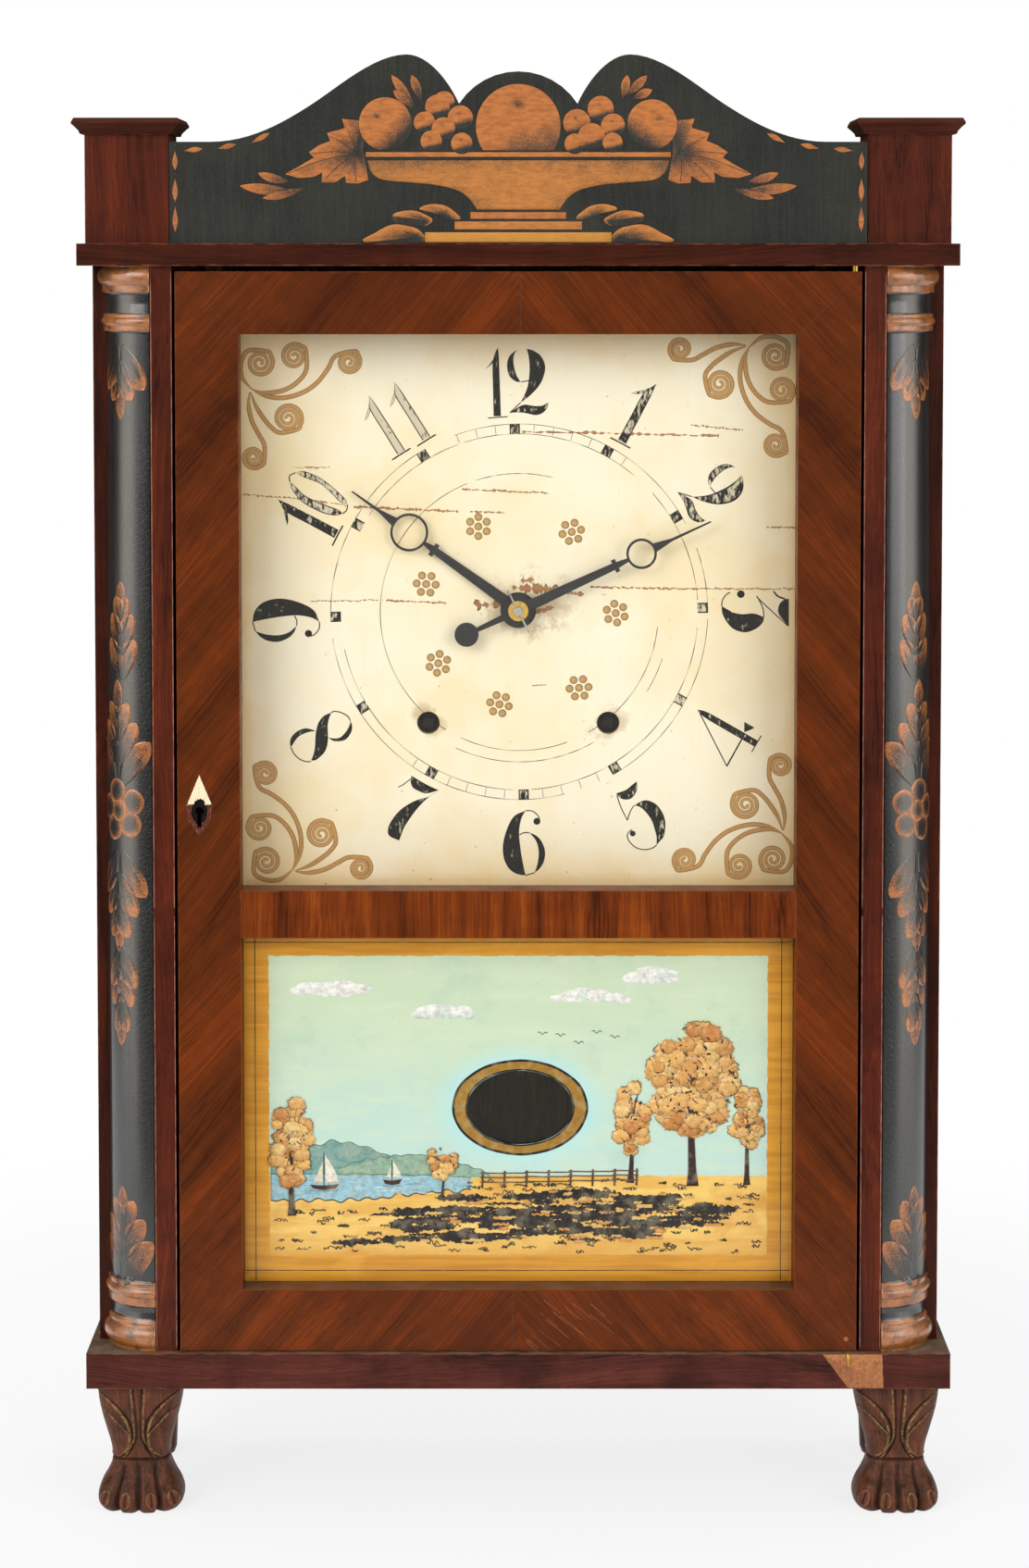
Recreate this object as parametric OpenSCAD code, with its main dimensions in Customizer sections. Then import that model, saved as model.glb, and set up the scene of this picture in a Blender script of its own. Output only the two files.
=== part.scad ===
// Weight-driven shelf clock: half columns, painted splat, paw feet and a wooden movement.
// Millimetres. The origin is the middle of the plan at the floor. +Z is up, the door
// faces -Y, and +X is to the right of someone who faces the door.

/* [Case] */
// Depth over the caps in front and the base board behind
overall_d = 124; // [120:1:140]
// Width over the two side boards
case_w = 420; // [404:1:460]
// Clear height between the base board and the top board
case_h = 537.8; // [530:1:620]
// Height of the feet
foot_h = 64.4; // [50:0.1:90]
// Thickness of the base board
base_t = 17.6; // [12:0.1:26]
// Overhang of the base board past each side
base_lip = 4; // [2:0.5:12]
// How far the base board stands in front of the door
base_nose = 3.2; // [1:0.1:5]
// Thickness of the top board
top_t = 10.8; // [8:0.1:18]
// Overhang of the top board past each side
top_lip = 5; // [2:0.5:12]
// Thickness of the side boards
side_t = 12; // [9:0.5:14]
// Thickness of the two jambs behind the columns
jamb_t = 12; // [9:0.5:14]
// Thickness of the backboard
back_t = 6; // [4:0.5:8]
// Ledge of the base board behind the backboard
back_ledge = 4; // [2:0.5:6]
// Thickness of the partitions that flank the movement
part_t = 8; // [6:0.5:9]

/* [Top] */
// Width of a corner block
block_w = 40.8; // [34:0.1:44]
// Depth of a corner block
block_d = 41; // [30:0.5:60]
// Height of a corner block
block_h = 53.2; // [45:0.1:70]
// Thickness of a block's cap
cap_t = 7.7; // [6:0.1:10]
// How far a cap stands out past its block
cap_out = 5.9; // [3:0.1:7]
// Thickness of the splat
splat_t = 8; // [6:0.5:12]
// Height of the splat at its two ends
splat_end_h = 49.4; // [40:0.1:60]
// Rise of the two peaks of the splat above its ends
peak_rise = 42.3; // [30:0.1:60]
// Rise of the middle lobe above the ends
lobe_rise = 34.1; // [26:0.1:40]
// Rise of the two notches above the ends
notch_rise = 18.5; // [10:0.1:24]

/* [Columns] */
// Distance from the outside of the case to the column's axis
column_in = 30; // [28:0.5:36]
// Radius of the large rings at the column's ends
column_ring_r = 25; // [22:0.1:27]
// Radius of the shaft at its foot
shaft_foot_r = 22.7; // [18:0.1:23]
// Radius of the shaft at its top
shaft_top_r = 20.3; // [17:0.1:22]
// Width of the strip between column and door
strip_w = 10.6; // [8:0.1:14]

/* [Door] */
// Thickness of the door
door_t = 20; // [17:0.5:22]
// Width of the door's stiles
stile_w = 30.9; // [26:0.1:36]
// Height of the door's top and bottom rails
rail_h = 30.6; // [26:0.1:36]
// Height of the rail between the two glasses
mid_rail_h = 23.5; // [18:0.1:30]
// Height of the painted glass's opening
tablet_h = 175.9; // [150:1:185]
// Thickness of the glass
glass_t = 2; // [1.5:0.1:3]
// Depth of the rebate that takes the glass, measured across the frame
rebate_w = 5; // [3:0.5:7]
// Radius of the door's hinge pins
hinge_r = 1.5; // [1:0.1:2]
// Height of the keyhole above the door's foot
keyhole_up = 269.4; // [240:1:300]
// Distance of the keyhole from the door's edge
keyhole_in = 10.8; // [10:0.1:13]

/* [Dial and hands] */
// Thickness of the dial board
dial_t = 6; // [4:0.5:8]
// Radius of the winding holes
wind_hole_r = 5.7; // [5.2:0.1:7]
// Length of the minute hand from its axis
minute_len = 105.7; // [80:0.1:118]
// Length of the hour hand from its axis
hour_len = 102; // [75:0.1:115]
// Radius of the hour hand's hub
hour_hub_r = 8.9; // [8:0.1:10]
// Radius of the minute hand's hub
minute_hub_r = 7.7; // [6:0.1:9]
// Thickness of both hands
hand_t = 1.2; // [0.8:0.1:1.6]

/* [Movement] */
// Sideways distance of each winding arbor from the middle
wind_x = 45; // [45:0.1:48]
// Distance of the winding arbors below the hands' axis
wind_down = 57; // [55:0.5:60]
// Thickness of the movement's plates
plate_t = 6; // [5:0.5:7]
// Gap between the plates, as a share of the depth left for it, the set-back and the battens
plate_share = 0.568; // [0.56:0.002:0.606]
// Space between the dial and the front plate
motion_gap = 18; // [18:0.5:20]
// Thickness of the great wheels
great_t = 5; // [4:0.1:5]
// Thickness of the lighter wheels
wheel_t = 3; // [2:0.1:3.2]
// Radius of the winding drums
drum_r = 11; // [9:0.1:12]
// Length of the pendulum from its stud to the middle of the bob
pendulum_len = 259; // [245:1:270]
// Radius of the bob
bob_r = 26; // [20:0.5:28]
// Radius of the bell's mouth
bell_r = 34; // [28:0.5:38]
// Radius of a driving weight
weight_r = 17; // [14:0.5:18]
// Height of a driving weight
weight_h = 150; // [120:1:170]
// Radius of the cord pulleys
pulley_r = 12; // [10:0.5:13]

/* [Hidden] */

// Colours
MAHOGANY = [0.33, 0.12, 0.06];
EBONY = [0.10, 0.11, 0.10];
OAK = [0.60, 0.44, 0.26];
PINE = [0.74, 0.58, 0.38];
BRASS = [0.80, 0.63, 0.30];
STEEL = [0.45, 0.45, 0.47];
IRON = [0.16, 0.15, 0.15];
BLUED = [0.08, 0.08, 0.10];

// Clearances
rest_gap = 0.3;      // a loose piece and its seat
run_gap = 0.06;      // radial clearance of a running fit
door_side_gap = 1.5; // door to strip
door_foot_gap = 0.6; // door to base board
door_top_gap = 2.8;  // door to top board
door_back_gap = 0.8; // door to jamb
eps = 0.01;

// Depth, front to back
y_cap = -overall_d / 2;
cap_proud = 5.2;
y_door = y_cap + cap_proud;
y_base = y_door - base_nose;
y_back = overall_d / 2;
y_door_back = y_door + door_t;
y_jamb = y_door_back + door_back_gap;
y_jamb_back = y_jamb + jamb_t;
y_board_back = y_back - back_ledge;
y_board = y_board_back - back_t;
// Depth shared out between the dial's set-back, the gap between the plates and the battens
room = y_board - y_door_back - dial_t - motion_gap - 2 * plate_t;
dial_set_back = room * 0.2803;
plate_gap = room * plate_share;
y_dial = y_door_back + dial_set_back;
y_dial_back = y_dial + dial_t;
y_plate = y_dial_back + motion_gap;
y_plate_in = y_plate + plate_t;
y_rear_in = y_plate_in + plate_gap;
y_rear_out = y_rear_in + plate_t;

// Height
z_base_top = foot_h + base_t;
z_top_under = z_base_top + case_h;
z_top = z_top_under + top_t;
z_block_top = z_top + block_h;
z_door = z_base_top + door_foot_gap;
z_door_top = z_top_under - door_top_gap;

// Width, from the middle outwards
side_out = case_w / 2;
side_in = side_out - side_t;
column_x = side_out - column_in;
strip_out = column_x - rest_gap;
strip_in = strip_out - strip_w;
door_half = strip_in - door_side_gap;
open_half = door_half - stile_w;
jamb_lap = 9.3;
jamb_in = door_half - jamb_lap;
part_out = jamb_in - 2;
part_in = part_out - part_t;
channel_mid = (part_out + side_in) / 2;
dial_half = part_out - 2;

// Door openings and glasses
tablet_z = z_door + rail_h;
mid_rail_z = tablet_z + tablet_h;
dial_open_z = mid_rail_z + mid_rail_h;
dial_open_top = z_door_top - rail_h;
glass_back = 2.4;
y_glass = y_door_back - glass_back - glass_t;

// The hands' axis is a little below the middle of the dial's opening
hands_z = (dial_open_z + dial_open_top) / 2 - 1.2;
wind_z = hands_z - wind_down;

// Gears: teeth and modules
pressure = 25;
wheel_add = 0.7;
leaf_add = 0.9;
root_cut = 1.25;
leaves = 8;
great_n = 42;
great_m = 2;
second_n = 64;
second_m = 1;
third_n = 84;
third_m = 0.75;
warning_n = 64;
transfer_n = 24;
transfer_m = 1.6;
cannon_n = 12;
minute_n = 36;
cannon_m = 1.25;
hour_n = 48;
hour_m = 1;
escape_n = 42;
escape_r = 20;
escape_root_r = 17.4;

// Involute of an angle, in degrees
function inv(a) = tan(a) * 180 / PI - a;
// Half the angle that a tooth fills at a radius
function half_tooth(r, n, rp, play) = let (rb = rp * cos(pressure))
    90 / n - play / rp * 90 / PI + inv(pressure) - inv(acos(min(1, rb / max(r, rb))));
// Radii at which a tooth's flank gets its points
function flank(rr, rb, rp, rt, fine) = fine
    ? [rr, max(rr + 0.05, rb), (rb + rp) / 2 + 0.03, (rp + rt) / 2, rt]
    : [rr, rp, rt];
// Outline of a gear with a tooth at angle phase
function gear_points(n, m, add, phase, play = 0.24, fine = false) = let (
        rp = n * m / 2,
        rb = rp * cos(pressure),
        radii = flank(rp - root_cut * m, rb, rp, rp + add * m, fine),
        last = len(radii) - 1
    ) [
        for (k = [0 : n - 1])
            for (j = [0 : 2 * last + 1])
                let (
                    rising = j <= last,
                    r = radii[rising ? j : 2 * last + 1 - j],
                    h = half_tooth(r, n, rp, play),
                    a = phase + k * 360 / n + (rising ? -h : h)
                ) [r * cos(a), r * sin(a)]
    ];
// Phase of a gear that meshes with a gear at phase a1, in direction d from it
function mesh(a1, n1, d, n2) = d + 180 + 180 / n2 - (a1 - d) * n1 / n2;
function polar(c, r, a) = [c[0] + r * cos(a), c[1] + r * sin(a)];
function heading(p, q) = atan2(q[1] - p[1], q[0] - p[0]);
function spacing(n1, n2, m) = (n1 + n2) * m / 2;
// The apex, to the left of the line from p to q, at distances a and b from them
function apex(p, q, a, b) = let (
        d = norm(q - p),
        u = (q - p) / d,
        along = (a * a - b * b + d * d) / (2 * d),
        off = sqrt(a * a - along * along)
    ) p + along * u + off * [u[1], -u[0]];

// Arbors, as [x, z]
hands_at = [0, hands_z];
going_at = [wind_x, wind_z];
strike_at = [-wind_x, wind_z];
second_at = apex(going_at, hands_at, spacing(great_n, leaves, great_m),
    transfer_n * transfer_m);
third_dir = 131;
third_at = polar(second_at, spacing(second_n, leaves, second_m), third_dir);
escape_dir = 139;
escape_at = polar(third_at, spacing(third_n, leaves, third_m), escape_dir);
pin_at = [-second_at[0], second_at[1]];
warning_dir = 110;
warning_at = polar(pin_at, spacing(second_n, leaves, second_m), warning_dir);
fly_dir = 120;
fly_at = polar(warning_at, spacing(warning_n, leaves, third_m), fly_dir);
minute_dir = -50;
minute_at = polar(hands_at, spacing(cannon_n, minute_n, cannon_m), minute_dir);
pallet_span = 27.86;
pallet_r = escape_r + rest_gap;
verge_at = [escape_at[0], escape_at[1] + pallet_r / cos(pallet_span)];
stud_rise = 9;
hang_at = [escape_at[0], verge_at[1] + stud_rise];
bob_at = [hang_at[0], hang_at[1] - pendulum_len];
hammer_off = [-23, 13];
hammer_at = strike_at + hammer_off;
hammer_drop = 130;
head_len = 10;
bell_at = [hammer_at[0] + head_len / 2 + 1.5 + bell_r, hammer_at[1] - hammer_drop];

// Wheel layers between the plates
y_great = y_plate_in + 1;
y_ratchet = y_great + great_t + rest_gap;
ratchet_t = 2.2;
y_drum = y_ratchet + ratchet_t;
y_second = y_plate_in + 9;
y_third = y_plate_in + 16;
y_escape = y_plate_in + 2.5;
escape_t = 1.6;
// Motion work layers in front of the front plate
y_cannon = y_plate - 10.6;
y_pinion = y_cannon - 3.3;
y_minute = y_cannon - 3;
y_hour = y_minute - 3.6;
rod_r = 1;
y_rod = y_plate - 4.5;

// Arbors and pivots
arbor_r = 2.5;
pivot_r = 1.2;
drum_arbor_r = 4;
drum_pivot_r = 3;
centre_r = 3;
pipe_r = 6;
pipe_bore = centre_r + 1.6;
stud_r = 2;
hammer_stud_r = 2;
wind_square = 5;

// Rest pose of the hands, clockwise from the top
minute_angle = 65.1;
hour_angle = 305.6;

// Plate outline
plate_half = 72;
plate_z = wind_z - 55;
plate_z_top = hang_at[1] + 13;
pillar_r = 4;
pillars = [
    [-60, plate_z + 8],
    [60, plate_z + 8],
    [-62, plate_z_top - 9],
    [62, plate_z_top - 9]
];

// Material between two depths, with its outline drawn as it is seen from in front
module layer(y0, y1) {
    translate([0, y1, 0]) rotate([90, 0, 0]) linear_extrude(y1 - y0) children();
}

// A round bar along the depth
module bar(at, r, y0, y1) {
    translate([at[0], y1, at[1]]) rotate([90, 0, 0]) cylinder(h = y1 - y0, r = r, $fn = 48);
}

// A block between two corners
module block(lo, hi) {
    translate(lo) cube(hi - lo);
}

// The same thing on both sides
module both_sides() {
    children();
    mirror([1, 0, 0]) children();
}

// Four windows between a wheel's hub and its rim, with straight spokes between them
module windows(r_in, r_out, spoke) {
    difference() {
        circle(r = r_out, $fn = 72);
        circle(r = r_in, $fn = 48);
        for (a = [0, 90]) {
            rotate(a) square([2 * r_out + 1, spoke], center = true);
        }
    }
}

// A toothed wheel at an arbor, between two depths
module wheel(at, n, m, phase, y0, y1, hub_r, open = true) {
    rim = n * m / 2 - root_cut * m - max(2.5, 2.2 * m);
    layer(y0, y1) translate(at) difference() {
        polygon(gear_points(n, m, wheel_add, phase));
        if (open && rim > hub_r + 4) {
            windows(hub_r, rim, max(4, 0.16 * rim));
        }
    }
}

// A pinion at an arbor, between two depths
module pinion(at, n, m, phase, y0, y1) {
    layer(y0, y1) translate(at) polygon(gear_points(n, m, leaf_add, phase, fine = true));
}

// Case

module base_board() {
    color(MAHOGANY) difference() {
        block([-side_out - base_lip, y_base, foot_h], [side_out + base_lip, y_back, z_base_top]);
        translate([hinge_x, hinge_y, z_base_top - hinge_sink])
            cylinder(h = hinge_sink + 1, r = hinge_r, $fn = 32);
    }
}

module side_boards() {
    color(MAHOGANY) both_sides()
        block([side_in, y_jamb_back, z_base_top], [side_out, y_board_back, z_top_under]);
}

module jambs() {
    color(MAHOGANY) both_sides()
        block([jamb_in, y_jamb, z_base_top], [side_out, y_jamb_back, z_top_under]);
}

// The left strip has a mortise for the lock's bolt
mortise_deep = 6;
module door_strips() {
    color(MAHOGANY) difference() {
        both_sides()
            block([strip_in, y_door, z_base_top], [strip_out, y_jamb, z_top_under]);
        block([-strip_in - mortise_deep, bolt_y - rest_gap, bolt_z - rest_gap],
            [-strip_in + 1, bolt_y + bolt_t + rest_gap, bolt_z + bolt_h + rest_gap]);
    }
}

// Radii of the necks and of the flat fillets between a column's rings
neck_r = column_ring_r - 3.3;
fillet_r = column_ring_r - 2.2;

// Half outline of a turned column, from the base board up
module column_outline() {
    top = case_h;
    difference() {
        union() {
            polygon([
                [0, 0], [fillet_r, 0], [fillet_r, 13.8], [neck_r, 15.5], [neck_r - 0.4, 19],
                [neck_r, 22.2], [fillet_r, 22.2], [fillet_r, 34.5],
                [shaft_foot_r, 34.5],
                [shaft_foot_r + 0.35, 34.5 + (top - 67) * 0.33],
                [(shaft_foot_r + shaft_top_r) / 2 + 0.5, 34.5 + (top - 67) * 0.67],
                [shaft_top_r, top - 32.1],
                [fillet_r - 0.4, top - 32.1], [fillet_r - 0.4, top - 23.4],
                [neck_r - 0.2, top - 23.4], [neck_r - 0.6, top - 18.5], [neck_r, top - 13.3],
                [fillet_r, top - 13.3], [fillet_r, top - 10.5],
                [fillet_r, top], [0, top]
            ]);
            // Rings: [height of the middle, half height, radius]
            for (ring = [
                [6.9, 6.9, column_ring_r],
                [28.9, 3.3, column_ring_r - 0.6],
                [top - 27.3, 2.4, column_ring_r - 1.4],
                [top - 5.2, 5.2, column_ring_r]
            ]) {
                translate([ring[2] - ring[1], ring[0]]) circle(r = ring[1], $fn = 48);
            }
        }
        translate([-2 * column_ring_r, -1]) square([2 * column_ring_r, top + 2]);
    }
}

// A turned column cut to the corner between strip and jamb
column_axis_back = 5;
module half_column() {
    intersection() {
        translate([column_x, y_jamb + column_axis_back, z_base_top])
            rotate_extrude($fn = 96) column_outline();
        block([column_x, y_cap - 20, z_base_top],
            [column_x + 2 * column_ring_r, y_jamb, z_top_under]);
    }
}

module half_columns() {
    color(EBONY) both_sides() half_column();
}

module top_board() {
    color(MAHOGANY) difference() {
        block([-side_out - top_lip, y_base, z_top_under], [side_out + top_lip, y_board_back, z_top]);
        translate([hinge_x, hinge_y, z_top_under - 1])
            cylinder(h = hinge_sink + 1, r = hinge_r, $fn = 32);
    }
}

module back_board() {
    color(PINE) block([-side_in, y_board, z_base_top], [side_in, y_board_back, z_top_under]);
}

module partitions() {
    color(PINE) both_sides()
        block([part_in, y_dial_back, z_base_top], [part_out, y_board, z_top_under]);
}

// Two battens on the backboard carry the movement's back plate
batten_h = 22;
module movement_battens() {
    color(PINE) for (z = [plate_z + 6, plate_z_top - batten_h - 6]) {
        block([-part_in, y_rear_out, z], [part_in, y_board, z + batten_h]);
    }
}

// A paw foot is a loft. Its half widths along X and Y, from the floor up
foot_x = side_out - 20.8;
foot_y = y_base + 22.4;
paw_rows = [
    // share of height, half width, reach forward, reach back, depth of the toes' clefts
    [0.00, 19.4, 19.5, 15.0, 0.17],
    [0.04, 21.1, 21.6, 16.0, 0.17],
    [0.10, 21.3, 21.9, 16.2, 0.16],
    [0.17, 19.8, 19.6, 15.8, 0.13],
    [0.24, 17.2, 16.2, 15.0, 0.09],
    [0.32, 14.9, 13.4, 14.2, 0.05],
    [0.40, 14.3, 12.8, 14.0, 0.02],
    [0.50, 15.2, 13.8, 14.2, 0],
    [0.62, 17.3, 16.2, 15.0, 0],
    [0.75, 19.5, 18.4, 16.0, 0],
    [0.88, 21.0, 19.8, 17.0, 0],
    [1.00, 21.3, 20.2, 17.6, 0]
];
paw_sides = 48;
// Radius factor of a ring with four toes in front
function toes(a, cleft) = a > 180 && a < 360
    ? 1 - cleft * pow(abs(cos((a - 180) * 2)), 3) * sin(a - 180) : 1;
// A rounded square of half widths w and d at angle a
function squircle(a, w, d) = let (
        c = cos(a),
        s = sin(a),
        k = pow(pow(abs(c / w), 3.2) + pow(abs(s / d), 3.2), -1 / 3.2)
    ) [k * c, k * s];
function paw_ring(row) = [
    for (i = [0 : paw_sides - 1])
        let (
            a = i * 360 / paw_sides,
            p = squircle(a, row[1], a > 180 ? row[2] : row[3]),
            f = toes(a, row[4])
        ) [p[0] * f, p[1] * f, row[0] * foot_h]
];
module loft(rings) {
    n = len(rings[0]);
    top = len(rings) - 1;
    points = [for (ring = rings) for (p = ring) p];
    polyhedron(points, concat(
        [[for (i = [0 : n - 1]) i]],
        [for (j = [0 : top - 1]) for (i = [0 : n - 1])
            [j * n + (i + 1) % n, j * n + i, (j + 1) * n + i]],
        [for (j = [0 : top - 1]) for (i = [0 : n - 1])
            [j * n + (i + 1) % n, (j + 1) * n + i, (j + 1) * n + (i + 1) % n]],
        [[for (i = [n - 1 : -1 : 0]) top * n + i]]
    ));
}

module paw_feet() {
    color(MAHOGANY) both_sides()
        translate([foot_x, foot_y, 0]) loft([for (row = paw_rows) paw_ring(row)]);
}

// Turned rear feet
rear_r = 13;
module rear_feet() {
    color(MAHOGANY) both_sides()
        translate([side_out - 22, y_back - 24, 0]) rotate_extrude($fn = 64) polygon([
            [0, 0], [rear_r * 0.62, 0], [rear_r * 0.7, 3], [rear_r * 0.78, foot_h * 0.4],
            [rear_r * 0.95, foot_h * 0.75], [rear_r, foot_h - 8], [rear_r, foot_h], [0, foot_h]
        ]);
}

// Top

block_x = side_out + 1.1 - block_w / 2;
y_block = y_cap + cap_out;
module corner_blocks() {
    color(MAHOGANY) both_sides() block([block_x - block_w / 2, y_block, z_top],
        [block_x + block_w / 2, y_block + block_d, z_block_top]);
}

// Half section of a cap: [outward from the block's side, up]
module cap_section(half) {
    polygon([
        [-half - cap_out * 0.35, 0], [-half - cap_out * 0.45, cap_t * 0.2],
        [-half - cap_out * 0.75, cap_t * 0.45], [-half - cap_out, cap_t * 0.62],
        [-half - cap_out, cap_t * 0.72], [-half - cap_out * 0.8, cap_t],
        [half + cap_out * 0.8, cap_t], [half + cap_out, cap_t * 0.72],
        [half + cap_out, cap_t * 0.62], [half + cap_out * 0.75, cap_t * 0.45],
        [half + cap_out * 0.45, cap_t * 0.2], [half + cap_out * 0.35, 0]
    ]);
}

module block_caps() {
    reach = max(block_w, block_d) + 2 * cap_out;
    color(MAHOGANY) both_sides()
        translate([block_x, y_block + block_d / 2, z_block_top]) intersection() {
            rotate([90, 0, 0]) linear_extrude(reach, center = true) cap_section(block_w / 2);
            rotate([90, 0, 90]) linear_extrude(reach, center = true) cap_section(block_d / 2);
        }
}

// A cubic curve through four control points
function bezier(p, t) = pow(1 - t, 3) * p[0] + 3 * t * pow(1 - t, 2) * p[1]
    + 3 * t * t * (1 - t) * p[2] + t * t * t * p[3];
curve_steps = 12;
function curve(p) = [for (i = [1 : curve_steps]) bezier(p, i / curve_steps)];

// Left half of the splat's top edge, from its end to the notch beside the middle lobe
splat_half = block_x - block_w / 2 - rest_gap;
splat_scale = splat_half / 170;
z_end = z_top + splat_end_h;
turn_z = z_end + peak_rise * 0.426;
peak_x = 54.3 * splat_scale;
turn_x = 100.7 * splat_scale;
notch_x = 28.8 * splat_scale;
end_x = 150 * splat_scale;
left_edge = concat(
    [[-splat_half, z_end], [-end_x, z_end]],
    curve([[-end_x, z_end], [-end_x + 20 * splat_scale, z_end],
        [-turn_x - 13 * splat_scale, turn_z - 0.196 * peak_rise], [-turn_x, turn_z]]),
    curve([[-turn_x, turn_z], [-turn_x + 13 * splat_scale, turn_z + 0.196 * peak_rise],
        [-peak_x - 15.7 * splat_scale, z_end + peak_rise], [-peak_x, z_end + peak_rise]]),
    curve([[-peak_x, z_end + peak_rise], [-peak_x + 10.3 * splat_scale, z_end + peak_rise],
        [-notch_x - 5.2 * splat_scale, z_end + notch_rise + 11.5],
        [-notch_x, z_end + notch_rise]])
);
// The middle lobe is an arc over the two notches
lobe_h = lobe_rise - notch_rise;
lobe_r = (notch_x * notch_x + lobe_h * lobe_h) / (2 * lobe_h);
lobe_sweep = asin(notch_x / lobe_r);
lobe = [
    for (i = [1 : curve_steps - 1])
        let (a = 90 + lobe_sweep - 2 * lobe_sweep * i / curve_steps)
            [lobe_r * cos(a), z_end + lobe_rise - lobe_r + lobe_r * sin(a)]
];
last_edge = len(left_edge) - 1;
right_edge = [for (i = [last_edge : -1 : 0]) [-left_edge[i][0], left_edge[i][1]]];

module splat() {
    color(EBONY) layer(y_block, y_block + splat_t)
        polygon(concat([[-splat_half, z_top]], left_edge, lobe, right_edge,
            [[splat_half, z_top]]));
}

// Door

// A stile of the door, with mitred ends: side is -1 for the left one
module stile(side) {
    layer(y_door, y_door_back) polygon([
        [side * door_half, z_door], [side * door_half, z_door_top],
        [side * open_half, z_door_top - rail_h], [side * open_half, z_door + rail_h]
    ]);
}

// A mitred rail between two heights, widest at z_out
module mitred_rail(z_out, z_in) {
    layer(y_door, y_door_back) polygon([
        [-door_half, z_out], [door_half, z_out], [open_half, z_in], [-open_half, z_in]
    ]);
}

// Rebates for the two glasses, open at the door's back
module rebates() {
    for (z = [[tablet_z, mid_rail_z], [dial_open_z, dial_open_top]]) {
        block([-open_half - rebate_w, y_glass, z[0] - rebate_w],
            [open_half + rebate_w, y_door_back + 1, z[1] + rebate_w]);
    }
}

// Pins on which the door turns, near its front corner
hinge_in = 3;
hinge_x = door_half - hinge_in;
hinge_y = y_door + hinge_in;
hinge_sink = 9;
hinge_reach = 16;

key_at = [-door_half + keyhole_in, z_door + keyhole_up];
key_r = 2.2;
key_slot = 8;
lock_w = 22;
lock_h = 34;
lock_deep = 10;
bolt_t = 3;
bolt_h = 10;
bolt_throw = 4;
bolt_y = y_door_back - 6.5;
bolt_z = key_at[1] + 4;
lock_lo = [key_at[0] - lock_w / 2 + 3, key_at[1] - lock_h / 2];

// Outline of the keyhole: a round eye above a slot
module keyhole(grow = 0) {
    translate(key_at) {
        circle(r = key_r + grow, $fn = 32);
        translate([-1.1 - grow, -key_slot - grow]) square([2.2 + 2 * grow, key_slot]);
    }
}

// Pocket at the stile's back that takes the lock
module lock_pocket() {
    block([lock_lo[0], y_door_back - lock_deep, lock_lo[1]],
        [lock_lo[0] + lock_w, y_door_back + 1, lock_lo[1] + lock_h]);
}

module bolt_path(grow) {
    block([-door_half - 1, bolt_y - grow, bolt_z - grow],
        [key_at[0], bolt_y + bolt_t + grow, bolt_z + bolt_h + grow]);
}

module door_stile_left() {
    color(MAHOGANY) difference() {
        stile(-1);
        rebates();
        lock_pocket();
        bolt_path(rest_gap);
        layer(y_door - 1, y_door_back) keyhole();
        layer(y_door - 1, y_door + kite_t) kite(0);
    }
}

module door_stile_right() {
    color(MAHOGANY) difference() {
        stile(1);
        rebates();
        for (z = [z_door - 1, z_door_top - hinge_reach - rest_gap]) {
            translate([hinge_x, hinge_y, z])
                cylinder(h = hinge_reach + rest_gap + 1, r = hinge_r + run_gap, $fn = 32);
        }
    }
}

module door_top_rail() {
    color(MAHOGANY) difference() {
        mitred_rail(z_door_top, z_door_top - rail_h);
        rebates();
        translate([hinge_x, hinge_y, z_door_top - hinge_reach])
            cylinder(h = hinge_reach + 1, r = hinge_r + run_gap, $fn = 32);
    }
}

module door_bottom_rail() {
    color(MAHOGANY) difference() {
        mitred_rail(z_door, z_door + rail_h);
        rebates();
        translate([hinge_x, hinge_y, z_door - 1])
            cylinder(h = hinge_reach + 1, r = hinge_r + run_gap, $fn = 32);
    }
}

module door_mid_rail() {
    color(MAHOGANY) difference() {
        block([-open_half, y_door, mid_rail_z], [open_half, y_door_back, dial_open_z]);
        rebates();
    }
}

// A pane between two heights of the opening
pane_lap = rebate_w - 1;
module pane(z0, z1) {
    block([-open_half - pane_lap, y_glass, z0 - pane_lap],
        [open_half + pane_lap, y_glass + glass_t, z1 + pane_lap]);
}

module door_glass() {
    color([0.85, 0.9, 0.9, 0.3]) pane(dial_open_z, dial_open_top);
}

module painted_tablet() {
    color([0.62, 0.75, 0.62]) pane(tablet_z, mid_rail_z);
}

// Thin strips round the back of each pane
strip_depth = 2;
module glazing_strips() {
    w = rebate_w - 1;
    y0 = y_glass + glass_t;
    color(PINE) for (z = [[tablet_z, mid_rail_z], [dial_open_z, dial_open_top]]) {
        for (side = [-1, 1]) {
            x = side * (open_half + w / 2 + 0.5);
            block([x - w / 2, y0, z[0]], [x + w / 2, y0 + strip_depth, z[1]]);
        }
        for (edge = [z[0] - w - 0.5, z[1] + 0.5]) {
            block([-open_half - w, y0, edge], [open_half + w, y0 + strip_depth, edge + w]);
        }
    }
}

// The pins stand in the base board and the top board
module hinge_pins() {
    color(BRASS) for (z = [z_base_top - hinge_sink, z_door_top - hinge_reach + 1]) {
        translate([hinge_x, hinge_y, z]) cylinder(h = z < hands_z
            ? hinge_sink + door_foot_gap + hinge_reach - 1
            : hinge_reach - 1 + door_top_gap + hinge_sink, r = hinge_r, $fn = 32);
    }
}

// A kite of bone let into the stile round the keyhole
kite_t = 1.6;
module kite(shrink) {
    translate(key_at) polygon([
        [0, 18 - 1.6 * shrink], [6.6 - shrink, 2], [5.2 - shrink, -5],
        [0, -12 + 1.4 * shrink], [-5.2 + shrink, -5], [-6.6 + shrink, 2]
    ]);
}

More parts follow.
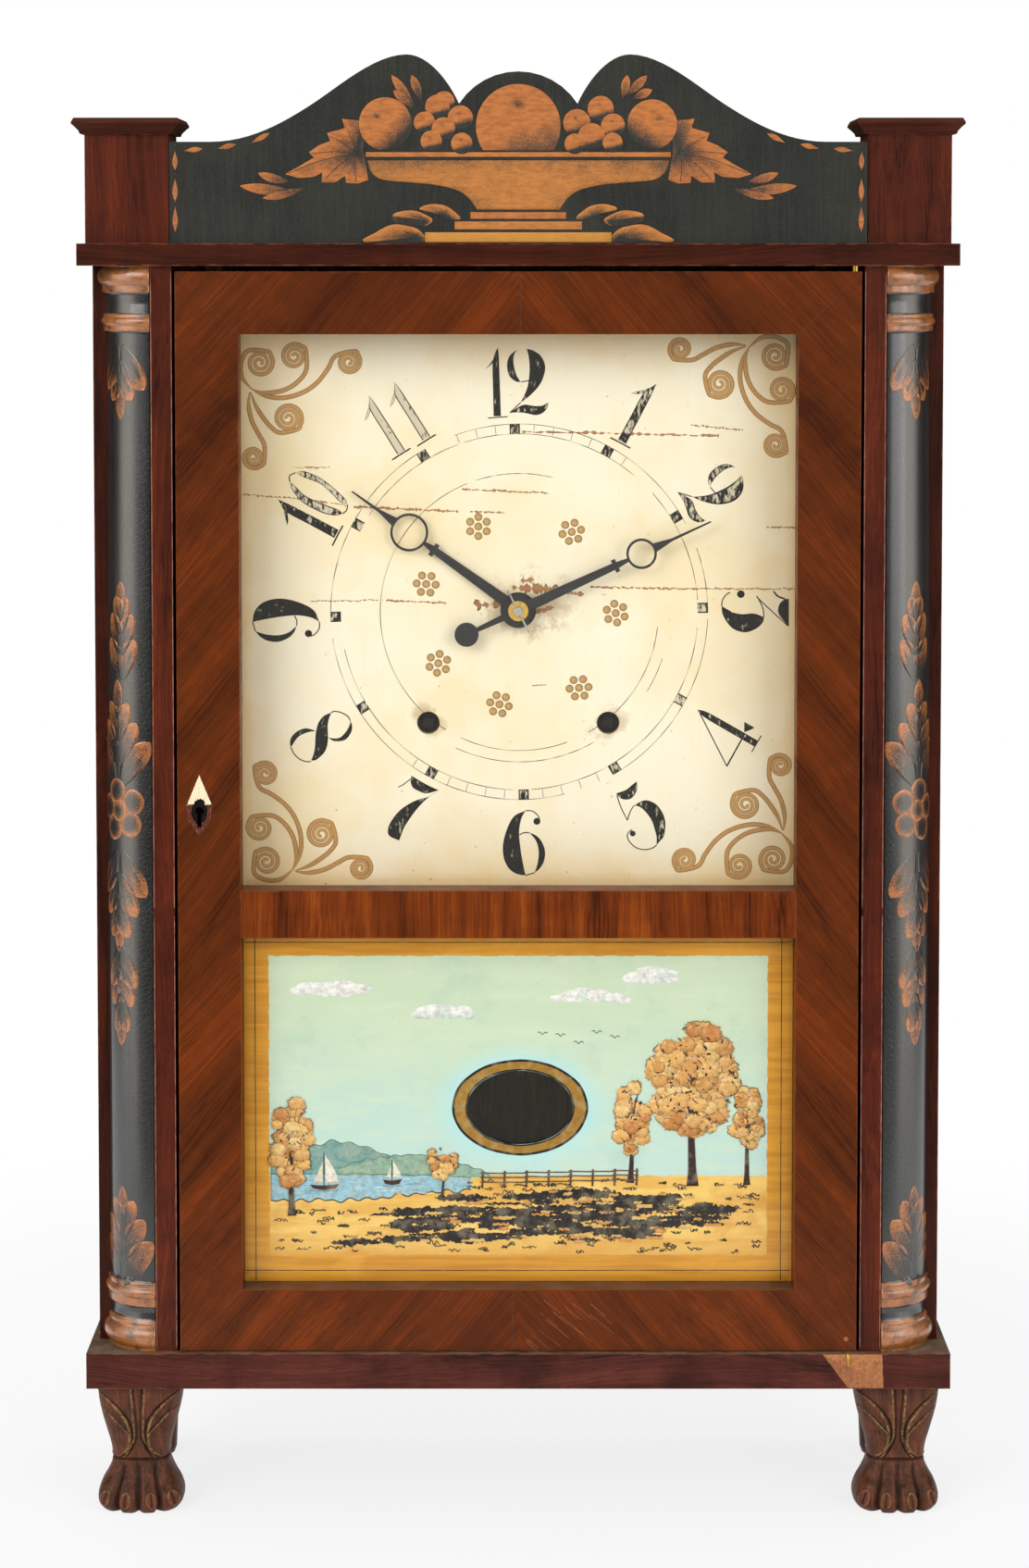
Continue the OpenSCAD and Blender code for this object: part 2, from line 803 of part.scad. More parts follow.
module escutcheon() {
    color([0.86, 0.82, 0.70]) layer(y_door, y_door + kite_t) difference() {
        kite(0);
        keyhole();
    }
}

module lock_case() {
    color(BRASS) difference() {
        block([lock_lo[0], y_door_back - lock_deep, lock_lo[1]],
            [lock_lo[0] + lock_w, y_door_back, lock_lo[1] + lock_h]);
        bolt_path(rest_gap);
        layer(y_door, bolt_y + 1) keyhole();
    }
}

module lock_bolt() {
    color(STEEL) block([-door_half + rest_gap, bolt_y, bolt_z],
        [key_at[0] - bolt_throw - rest_gap, bolt_y + bolt_t, bolt_z + bolt_h]);
}

// Dial and hands

dial_lap = 11;
dial_z = dial_open_z - dial_lap;
dial_z_top = dial_open_top + dial_lap;
dial_pin_r = 1;
dial_pin_x = (part_out + part_in) / 2;

module dial() {
    color([0.91, 0.87, 0.74]) difference() {
        block([-dial_half, y_dial, dial_z], [dial_half, y_dial_back, dial_z_top]);
        bar(hands_at, pipe_r + 1.5, y_dial - 1, y_dial_back + 1);
        for (at = [going_at, strike_at]) {
            bar(at, wind_hole_r, y_dial - 1, y_dial_back + 1);
        }
        for (x = [-dial_pin_x, dial_pin_x]) {
            for (z = [dial_z + 5, dial_z_top - 5]) {
                bar([x, z], dial_pin_r, y_dial - 1, y_dial_back + 1);
            }
        }
    }
}

// Wire pins that hold the dial on the partitions' edges
module dial_pins() {
    color(BRASS) for (x = [-dial_pin_x, dial_pin_x]) {
        for (z = [dial_z + 5, dial_z_top - 5]) {
            bar([x, z], dial_pin_r, y_dial - 1.5, y_dial_back);
        }
    }
}

y_hour_hand = y_dial - 3.6;
y_minute_hand = y_hour_hand - 3.4;
y_collar = y_minute_hand - 1.4;
y_centre_end = y_collar - 2.6;

// A pierced hand that points up: a taper from the hub, a ring, and a long tip
module hand_outline(len, hub, ring_at, ring_r, root_w, knob_at) {
    circle(r = hub, $fn = 64);
    polygon([[-root_w / 2, hub * 0.8], [root_w / 2, hub * 0.8],
        [root_w * 0.32, knob_at], [0.9, ring_at - ring_r + 0.5],
        [-0.9, ring_at - ring_r + 0.5], [-root_w * 0.32, knob_at]]);
    translate([0, knob_at]) square([root_w + 1.2, 2.2], center = true);
    difference() {
        translate([0, ring_at]) circle(r = ring_r, $fn = 64);
        translate([0, ring_at]) circle(r = ring_r - 1.2, $fn = 64);
    }
    polygon([[-2.3, ring_at + ring_r - 0.5], [2.3, ring_at + ring_r - 0.5],
        [0.7, ring_at + ring_r + 9], [0.35, len], [-0.35, len],
        [-0.7, ring_at + ring_r + 9]]);
}

module hour_hand() {
    color(BLUED) layer(y_hour_hand, y_hour_hand + hand_t) translate(hands_at)
        rotate(-hour_angle) difference() {
            hand_outline(hour_len, hour_hub_r, hour_len * 0.655, 9.5, 5.6, hour_len * 0.507);
            circle(r = pipe_r - 1, $fn = 48);
        }
}

tail_len = 28.4;
tail_r = 6;
module minute_hand() {
    color(BLUED) layer(y_minute_hand, y_minute_hand + hand_t) translate(hands_at)
        rotate(-minute_angle) difference() {
            union() {
                hand_outline(minute_len, minute_hub_r, minute_len * 0.64, 7.6, 5.4,
                    minute_len * 0.505);
                polygon([[-1.7, -minute_hub_r * 0.8], [1.7, -minute_hub_r * 0.8],
                    [0.9, -tail_len], [-0.9, -tail_len]]);
                translate([0, -tail_len]) circle(r = tail_r, $fn = 48);
            }
            square(square_w + 0.1, center = true);
        }
}

square_w = 4;
module hand_collar() {
    color(BRASS) layer(y_collar, y_collar + 1) translate(hands_at) difference() {
        circle(r = 5, $fn = 48);
        rotate(-minute_angle) square(square_w + 0.1, center = true);
    }
}

// The arbor of the minute hand, and the taper pin across its end
pin_len = 23.5;
module centre_arbor() {
    color(STEEL) {
        difference() {
            union() {
                bar(hands_at, centre_r, y_minute_hand + hand_t, y_plate_in + 1);
                layer(y_centre_end, y_minute_hand + hand_t + eps) translate(hands_at)
                    rotate(-minute_angle) square(square_w, center = true);
                bar(hands_at, centre_r + 2, y_plate_in + rest_gap, y_plate_in + 3);
            }
            translate([0, y_collar - 1, hands_z]) rotate([0, pin_lean, 0])
                cylinder(h = pin_len, r = 0.55, center = true, $fn = 24);
        }
        translate([0, y_collar - 1, hands_z]) rotate([0, pin_lean, 0])
            cylinder(h = pin_len, r = 0.5, center = true, $fn = 24);
    }
}
pin_lean = -27;

// Motion work

module cannon_wheel() {
    phase = mesh(0, transfer_n, heading(second_at, hands_at), transfer_n);
    color(OAK) difference() {
        union() {
            wheel(hands_at, transfer_n, transfer_m, phase, y_cannon, y_cannon + 3, 9);
            pinion(hands_at, cannon_n, cannon_m, 0, y_pinion, y_cannon + eps);
            bar(hands_at, 5, y_cannon, y_plate - 5.8);
        }
        bar(hands_at, centre_r, y_pinion - 1, y_plate);
    }
}

module transfer_wheel() {
    color(OAK) difference() {
        union() {
            wheel(second_at, transfer_n, transfer_m, 0, y_cannon, y_cannon + 3, 9);
            bar(second_at, 6, y_cannon, y_plate - rest_gap);
        }
        bar(second_at, arbor_r + run_gap, y_cannon - 1, y_plate);
    }
}

module minute_wheel() {
    out = heading(hands_at, minute_at);
    color(OAK) difference() {
        union() {
            wheel(minute_at, minute_n, cannon_m, mesh(0, cannon_n, out, minute_n),
                y_minute + 0.4, y_cannon - rest_gap, 8);
            pinion(minute_at, cannon_n, hour_m, 0, y_hour - rest_gap, y_minute + 0.4 + eps);
        }
        bar(minute_at, stud_r + run_gap, y_hour - 1, y_cannon);
    }
}

module hour_wheel() {
    in = heading(minute_at, hands_at);
    color(OAK) difference() {
        union() {
            wheel(hands_at, hour_n, hour_m, mesh(0, cannon_n, in, hour_n), y_hour,
                y_hour + 2.8, 9);
            bar(hands_at, pipe_r, y_hour_hand + hand_t, y_hour + 2.8);
            bar(hands_at, pipe_r - 1.05, y_hour_hand, y_hour);
        }
        bar(hands_at, pipe_bore, y_minute_hand, y_minute + 2);
    }
}

// Movement frame

// Both plates are bored for the arbors
module plate(y0, y1, front) {
    difference() {
        block([-plate_half, y0, plate_z], [plate_half, y1, plate_z_top]);
        for (at = [going_at, strike_at]) {
            bar(at, front ? drum_arbor_r + run_gap : drum_pivot_r + run_gap, y0 - 1, y1 + 1);
        }
        bar(second_at, front ? arbor_r + run_gap : pivot_r + run_gap, y0 - 1, y1 + 1);
        for (at = [third_at, escape_at, pin_at, warning_at, fly_at, verge_at]) {
            bar(at, pivot_r + run_gap, y0 - 1, y1 + 1);
        }
        for (at = pillars) {
            bar(at, pillar_r - 1, y0 - 1, y1 + 1);
        }
        if (front) {
            bar(hands_at, centre_r + run_gap, y0 - 1, y1 + 1);
            for (at = [hang_at, minute_at]) {
                bar(at, stud_r, y0 - 1, y1 + 1);
            }
        }
        if (!front) {
            bar(hammer_at, hammer_stud_r, y0 - 1, y1 + 1);
        }
    }
}

module front_plate() {
    color(OAK) plate(y_plate, y_plate_in, true);
}

module back_plate() {
    color(OAK) plate(y_rear_in, y_rear_out, false);
}

module plate_pillars() {
    color(PINE) for (at = pillars) {
        bar(at, pillar_r, y_plate_in, y_rear_in);
        bar(at, pillar_r - 1, y_plate - 1, y_rear_out);
    }
}

// Studs that carry the pendulum, the minute wheel and the hammer
hammer_y = y_plate_in + 13;
module plate_studs() {
    color(STEEL) {
        bar(hang_at, stud_r, y_rod - 3, y_plate_in);
        bar(hang_at, stud_r + 1.2, y_rod - 4, y_rod - 3);
        bar(minute_at, stud_r, y_hour - rest_gap, y_plate_in);
        bar(minute_at, stud_r + 1, y_cannon - rest_gap + eps, y_plate);
        bar(hammer_at, hammer_stud_r, hammer_y - 0.5, y_rear_out);
    }
}

// Trains

// An arbor between the plates, with a pivot in each
module arbor(at, r) {
    bar(at, r, y_plate_in + rest_gap, y_rear_in - rest_gap);
    bar(at, pivot_r, y_plate + 0.5, y_rear_out - 0.5);
}

// A great wheel turns on its drum's arbor and carries the click
module great_wheel(at, phase) {
    color(OAK) difference() {
        union() {
            wheel(at, great_n, great_m, phase, y_great, y_great + great_t, 19);
            layer(y_great + great_t - eps, y_great + great_t + ratchet_t)
                translate(at) rotate(20) translate([ratchet_r + rest_gap, -2]) square([7, 4]);
        }
        bar(at, drum_arbor_r + run_gap, y_great - 1, y_great + great_t + ratchet_t + 1);
    }
}

// A drum with its ratchet, and the winding square in front of the dial's face
ratchet_r = 14.2;
ratchet_n = 20;
module drum(at) {
    color(OAK) {
        bar(at, drum_arbor_r, y_plate + 0.5 - plate_t, y_drum);
        layer(y_dial + 0.5, y_plate - plate_t + 0.6) translate(at)
            square(wind_square, center = true);
        layer(y_ratchet, y_drum + eps) translate(at) polygon([
            for (k = [0 : ratchet_n - 1])
                for (p = [[ratchet_r, 0], [ratchet_r - 2.2, 3]])
                    [p[0] * cos((k + p[1] / 18) * 360 / ratchet_n),
                        p[0] * sin((k + p[1] / 18) * 360 / ratchet_n)]
        ]);
        bar(at, drum_r, y_drum, y_rear_in - 3);
        for (y = [y_drum, y_rear_in - 4]) {
            bar(at, drum_r + 3, y, y + 2);
        }
        bar(at, drum_pivot_r, y_rear_in - 4, y_rear_out - 0.5);
    }
}

module going_drum() {
    drum(going_at);
}

module strike_drum() {
    drum(strike_at);
}

module going_great_wheel() {
    great_wheel(going_at, 0);
}

module strike_great_wheel() {
    great_wheel(strike_at, 0);
}

module second_wheel() {
    color(OAK) union() {
        arbor(second_at, arbor_r);
        bar(second_at, arbor_r, y_cannon + 0.1, y_plate_in + 1);
        pinion(second_at, leaves, great_m,
            mesh(0, great_n, heading(going_at, second_at), leaves),
            y_great - 0.5, y_great + great_t + 0.5);
        wheel(second_at, second_n, second_m, 0, y_second, y_second + wheel_t, 8);
    }
}

module third_wheel() {
    color(OAK) union() {
        arbor(third_at, arbor_r - 0.5);
        pinion(third_at, leaves, second_m, mesh(0, second_n, third_dir, leaves),
            y_second - 1, y_second + wheel_t + 1);
        wheel(third_at, third_n, third_m, 0, y_third, y_third + wheel_t - 0.5, 7);
    }
}

// The escape wheel's teeth stand clear of both pallets at rest
module escape_wheel() {
    pitch = 360 / escape_n;
    phase = 90 + pallet_span - pitch / 4;
    color(BRASS) union() {
        layer(y_escape, y_escape + escape_t) translate(escape_at) difference() {
            polygon([
                for (k = [0 : escape_n - 1])
                    for (p = [[escape_root_r, -2.2], [escape_r, -0.5], [escape_r, 0.5],
                        [escape_root_r, 2.2]])
                        [p[0] * cos(phase + k * pitch + p[1]), p[0] * sin(phase + k * pitch + p[1])]
            ]);
            windows(5, escape_root_r - 3, 3);
        }
        arbor(escape_at, arbor_r - 0.5);
        pinion(escape_at, leaves, third_m, mesh(0, third_n, escape_dir, leaves),
            y_third - 1, y_third + wheel_t + 0.5);
    }
}

// A steel strip bent to two pallets, its arbor and the crutch with its fork
crutch_len = 40;
fork_gap = 0.5;
crutch_half = pivot_r + 0.4;
verge_hub_r = 2.5;
module verge() {
    tip = [pallet_r * sin(pallet_span), pallet_r * cos(pallet_span) - (verge_at[1] - escape_at[1])];
    color(STEEL) union() {
        layer(y_escape - 0.3, y_escape + escape_t + 0.3) translate(verge_at) {
            circle(r = verge_hub_r, $fn = 48);
            for (side = [-1, 1]) {
                polygon([[0, 2.4], [side * tip[0], 0.4], [side * (tip[0] + 1.8), -1],
                    [side * (tip[0] + 0.25), tip[1]], [side * (tip[0] - 0.25), tip[1]],
                    [side * (tip[0] - 0.9), -2], [0, -1.4]]);
            }
        }
        bar(verge_at, arbor_r - 0.5, y_plate_in + rest_gap, y_rear_in - rest_gap);
        bar(verge_at, pivot_r, y_plate - 2, y_rear_out - 0.5);
        block([verge_at[0] - crutch_half, y_plate - 2, verge_at[1] - crutch_len],
            [verge_at[0] + crutch_half, y_plate - 0.6, verge_at[1] + 2]);
        block([verge_at[0] - rod_r - fork_gap - 1.2, y_plate - 2, verge_at[1] - crutch_len - 1],
            [verge_at[0] + rod_r + fork_gap + 1.2, y_plate - 0.6, verge_at[1] - crutch_len + 1]);
        for (side = [-1, 1]) {
            x = verge_at[0] + side * (rod_r + fork_gap + 0.6);
            block([x - 0.6, y_rod - rod_r - 1, verge_at[1] - crutch_len - 1],
                [x + 0.6, y_plate - 0.6, verge_at[1] - crutch_len + 1]);
        }
    }
}

// Pins on this wheel lift the hammer
lift_pin_r = 26;
module pin_wheel() {
    color(OAK) union() {
        arbor(pin_at, arbor_r);
        pinion(pin_at, leaves, great_m, mesh(0, great_n, heading(strike_at, pin_at), leaves),
            y_great - 0.5, y_great + great_t + 0.5);
        wheel(pin_at, second_n, second_m, 0, y_second, y_second + wheel_t, 8, open = false);
        for (k = [0 : 7]) {
            bar(polar(pin_at, lift_pin_r, k * 45), 1.2, y_second + 1, y_second + wheel_t + 2.8);
        }
    }
}

module warning_wheel() {
    color(OAK) union() {
        arbor(warning_at, arbor_r - 0.5);
        pinion(warning_at, leaves, second_m, mesh(0, second_n, warning_dir, leaves),
            y_second - 1, y_second + wheel_t + 1);
        wheel(warning_at, warning_n, third_m, 0, y_third, y_third + wheel_t - 0.5, 6);
    }
}

// A two-bladed fan that steadies the striking
fly_half = 15;
module fly() {
    color(OAK) union() {
        arbor(fly_at, 1.8);
        pinion(fly_at, leaves, third_m, mesh(0, warning_n, fly_dir, leaves),
            y_third - 1, y_third + wheel_t + 0.5);
        block([fly_at[0] - fly_half, y_plate_in + 2, fly_at[1] - 0.8],
            [fly_at[0] + fly_half, y_third - 2, fly_at[1] + 0.8]);
    }
}

// The hammer hangs on its stud; a tail reaches to the lifting pins
module hammer() {
    out = heading(hammer_at, pin_at);
    tail = norm(pin_at - hammer_at) - lift_pin_r - 1.2 - 0.8;
    y_arm = hammer_y + 6;
    color(IRON) difference() {
        union() {
            bar(hammer_at, 4, hammer_y, y_rear_in - 1);
            layer(hammer_y, hammer_y + 2.4) translate(hammer_at) rotate(out)
                translate([0, -1.2]) square([tail, 2.4]);
            block([hammer_at[0] - 1, y_arm, hammer_at[1] - hammer_drop],
                [hammer_at[0] + 1, y_arm + 2.5, hammer_at[1]]);
            translate([hammer_at[0] - head_len / 2, bell_hit_y, hammer_at[1] - hammer_drop])
                rotate([0, 90, 0]) cylinder(h = head_len, r = 5.5, $fn = 48);
        }
        bar(hammer_at, hammer_stud_r + run_gap, hammer_y - 1, y_rear_in);
    }
}
bell_hit_y = hammer_y + 9;

// A cup bell with its mouth to the back, on a post in the backboard
bell_deep = 22;
bell_wall = 2.2;
module bell() {
    color(BRASS) translate([bell_at[0], bell_hit_y + 4, bell_at[1]]) rotate([90, 0, 0]) {
        rotate_extrude($fn = 96) polygon([
            [0, bell_deep], [bell_r * 0.45, bell_deep], [bell_r * 0.72, bell_deep - 3],
            [bell_r * 0.88, bell_deep - 9], [bell_r * 0.95, 4], [bell_r, 0],
            [bell_r - bell_wall, 0], [bell_r * 0.95 - bell_wall, 4],
            [bell_r * 0.88 - bell_wall, bell_deep - 9.8],
            [bell_r * 0.72 - bell_wall, bell_deep - 4.6],
            [bell_r * 0.45 - 1, bell_deep - bell_wall], [0, bell_deep - bell_wall]
        ]);
        translate([0, 0, -(y_board - bell_hit_y - 4)])
            cylinder(h = y_board - bell_hit_y - 4 + bell_deep + 3, r = 3, $fn = 32);
        translate([0, 0, bell_deep]) cylinder(h = 3, r = 5.5, $fn = 6);
    }
}

// Pendulum

eye_r = 4;
module pendulum_rod() {
    color(STEEL) union() {
        difference() {
            bar(hang_at, eye_r, y_rod - rod_r, y_rod + rod_r);
            bar(hang_at, stud_r + run_gap, y_rod - 3, y_rod + 3);
        }
        translate([hang_at[0], y_rod, bob_at[1] - bob_r - 8])
            cylinder(h = pendulum_len + bob_r + 8 - stud_r - 1, r = rod_r, $fn = 32);
        translate([hang_at[0], y_rod, bob_at[1] - bob_r - 6]) cylinder(h = 4, r = 4, $fn = 32);
    }
}

bob_t = 8;
module pendulum_bob() {
    lens_r = (bob_r * bob_r + bob_t * bob_t / 4) / bob_t;
    color(BRASS) difference() {
        translate([bob_at[0], y_rod, bob_at[1]]) rotate([90, 0, 0]) rotate_extrude($fn = 96)
            intersection() {
                translate([0, bob_t / 2 - lens_r]) circle(r = lens_r, $fn = 360);
                translate([0, lens_r - bob_t / 2]) circle(r = lens_r, $fn = 360);
                translate([0, -bob_t]) square([bob_r, 2 * bob_t]);
            }
        translate([bob_at[0], y_rod, bob_at[1] - bob_r - 1])
            cylinder(h = 2 * bob_r + 2, r = rod_r + run_gap, $fn = 32);
    }
}

// Weights and pulleys

weight_y = (y_dial_back + y_board) / 2;
module weight(side) {
    color(IRON) translate([side * channel_mid, weight_y, z_base_top + rest_gap]) {
        rotate_extrude($fn = 64) polygon([
            [0, 0], [weight_r - 1, 0], [weight_r, 1], [weight_r, weight_h - 3],
            [weight_r - 3, weight_h], [0, weight_h]
        ]);
        translate([0, 0, weight_h + 6]) rotate([90, 0, 0])
            rotate_extrude($fn = 48) translate([6.5, 0]) circle(r = 1.3, $fn = 24);
    }
}

module going_weight() {
    weight(1);
}

module strike_weight() {
    weight(-1);
}

// A pulley hangs between two cheeks under the top board
pulley_t = 8;
pulley_pin_r = 2;
pulley_drop = 20;
pulley_x = part_out + rest_gap + 0.2 + pulley_r;
z_pulley = z_top_under - pulley_drop;
module pulley(side) {
    color(OAK) translate([side * pulley_x, weight_y, z_pulley]) rotate([90, 0, 0])
        rotate_extrude($fn = 64) polygon([
            [pulley_pin_r + run_gap, -pulley_t / 2], [pulley_r, -pulley_t / 2],
            [pulley_r - 2, -1], [pulley_r - 2, 1], [pulley_r, pulley_t / 2],
            [pulley_pin_r + run_gap, pulley_t / 2]
        ]);
}

module going_pulley() {
    pulley(1);
}

module strike_pulley() {
    pulley(-1);
}

cheek_t = 4;
module pulley_brackets() {
    half = pulley_t / 2 + rest_gap;
    color(IRON) both_sides() {
        for (y = [weight_y - half - cheek_t, weight_y + half]) {
            block([pulley_x - 5, y, z_pulley - 6], [pulley_x + 5, y + cheek_t, z_top_under]);
        }
        bar([pulley_x, z_pulley], pulley_pin_r, weight_y - half - cheek_t,
            weight_y + half + cheek_t);
    }
}

base_board();
side_boards();
jambs();
door_strips();
half_columns();
top_board();
back_board();
partitions();
movement_battens();
paw_feet();
rear_feet();
corner_blocks();
block_caps();
splat();
door_stile_left();
door_stile_right();
door_top_rail();
door_mid_rail();
door_bottom_rail();
door_glass();
painted_tablet();
glazing_strips();
hinge_pins();
escutcheon();
lock_case();
lock_bolt();
dial();
dial_pins();
hour_hand();
minute_hand();
hand_collar();
centre_arbor();
cannon_wheel();
minute_wheel();
hour_wheel();
transfer_wheel();
front_plate();
back_plate();
plate_pillars();
plate_studs();
going_great_wheel();
second_wheel();
third_wheel();
escape_wheel();
verge();
going_drum();
strike_great_wheel();
pin_wheel();
warning_wheel();
fly();
strike_drum();
hammer();
bell();
pendulum_rod();
pendulum_bob();
pulley_brackets();
going_pulley();
strike_pulley();
going_weight();
strike_weight();
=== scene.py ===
"""The looks of a weight-driven shelf clock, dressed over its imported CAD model.

Lengths are in millimetres and become metres where a mesh is made. X runs to the right of someone
who faces the door, Y runs to the back and Z runs up.
"""

import logging
import math
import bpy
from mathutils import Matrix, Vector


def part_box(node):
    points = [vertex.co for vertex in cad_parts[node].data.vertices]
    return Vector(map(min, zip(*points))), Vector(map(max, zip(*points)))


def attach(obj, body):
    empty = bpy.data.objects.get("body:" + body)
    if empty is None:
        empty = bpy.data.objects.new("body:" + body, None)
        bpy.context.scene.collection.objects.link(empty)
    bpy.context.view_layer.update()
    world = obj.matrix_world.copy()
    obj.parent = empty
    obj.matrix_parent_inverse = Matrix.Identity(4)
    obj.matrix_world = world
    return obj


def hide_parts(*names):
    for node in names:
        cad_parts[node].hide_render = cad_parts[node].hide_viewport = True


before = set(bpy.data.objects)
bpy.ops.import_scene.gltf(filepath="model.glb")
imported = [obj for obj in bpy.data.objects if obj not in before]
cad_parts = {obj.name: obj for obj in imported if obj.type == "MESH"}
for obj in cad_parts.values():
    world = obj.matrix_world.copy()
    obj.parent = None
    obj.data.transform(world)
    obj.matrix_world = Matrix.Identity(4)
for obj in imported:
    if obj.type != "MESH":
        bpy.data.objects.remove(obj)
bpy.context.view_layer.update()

import zlib
from collections.abc import Callable, Sequence
from dataclasses import dataclass, field, replace
from enum import Enum
from functools import cache

import bmesh
import bpy
import numpy as np

MM = 0.001
BLACK = (0.0, 0.0, 0.0, 1.0)
WHITE = (1.0, 1.0, 1.0, 1.0)

Pair = tuple[float, float]
Points = Sequence[Pair]
Socket = bpy.types.NodeSocket
Place = Callable[[np.ndarray, np.ndarray, np.ndarray], np.ndarray]
Tone = Callable[[np.ndarray, np.ndarray], np.ndarray]

log = logging.getLogger("clock")


# ---------------------------------------------------------------- curves and meshes


def tint(code: str) -> tuple[float, float, float, float]:
    """Turns a six-digit screen colour into linear red, green, blue and one."""
    parts = np.array([int(code[i:i + 2], 16) for i in (0, 2, 4)]) / 255.0
    linear = np.where(parts <= 0.04045, parts / 12.92, ((parts + 0.055) / 1.055) ** 2.4)
    return (*linear.tolist(), 1.0)


def node_box(*names: str) -> tuple[np.ndarray, np.ndarray]:
    """The lowest and highest corner of some CAD nodes together, in millimetres."""
    boxes = [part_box(name) for name in names]
    low = np.min([np.array(box[0]) for box in boxes], axis=0) / MM
    high = np.max([np.array(box[1]) for box in boxes], axis=0) / MM
    return low, high


def flow(points: Points, count: int, closed: bool = False) -> np.ndarray:
    """A smooth curve through some points, evenly spaced along its length.

    Each span between two points is the cubic whose slopes at its ends are half the step between
    the neighbours on either side. The dense curve is then read at equal steps of arc length.

    Args:
        points: The points that the curve goes through.
        count: How many points come back.
        closed: Whether the curve runs on from its last point to its first.

    Returns:
        An array of shape (count, 2).
    """
    given = np.asarray(points, float)
    if closed:
        padded = np.concatenate([given[-1:], given, given[:2]])
    else:
        padded = np.concatenate([2 * given[:1] - given[1:2], given, 2 * given[-1:] - given[-2:-1]])
    spans = len(padded) - 3
    place = np.linspace(0, spans, max(16 * spans, 2 * count) + 1)
    span = np.minimum(place.astype(int), spans - 1)
    t = (place - span)[:, None]
    a, b, c, d = (padded[span + k] for k in range(4))
    dense = b + 0.5 * t * (c - a + t * (2 * a - 5 * b + 4 * c - d + t * (3 * (b - c) + d - a)))
    length = np.concatenate([[0], np.cumsum(np.hypot(*np.diff(dense, axis=0).T))])
    stops = np.linspace(0, length[-1], count + 1)[:-1] if closed else np.linspace(0, length[-1], count)
    return np.stack([np.interp(stops, length, dense[:, k]) for k in (0, 1)], -1)


def layered(*parts: np.ndarray | float) -> np.ndarray:
    """Arrays or numbers laid side by side as the last dimension of one array."""
    return np.stack(np.broadcast_arrays(*parts), -1)


def full_turn(count: int) -> np.ndarray:
    """Evenly spaced angles once round."""
    return np.linspace(0, 2 * math.pi, count, endpoint=False)


def round_about(turn: np.ndarray | float) -> np.ndarray:
    """Places on a circle of radius 1, by their angles clockwise from its top."""
    return layered(np.sin(turn), np.cos(turn))


def bell(away: np.ndarray, reach: np.ndarray | float) -> np.ndarray:
    """One at no distance, falling off to both sides as a bell."""
    return np.exp(-((away / reach) ** 2))


def round_outline(corners: Points, count: int) -> np.ndarray:
    """Points along the sides of a closed outline, as many on each side."""
    given = np.asarray(corners, float)
    share = np.linspace(0, 1, count, endpoint=False)[:, None]
    sides = zip(given, np.roll(given, -1, 0))
    return np.concatenate([start + (end - start) * share for start, end in sides])


def front_of(*names: str) -> float:
    """The depth of the front of some CAD nodes, in millimetres."""
    return float(node_box(*names)[0][1])


def upright(front: float) -> Place:
    """The placing on an upright plane: across, up, and out to the viewer by the lift."""
    return lambda u, v, lift: layered(u, front - lift, v)


def ripple(t: np.ndarray, seed: int, waves: int = 5) -> np.ndarray:
    """A smooth wobble between about -1 and 1, a sum of sines with phases drawn from a seed."""
    draw = np.random.default_rng(seed)
    rates = draw.uniform(1.0, 3.0 * waves, waves)
    phases = draw.uniform(0, 2 * math.pi, waves)
    return np.sin(2 * math.pi * t[..., None] * rates + phases).sum(-1) / math.sqrt(2 * waves)


def waver(start: Pair, end: Pair, count: int, height: float, seed: int, waves: int = 5) -> np.ndarray:
    """A straight path whose height wavers by a ripple."""
    t = np.linspace(0, 1, count)
    x, z = (low + (high - low) * t for low, high in zip(start, end))
    return layered(x, z + height * ripple(t, seed, waves))


@dataclass
class Draft:
    """Grids of points that are gathered into one mesh."""

    points: list[np.ndarray] = field(default_factory=list)
    faces: list[np.ndarray] = field(default_factory=list)
    tones: list[np.ndarray] = field(default_factory=list)
    count: int = 0

    def grid(self, points: np.ndarray, tone: np.ndarray | None = None, rows_close: bool = False) -> None:
        """Adds a grid of points of shape (rows, columns, 3), in millimetres; its rows are rings.

        Args:
            points: The grid.
            tone: Three numbers for each point, or None for zeros.
            rows_close: Whether the last row joins the first.
        """
        rows, columns = points.shape[:2]
        index = self.count + np.arange(rows * columns).reshape(rows, columns)
        index = np.concatenate([index, index[:, :1]], 1)
        if rows_close:
            index = np.concatenate([index, index[:1]], 0)
        quads = [index[:-1, :-1], index[1:, :-1], index[1:, 1:], index[:-1, 1:]]
        self.faces.append(np.stack(quads, -1).reshape(-1, 4))
        self.points.append(points.reshape(-1, 3))
        shade = np.zeros((rows, columns, 3)) if tone is None else np.broadcast_to(tone, points.shape)
        self.tones.append(shade.reshape(-1, 3))
        self.count += rows * columns

    def make(self, name: str, weld: float = 0.002) -> bpy.types.Object:
        """Makes the object, with points closer than weld joined and all faces turned outwards."""
        mesh = bpy.data.meshes.new(name)
        mesh.from_pydata((np.concatenate(self.points) * MM).tolist(), [], np.concatenate(self.faces).tolist())
        shade = mesh.color_attributes.new("tone", "FLOAT_COLOR", "POINT")
        colours = np.concatenate([np.concatenate(self.tones), np.ones((self.count, 1))], 1)
        shade.data.foreach_set("color", colours.astype(np.float32).ravel())
        shaped = bmesh.new()
        shaped.from_mesh(mesh)
        bmesh.ops.remove_doubles(shaped, verts=shaped.verts, dist=weld * MM)
        bmesh.ops.recalc_face_normals(shaped, faces=shaped.faces)
        shaped.to_mesh(mesh)
        shaped.free()
        mesh.polygons.foreach_set("use_smooth", np.ones(len(mesh.polygons), bool))
        made = bpy.data.objects.new(name, mesh)
        bpy.context.scene.collection.objects.link(made)
        return made


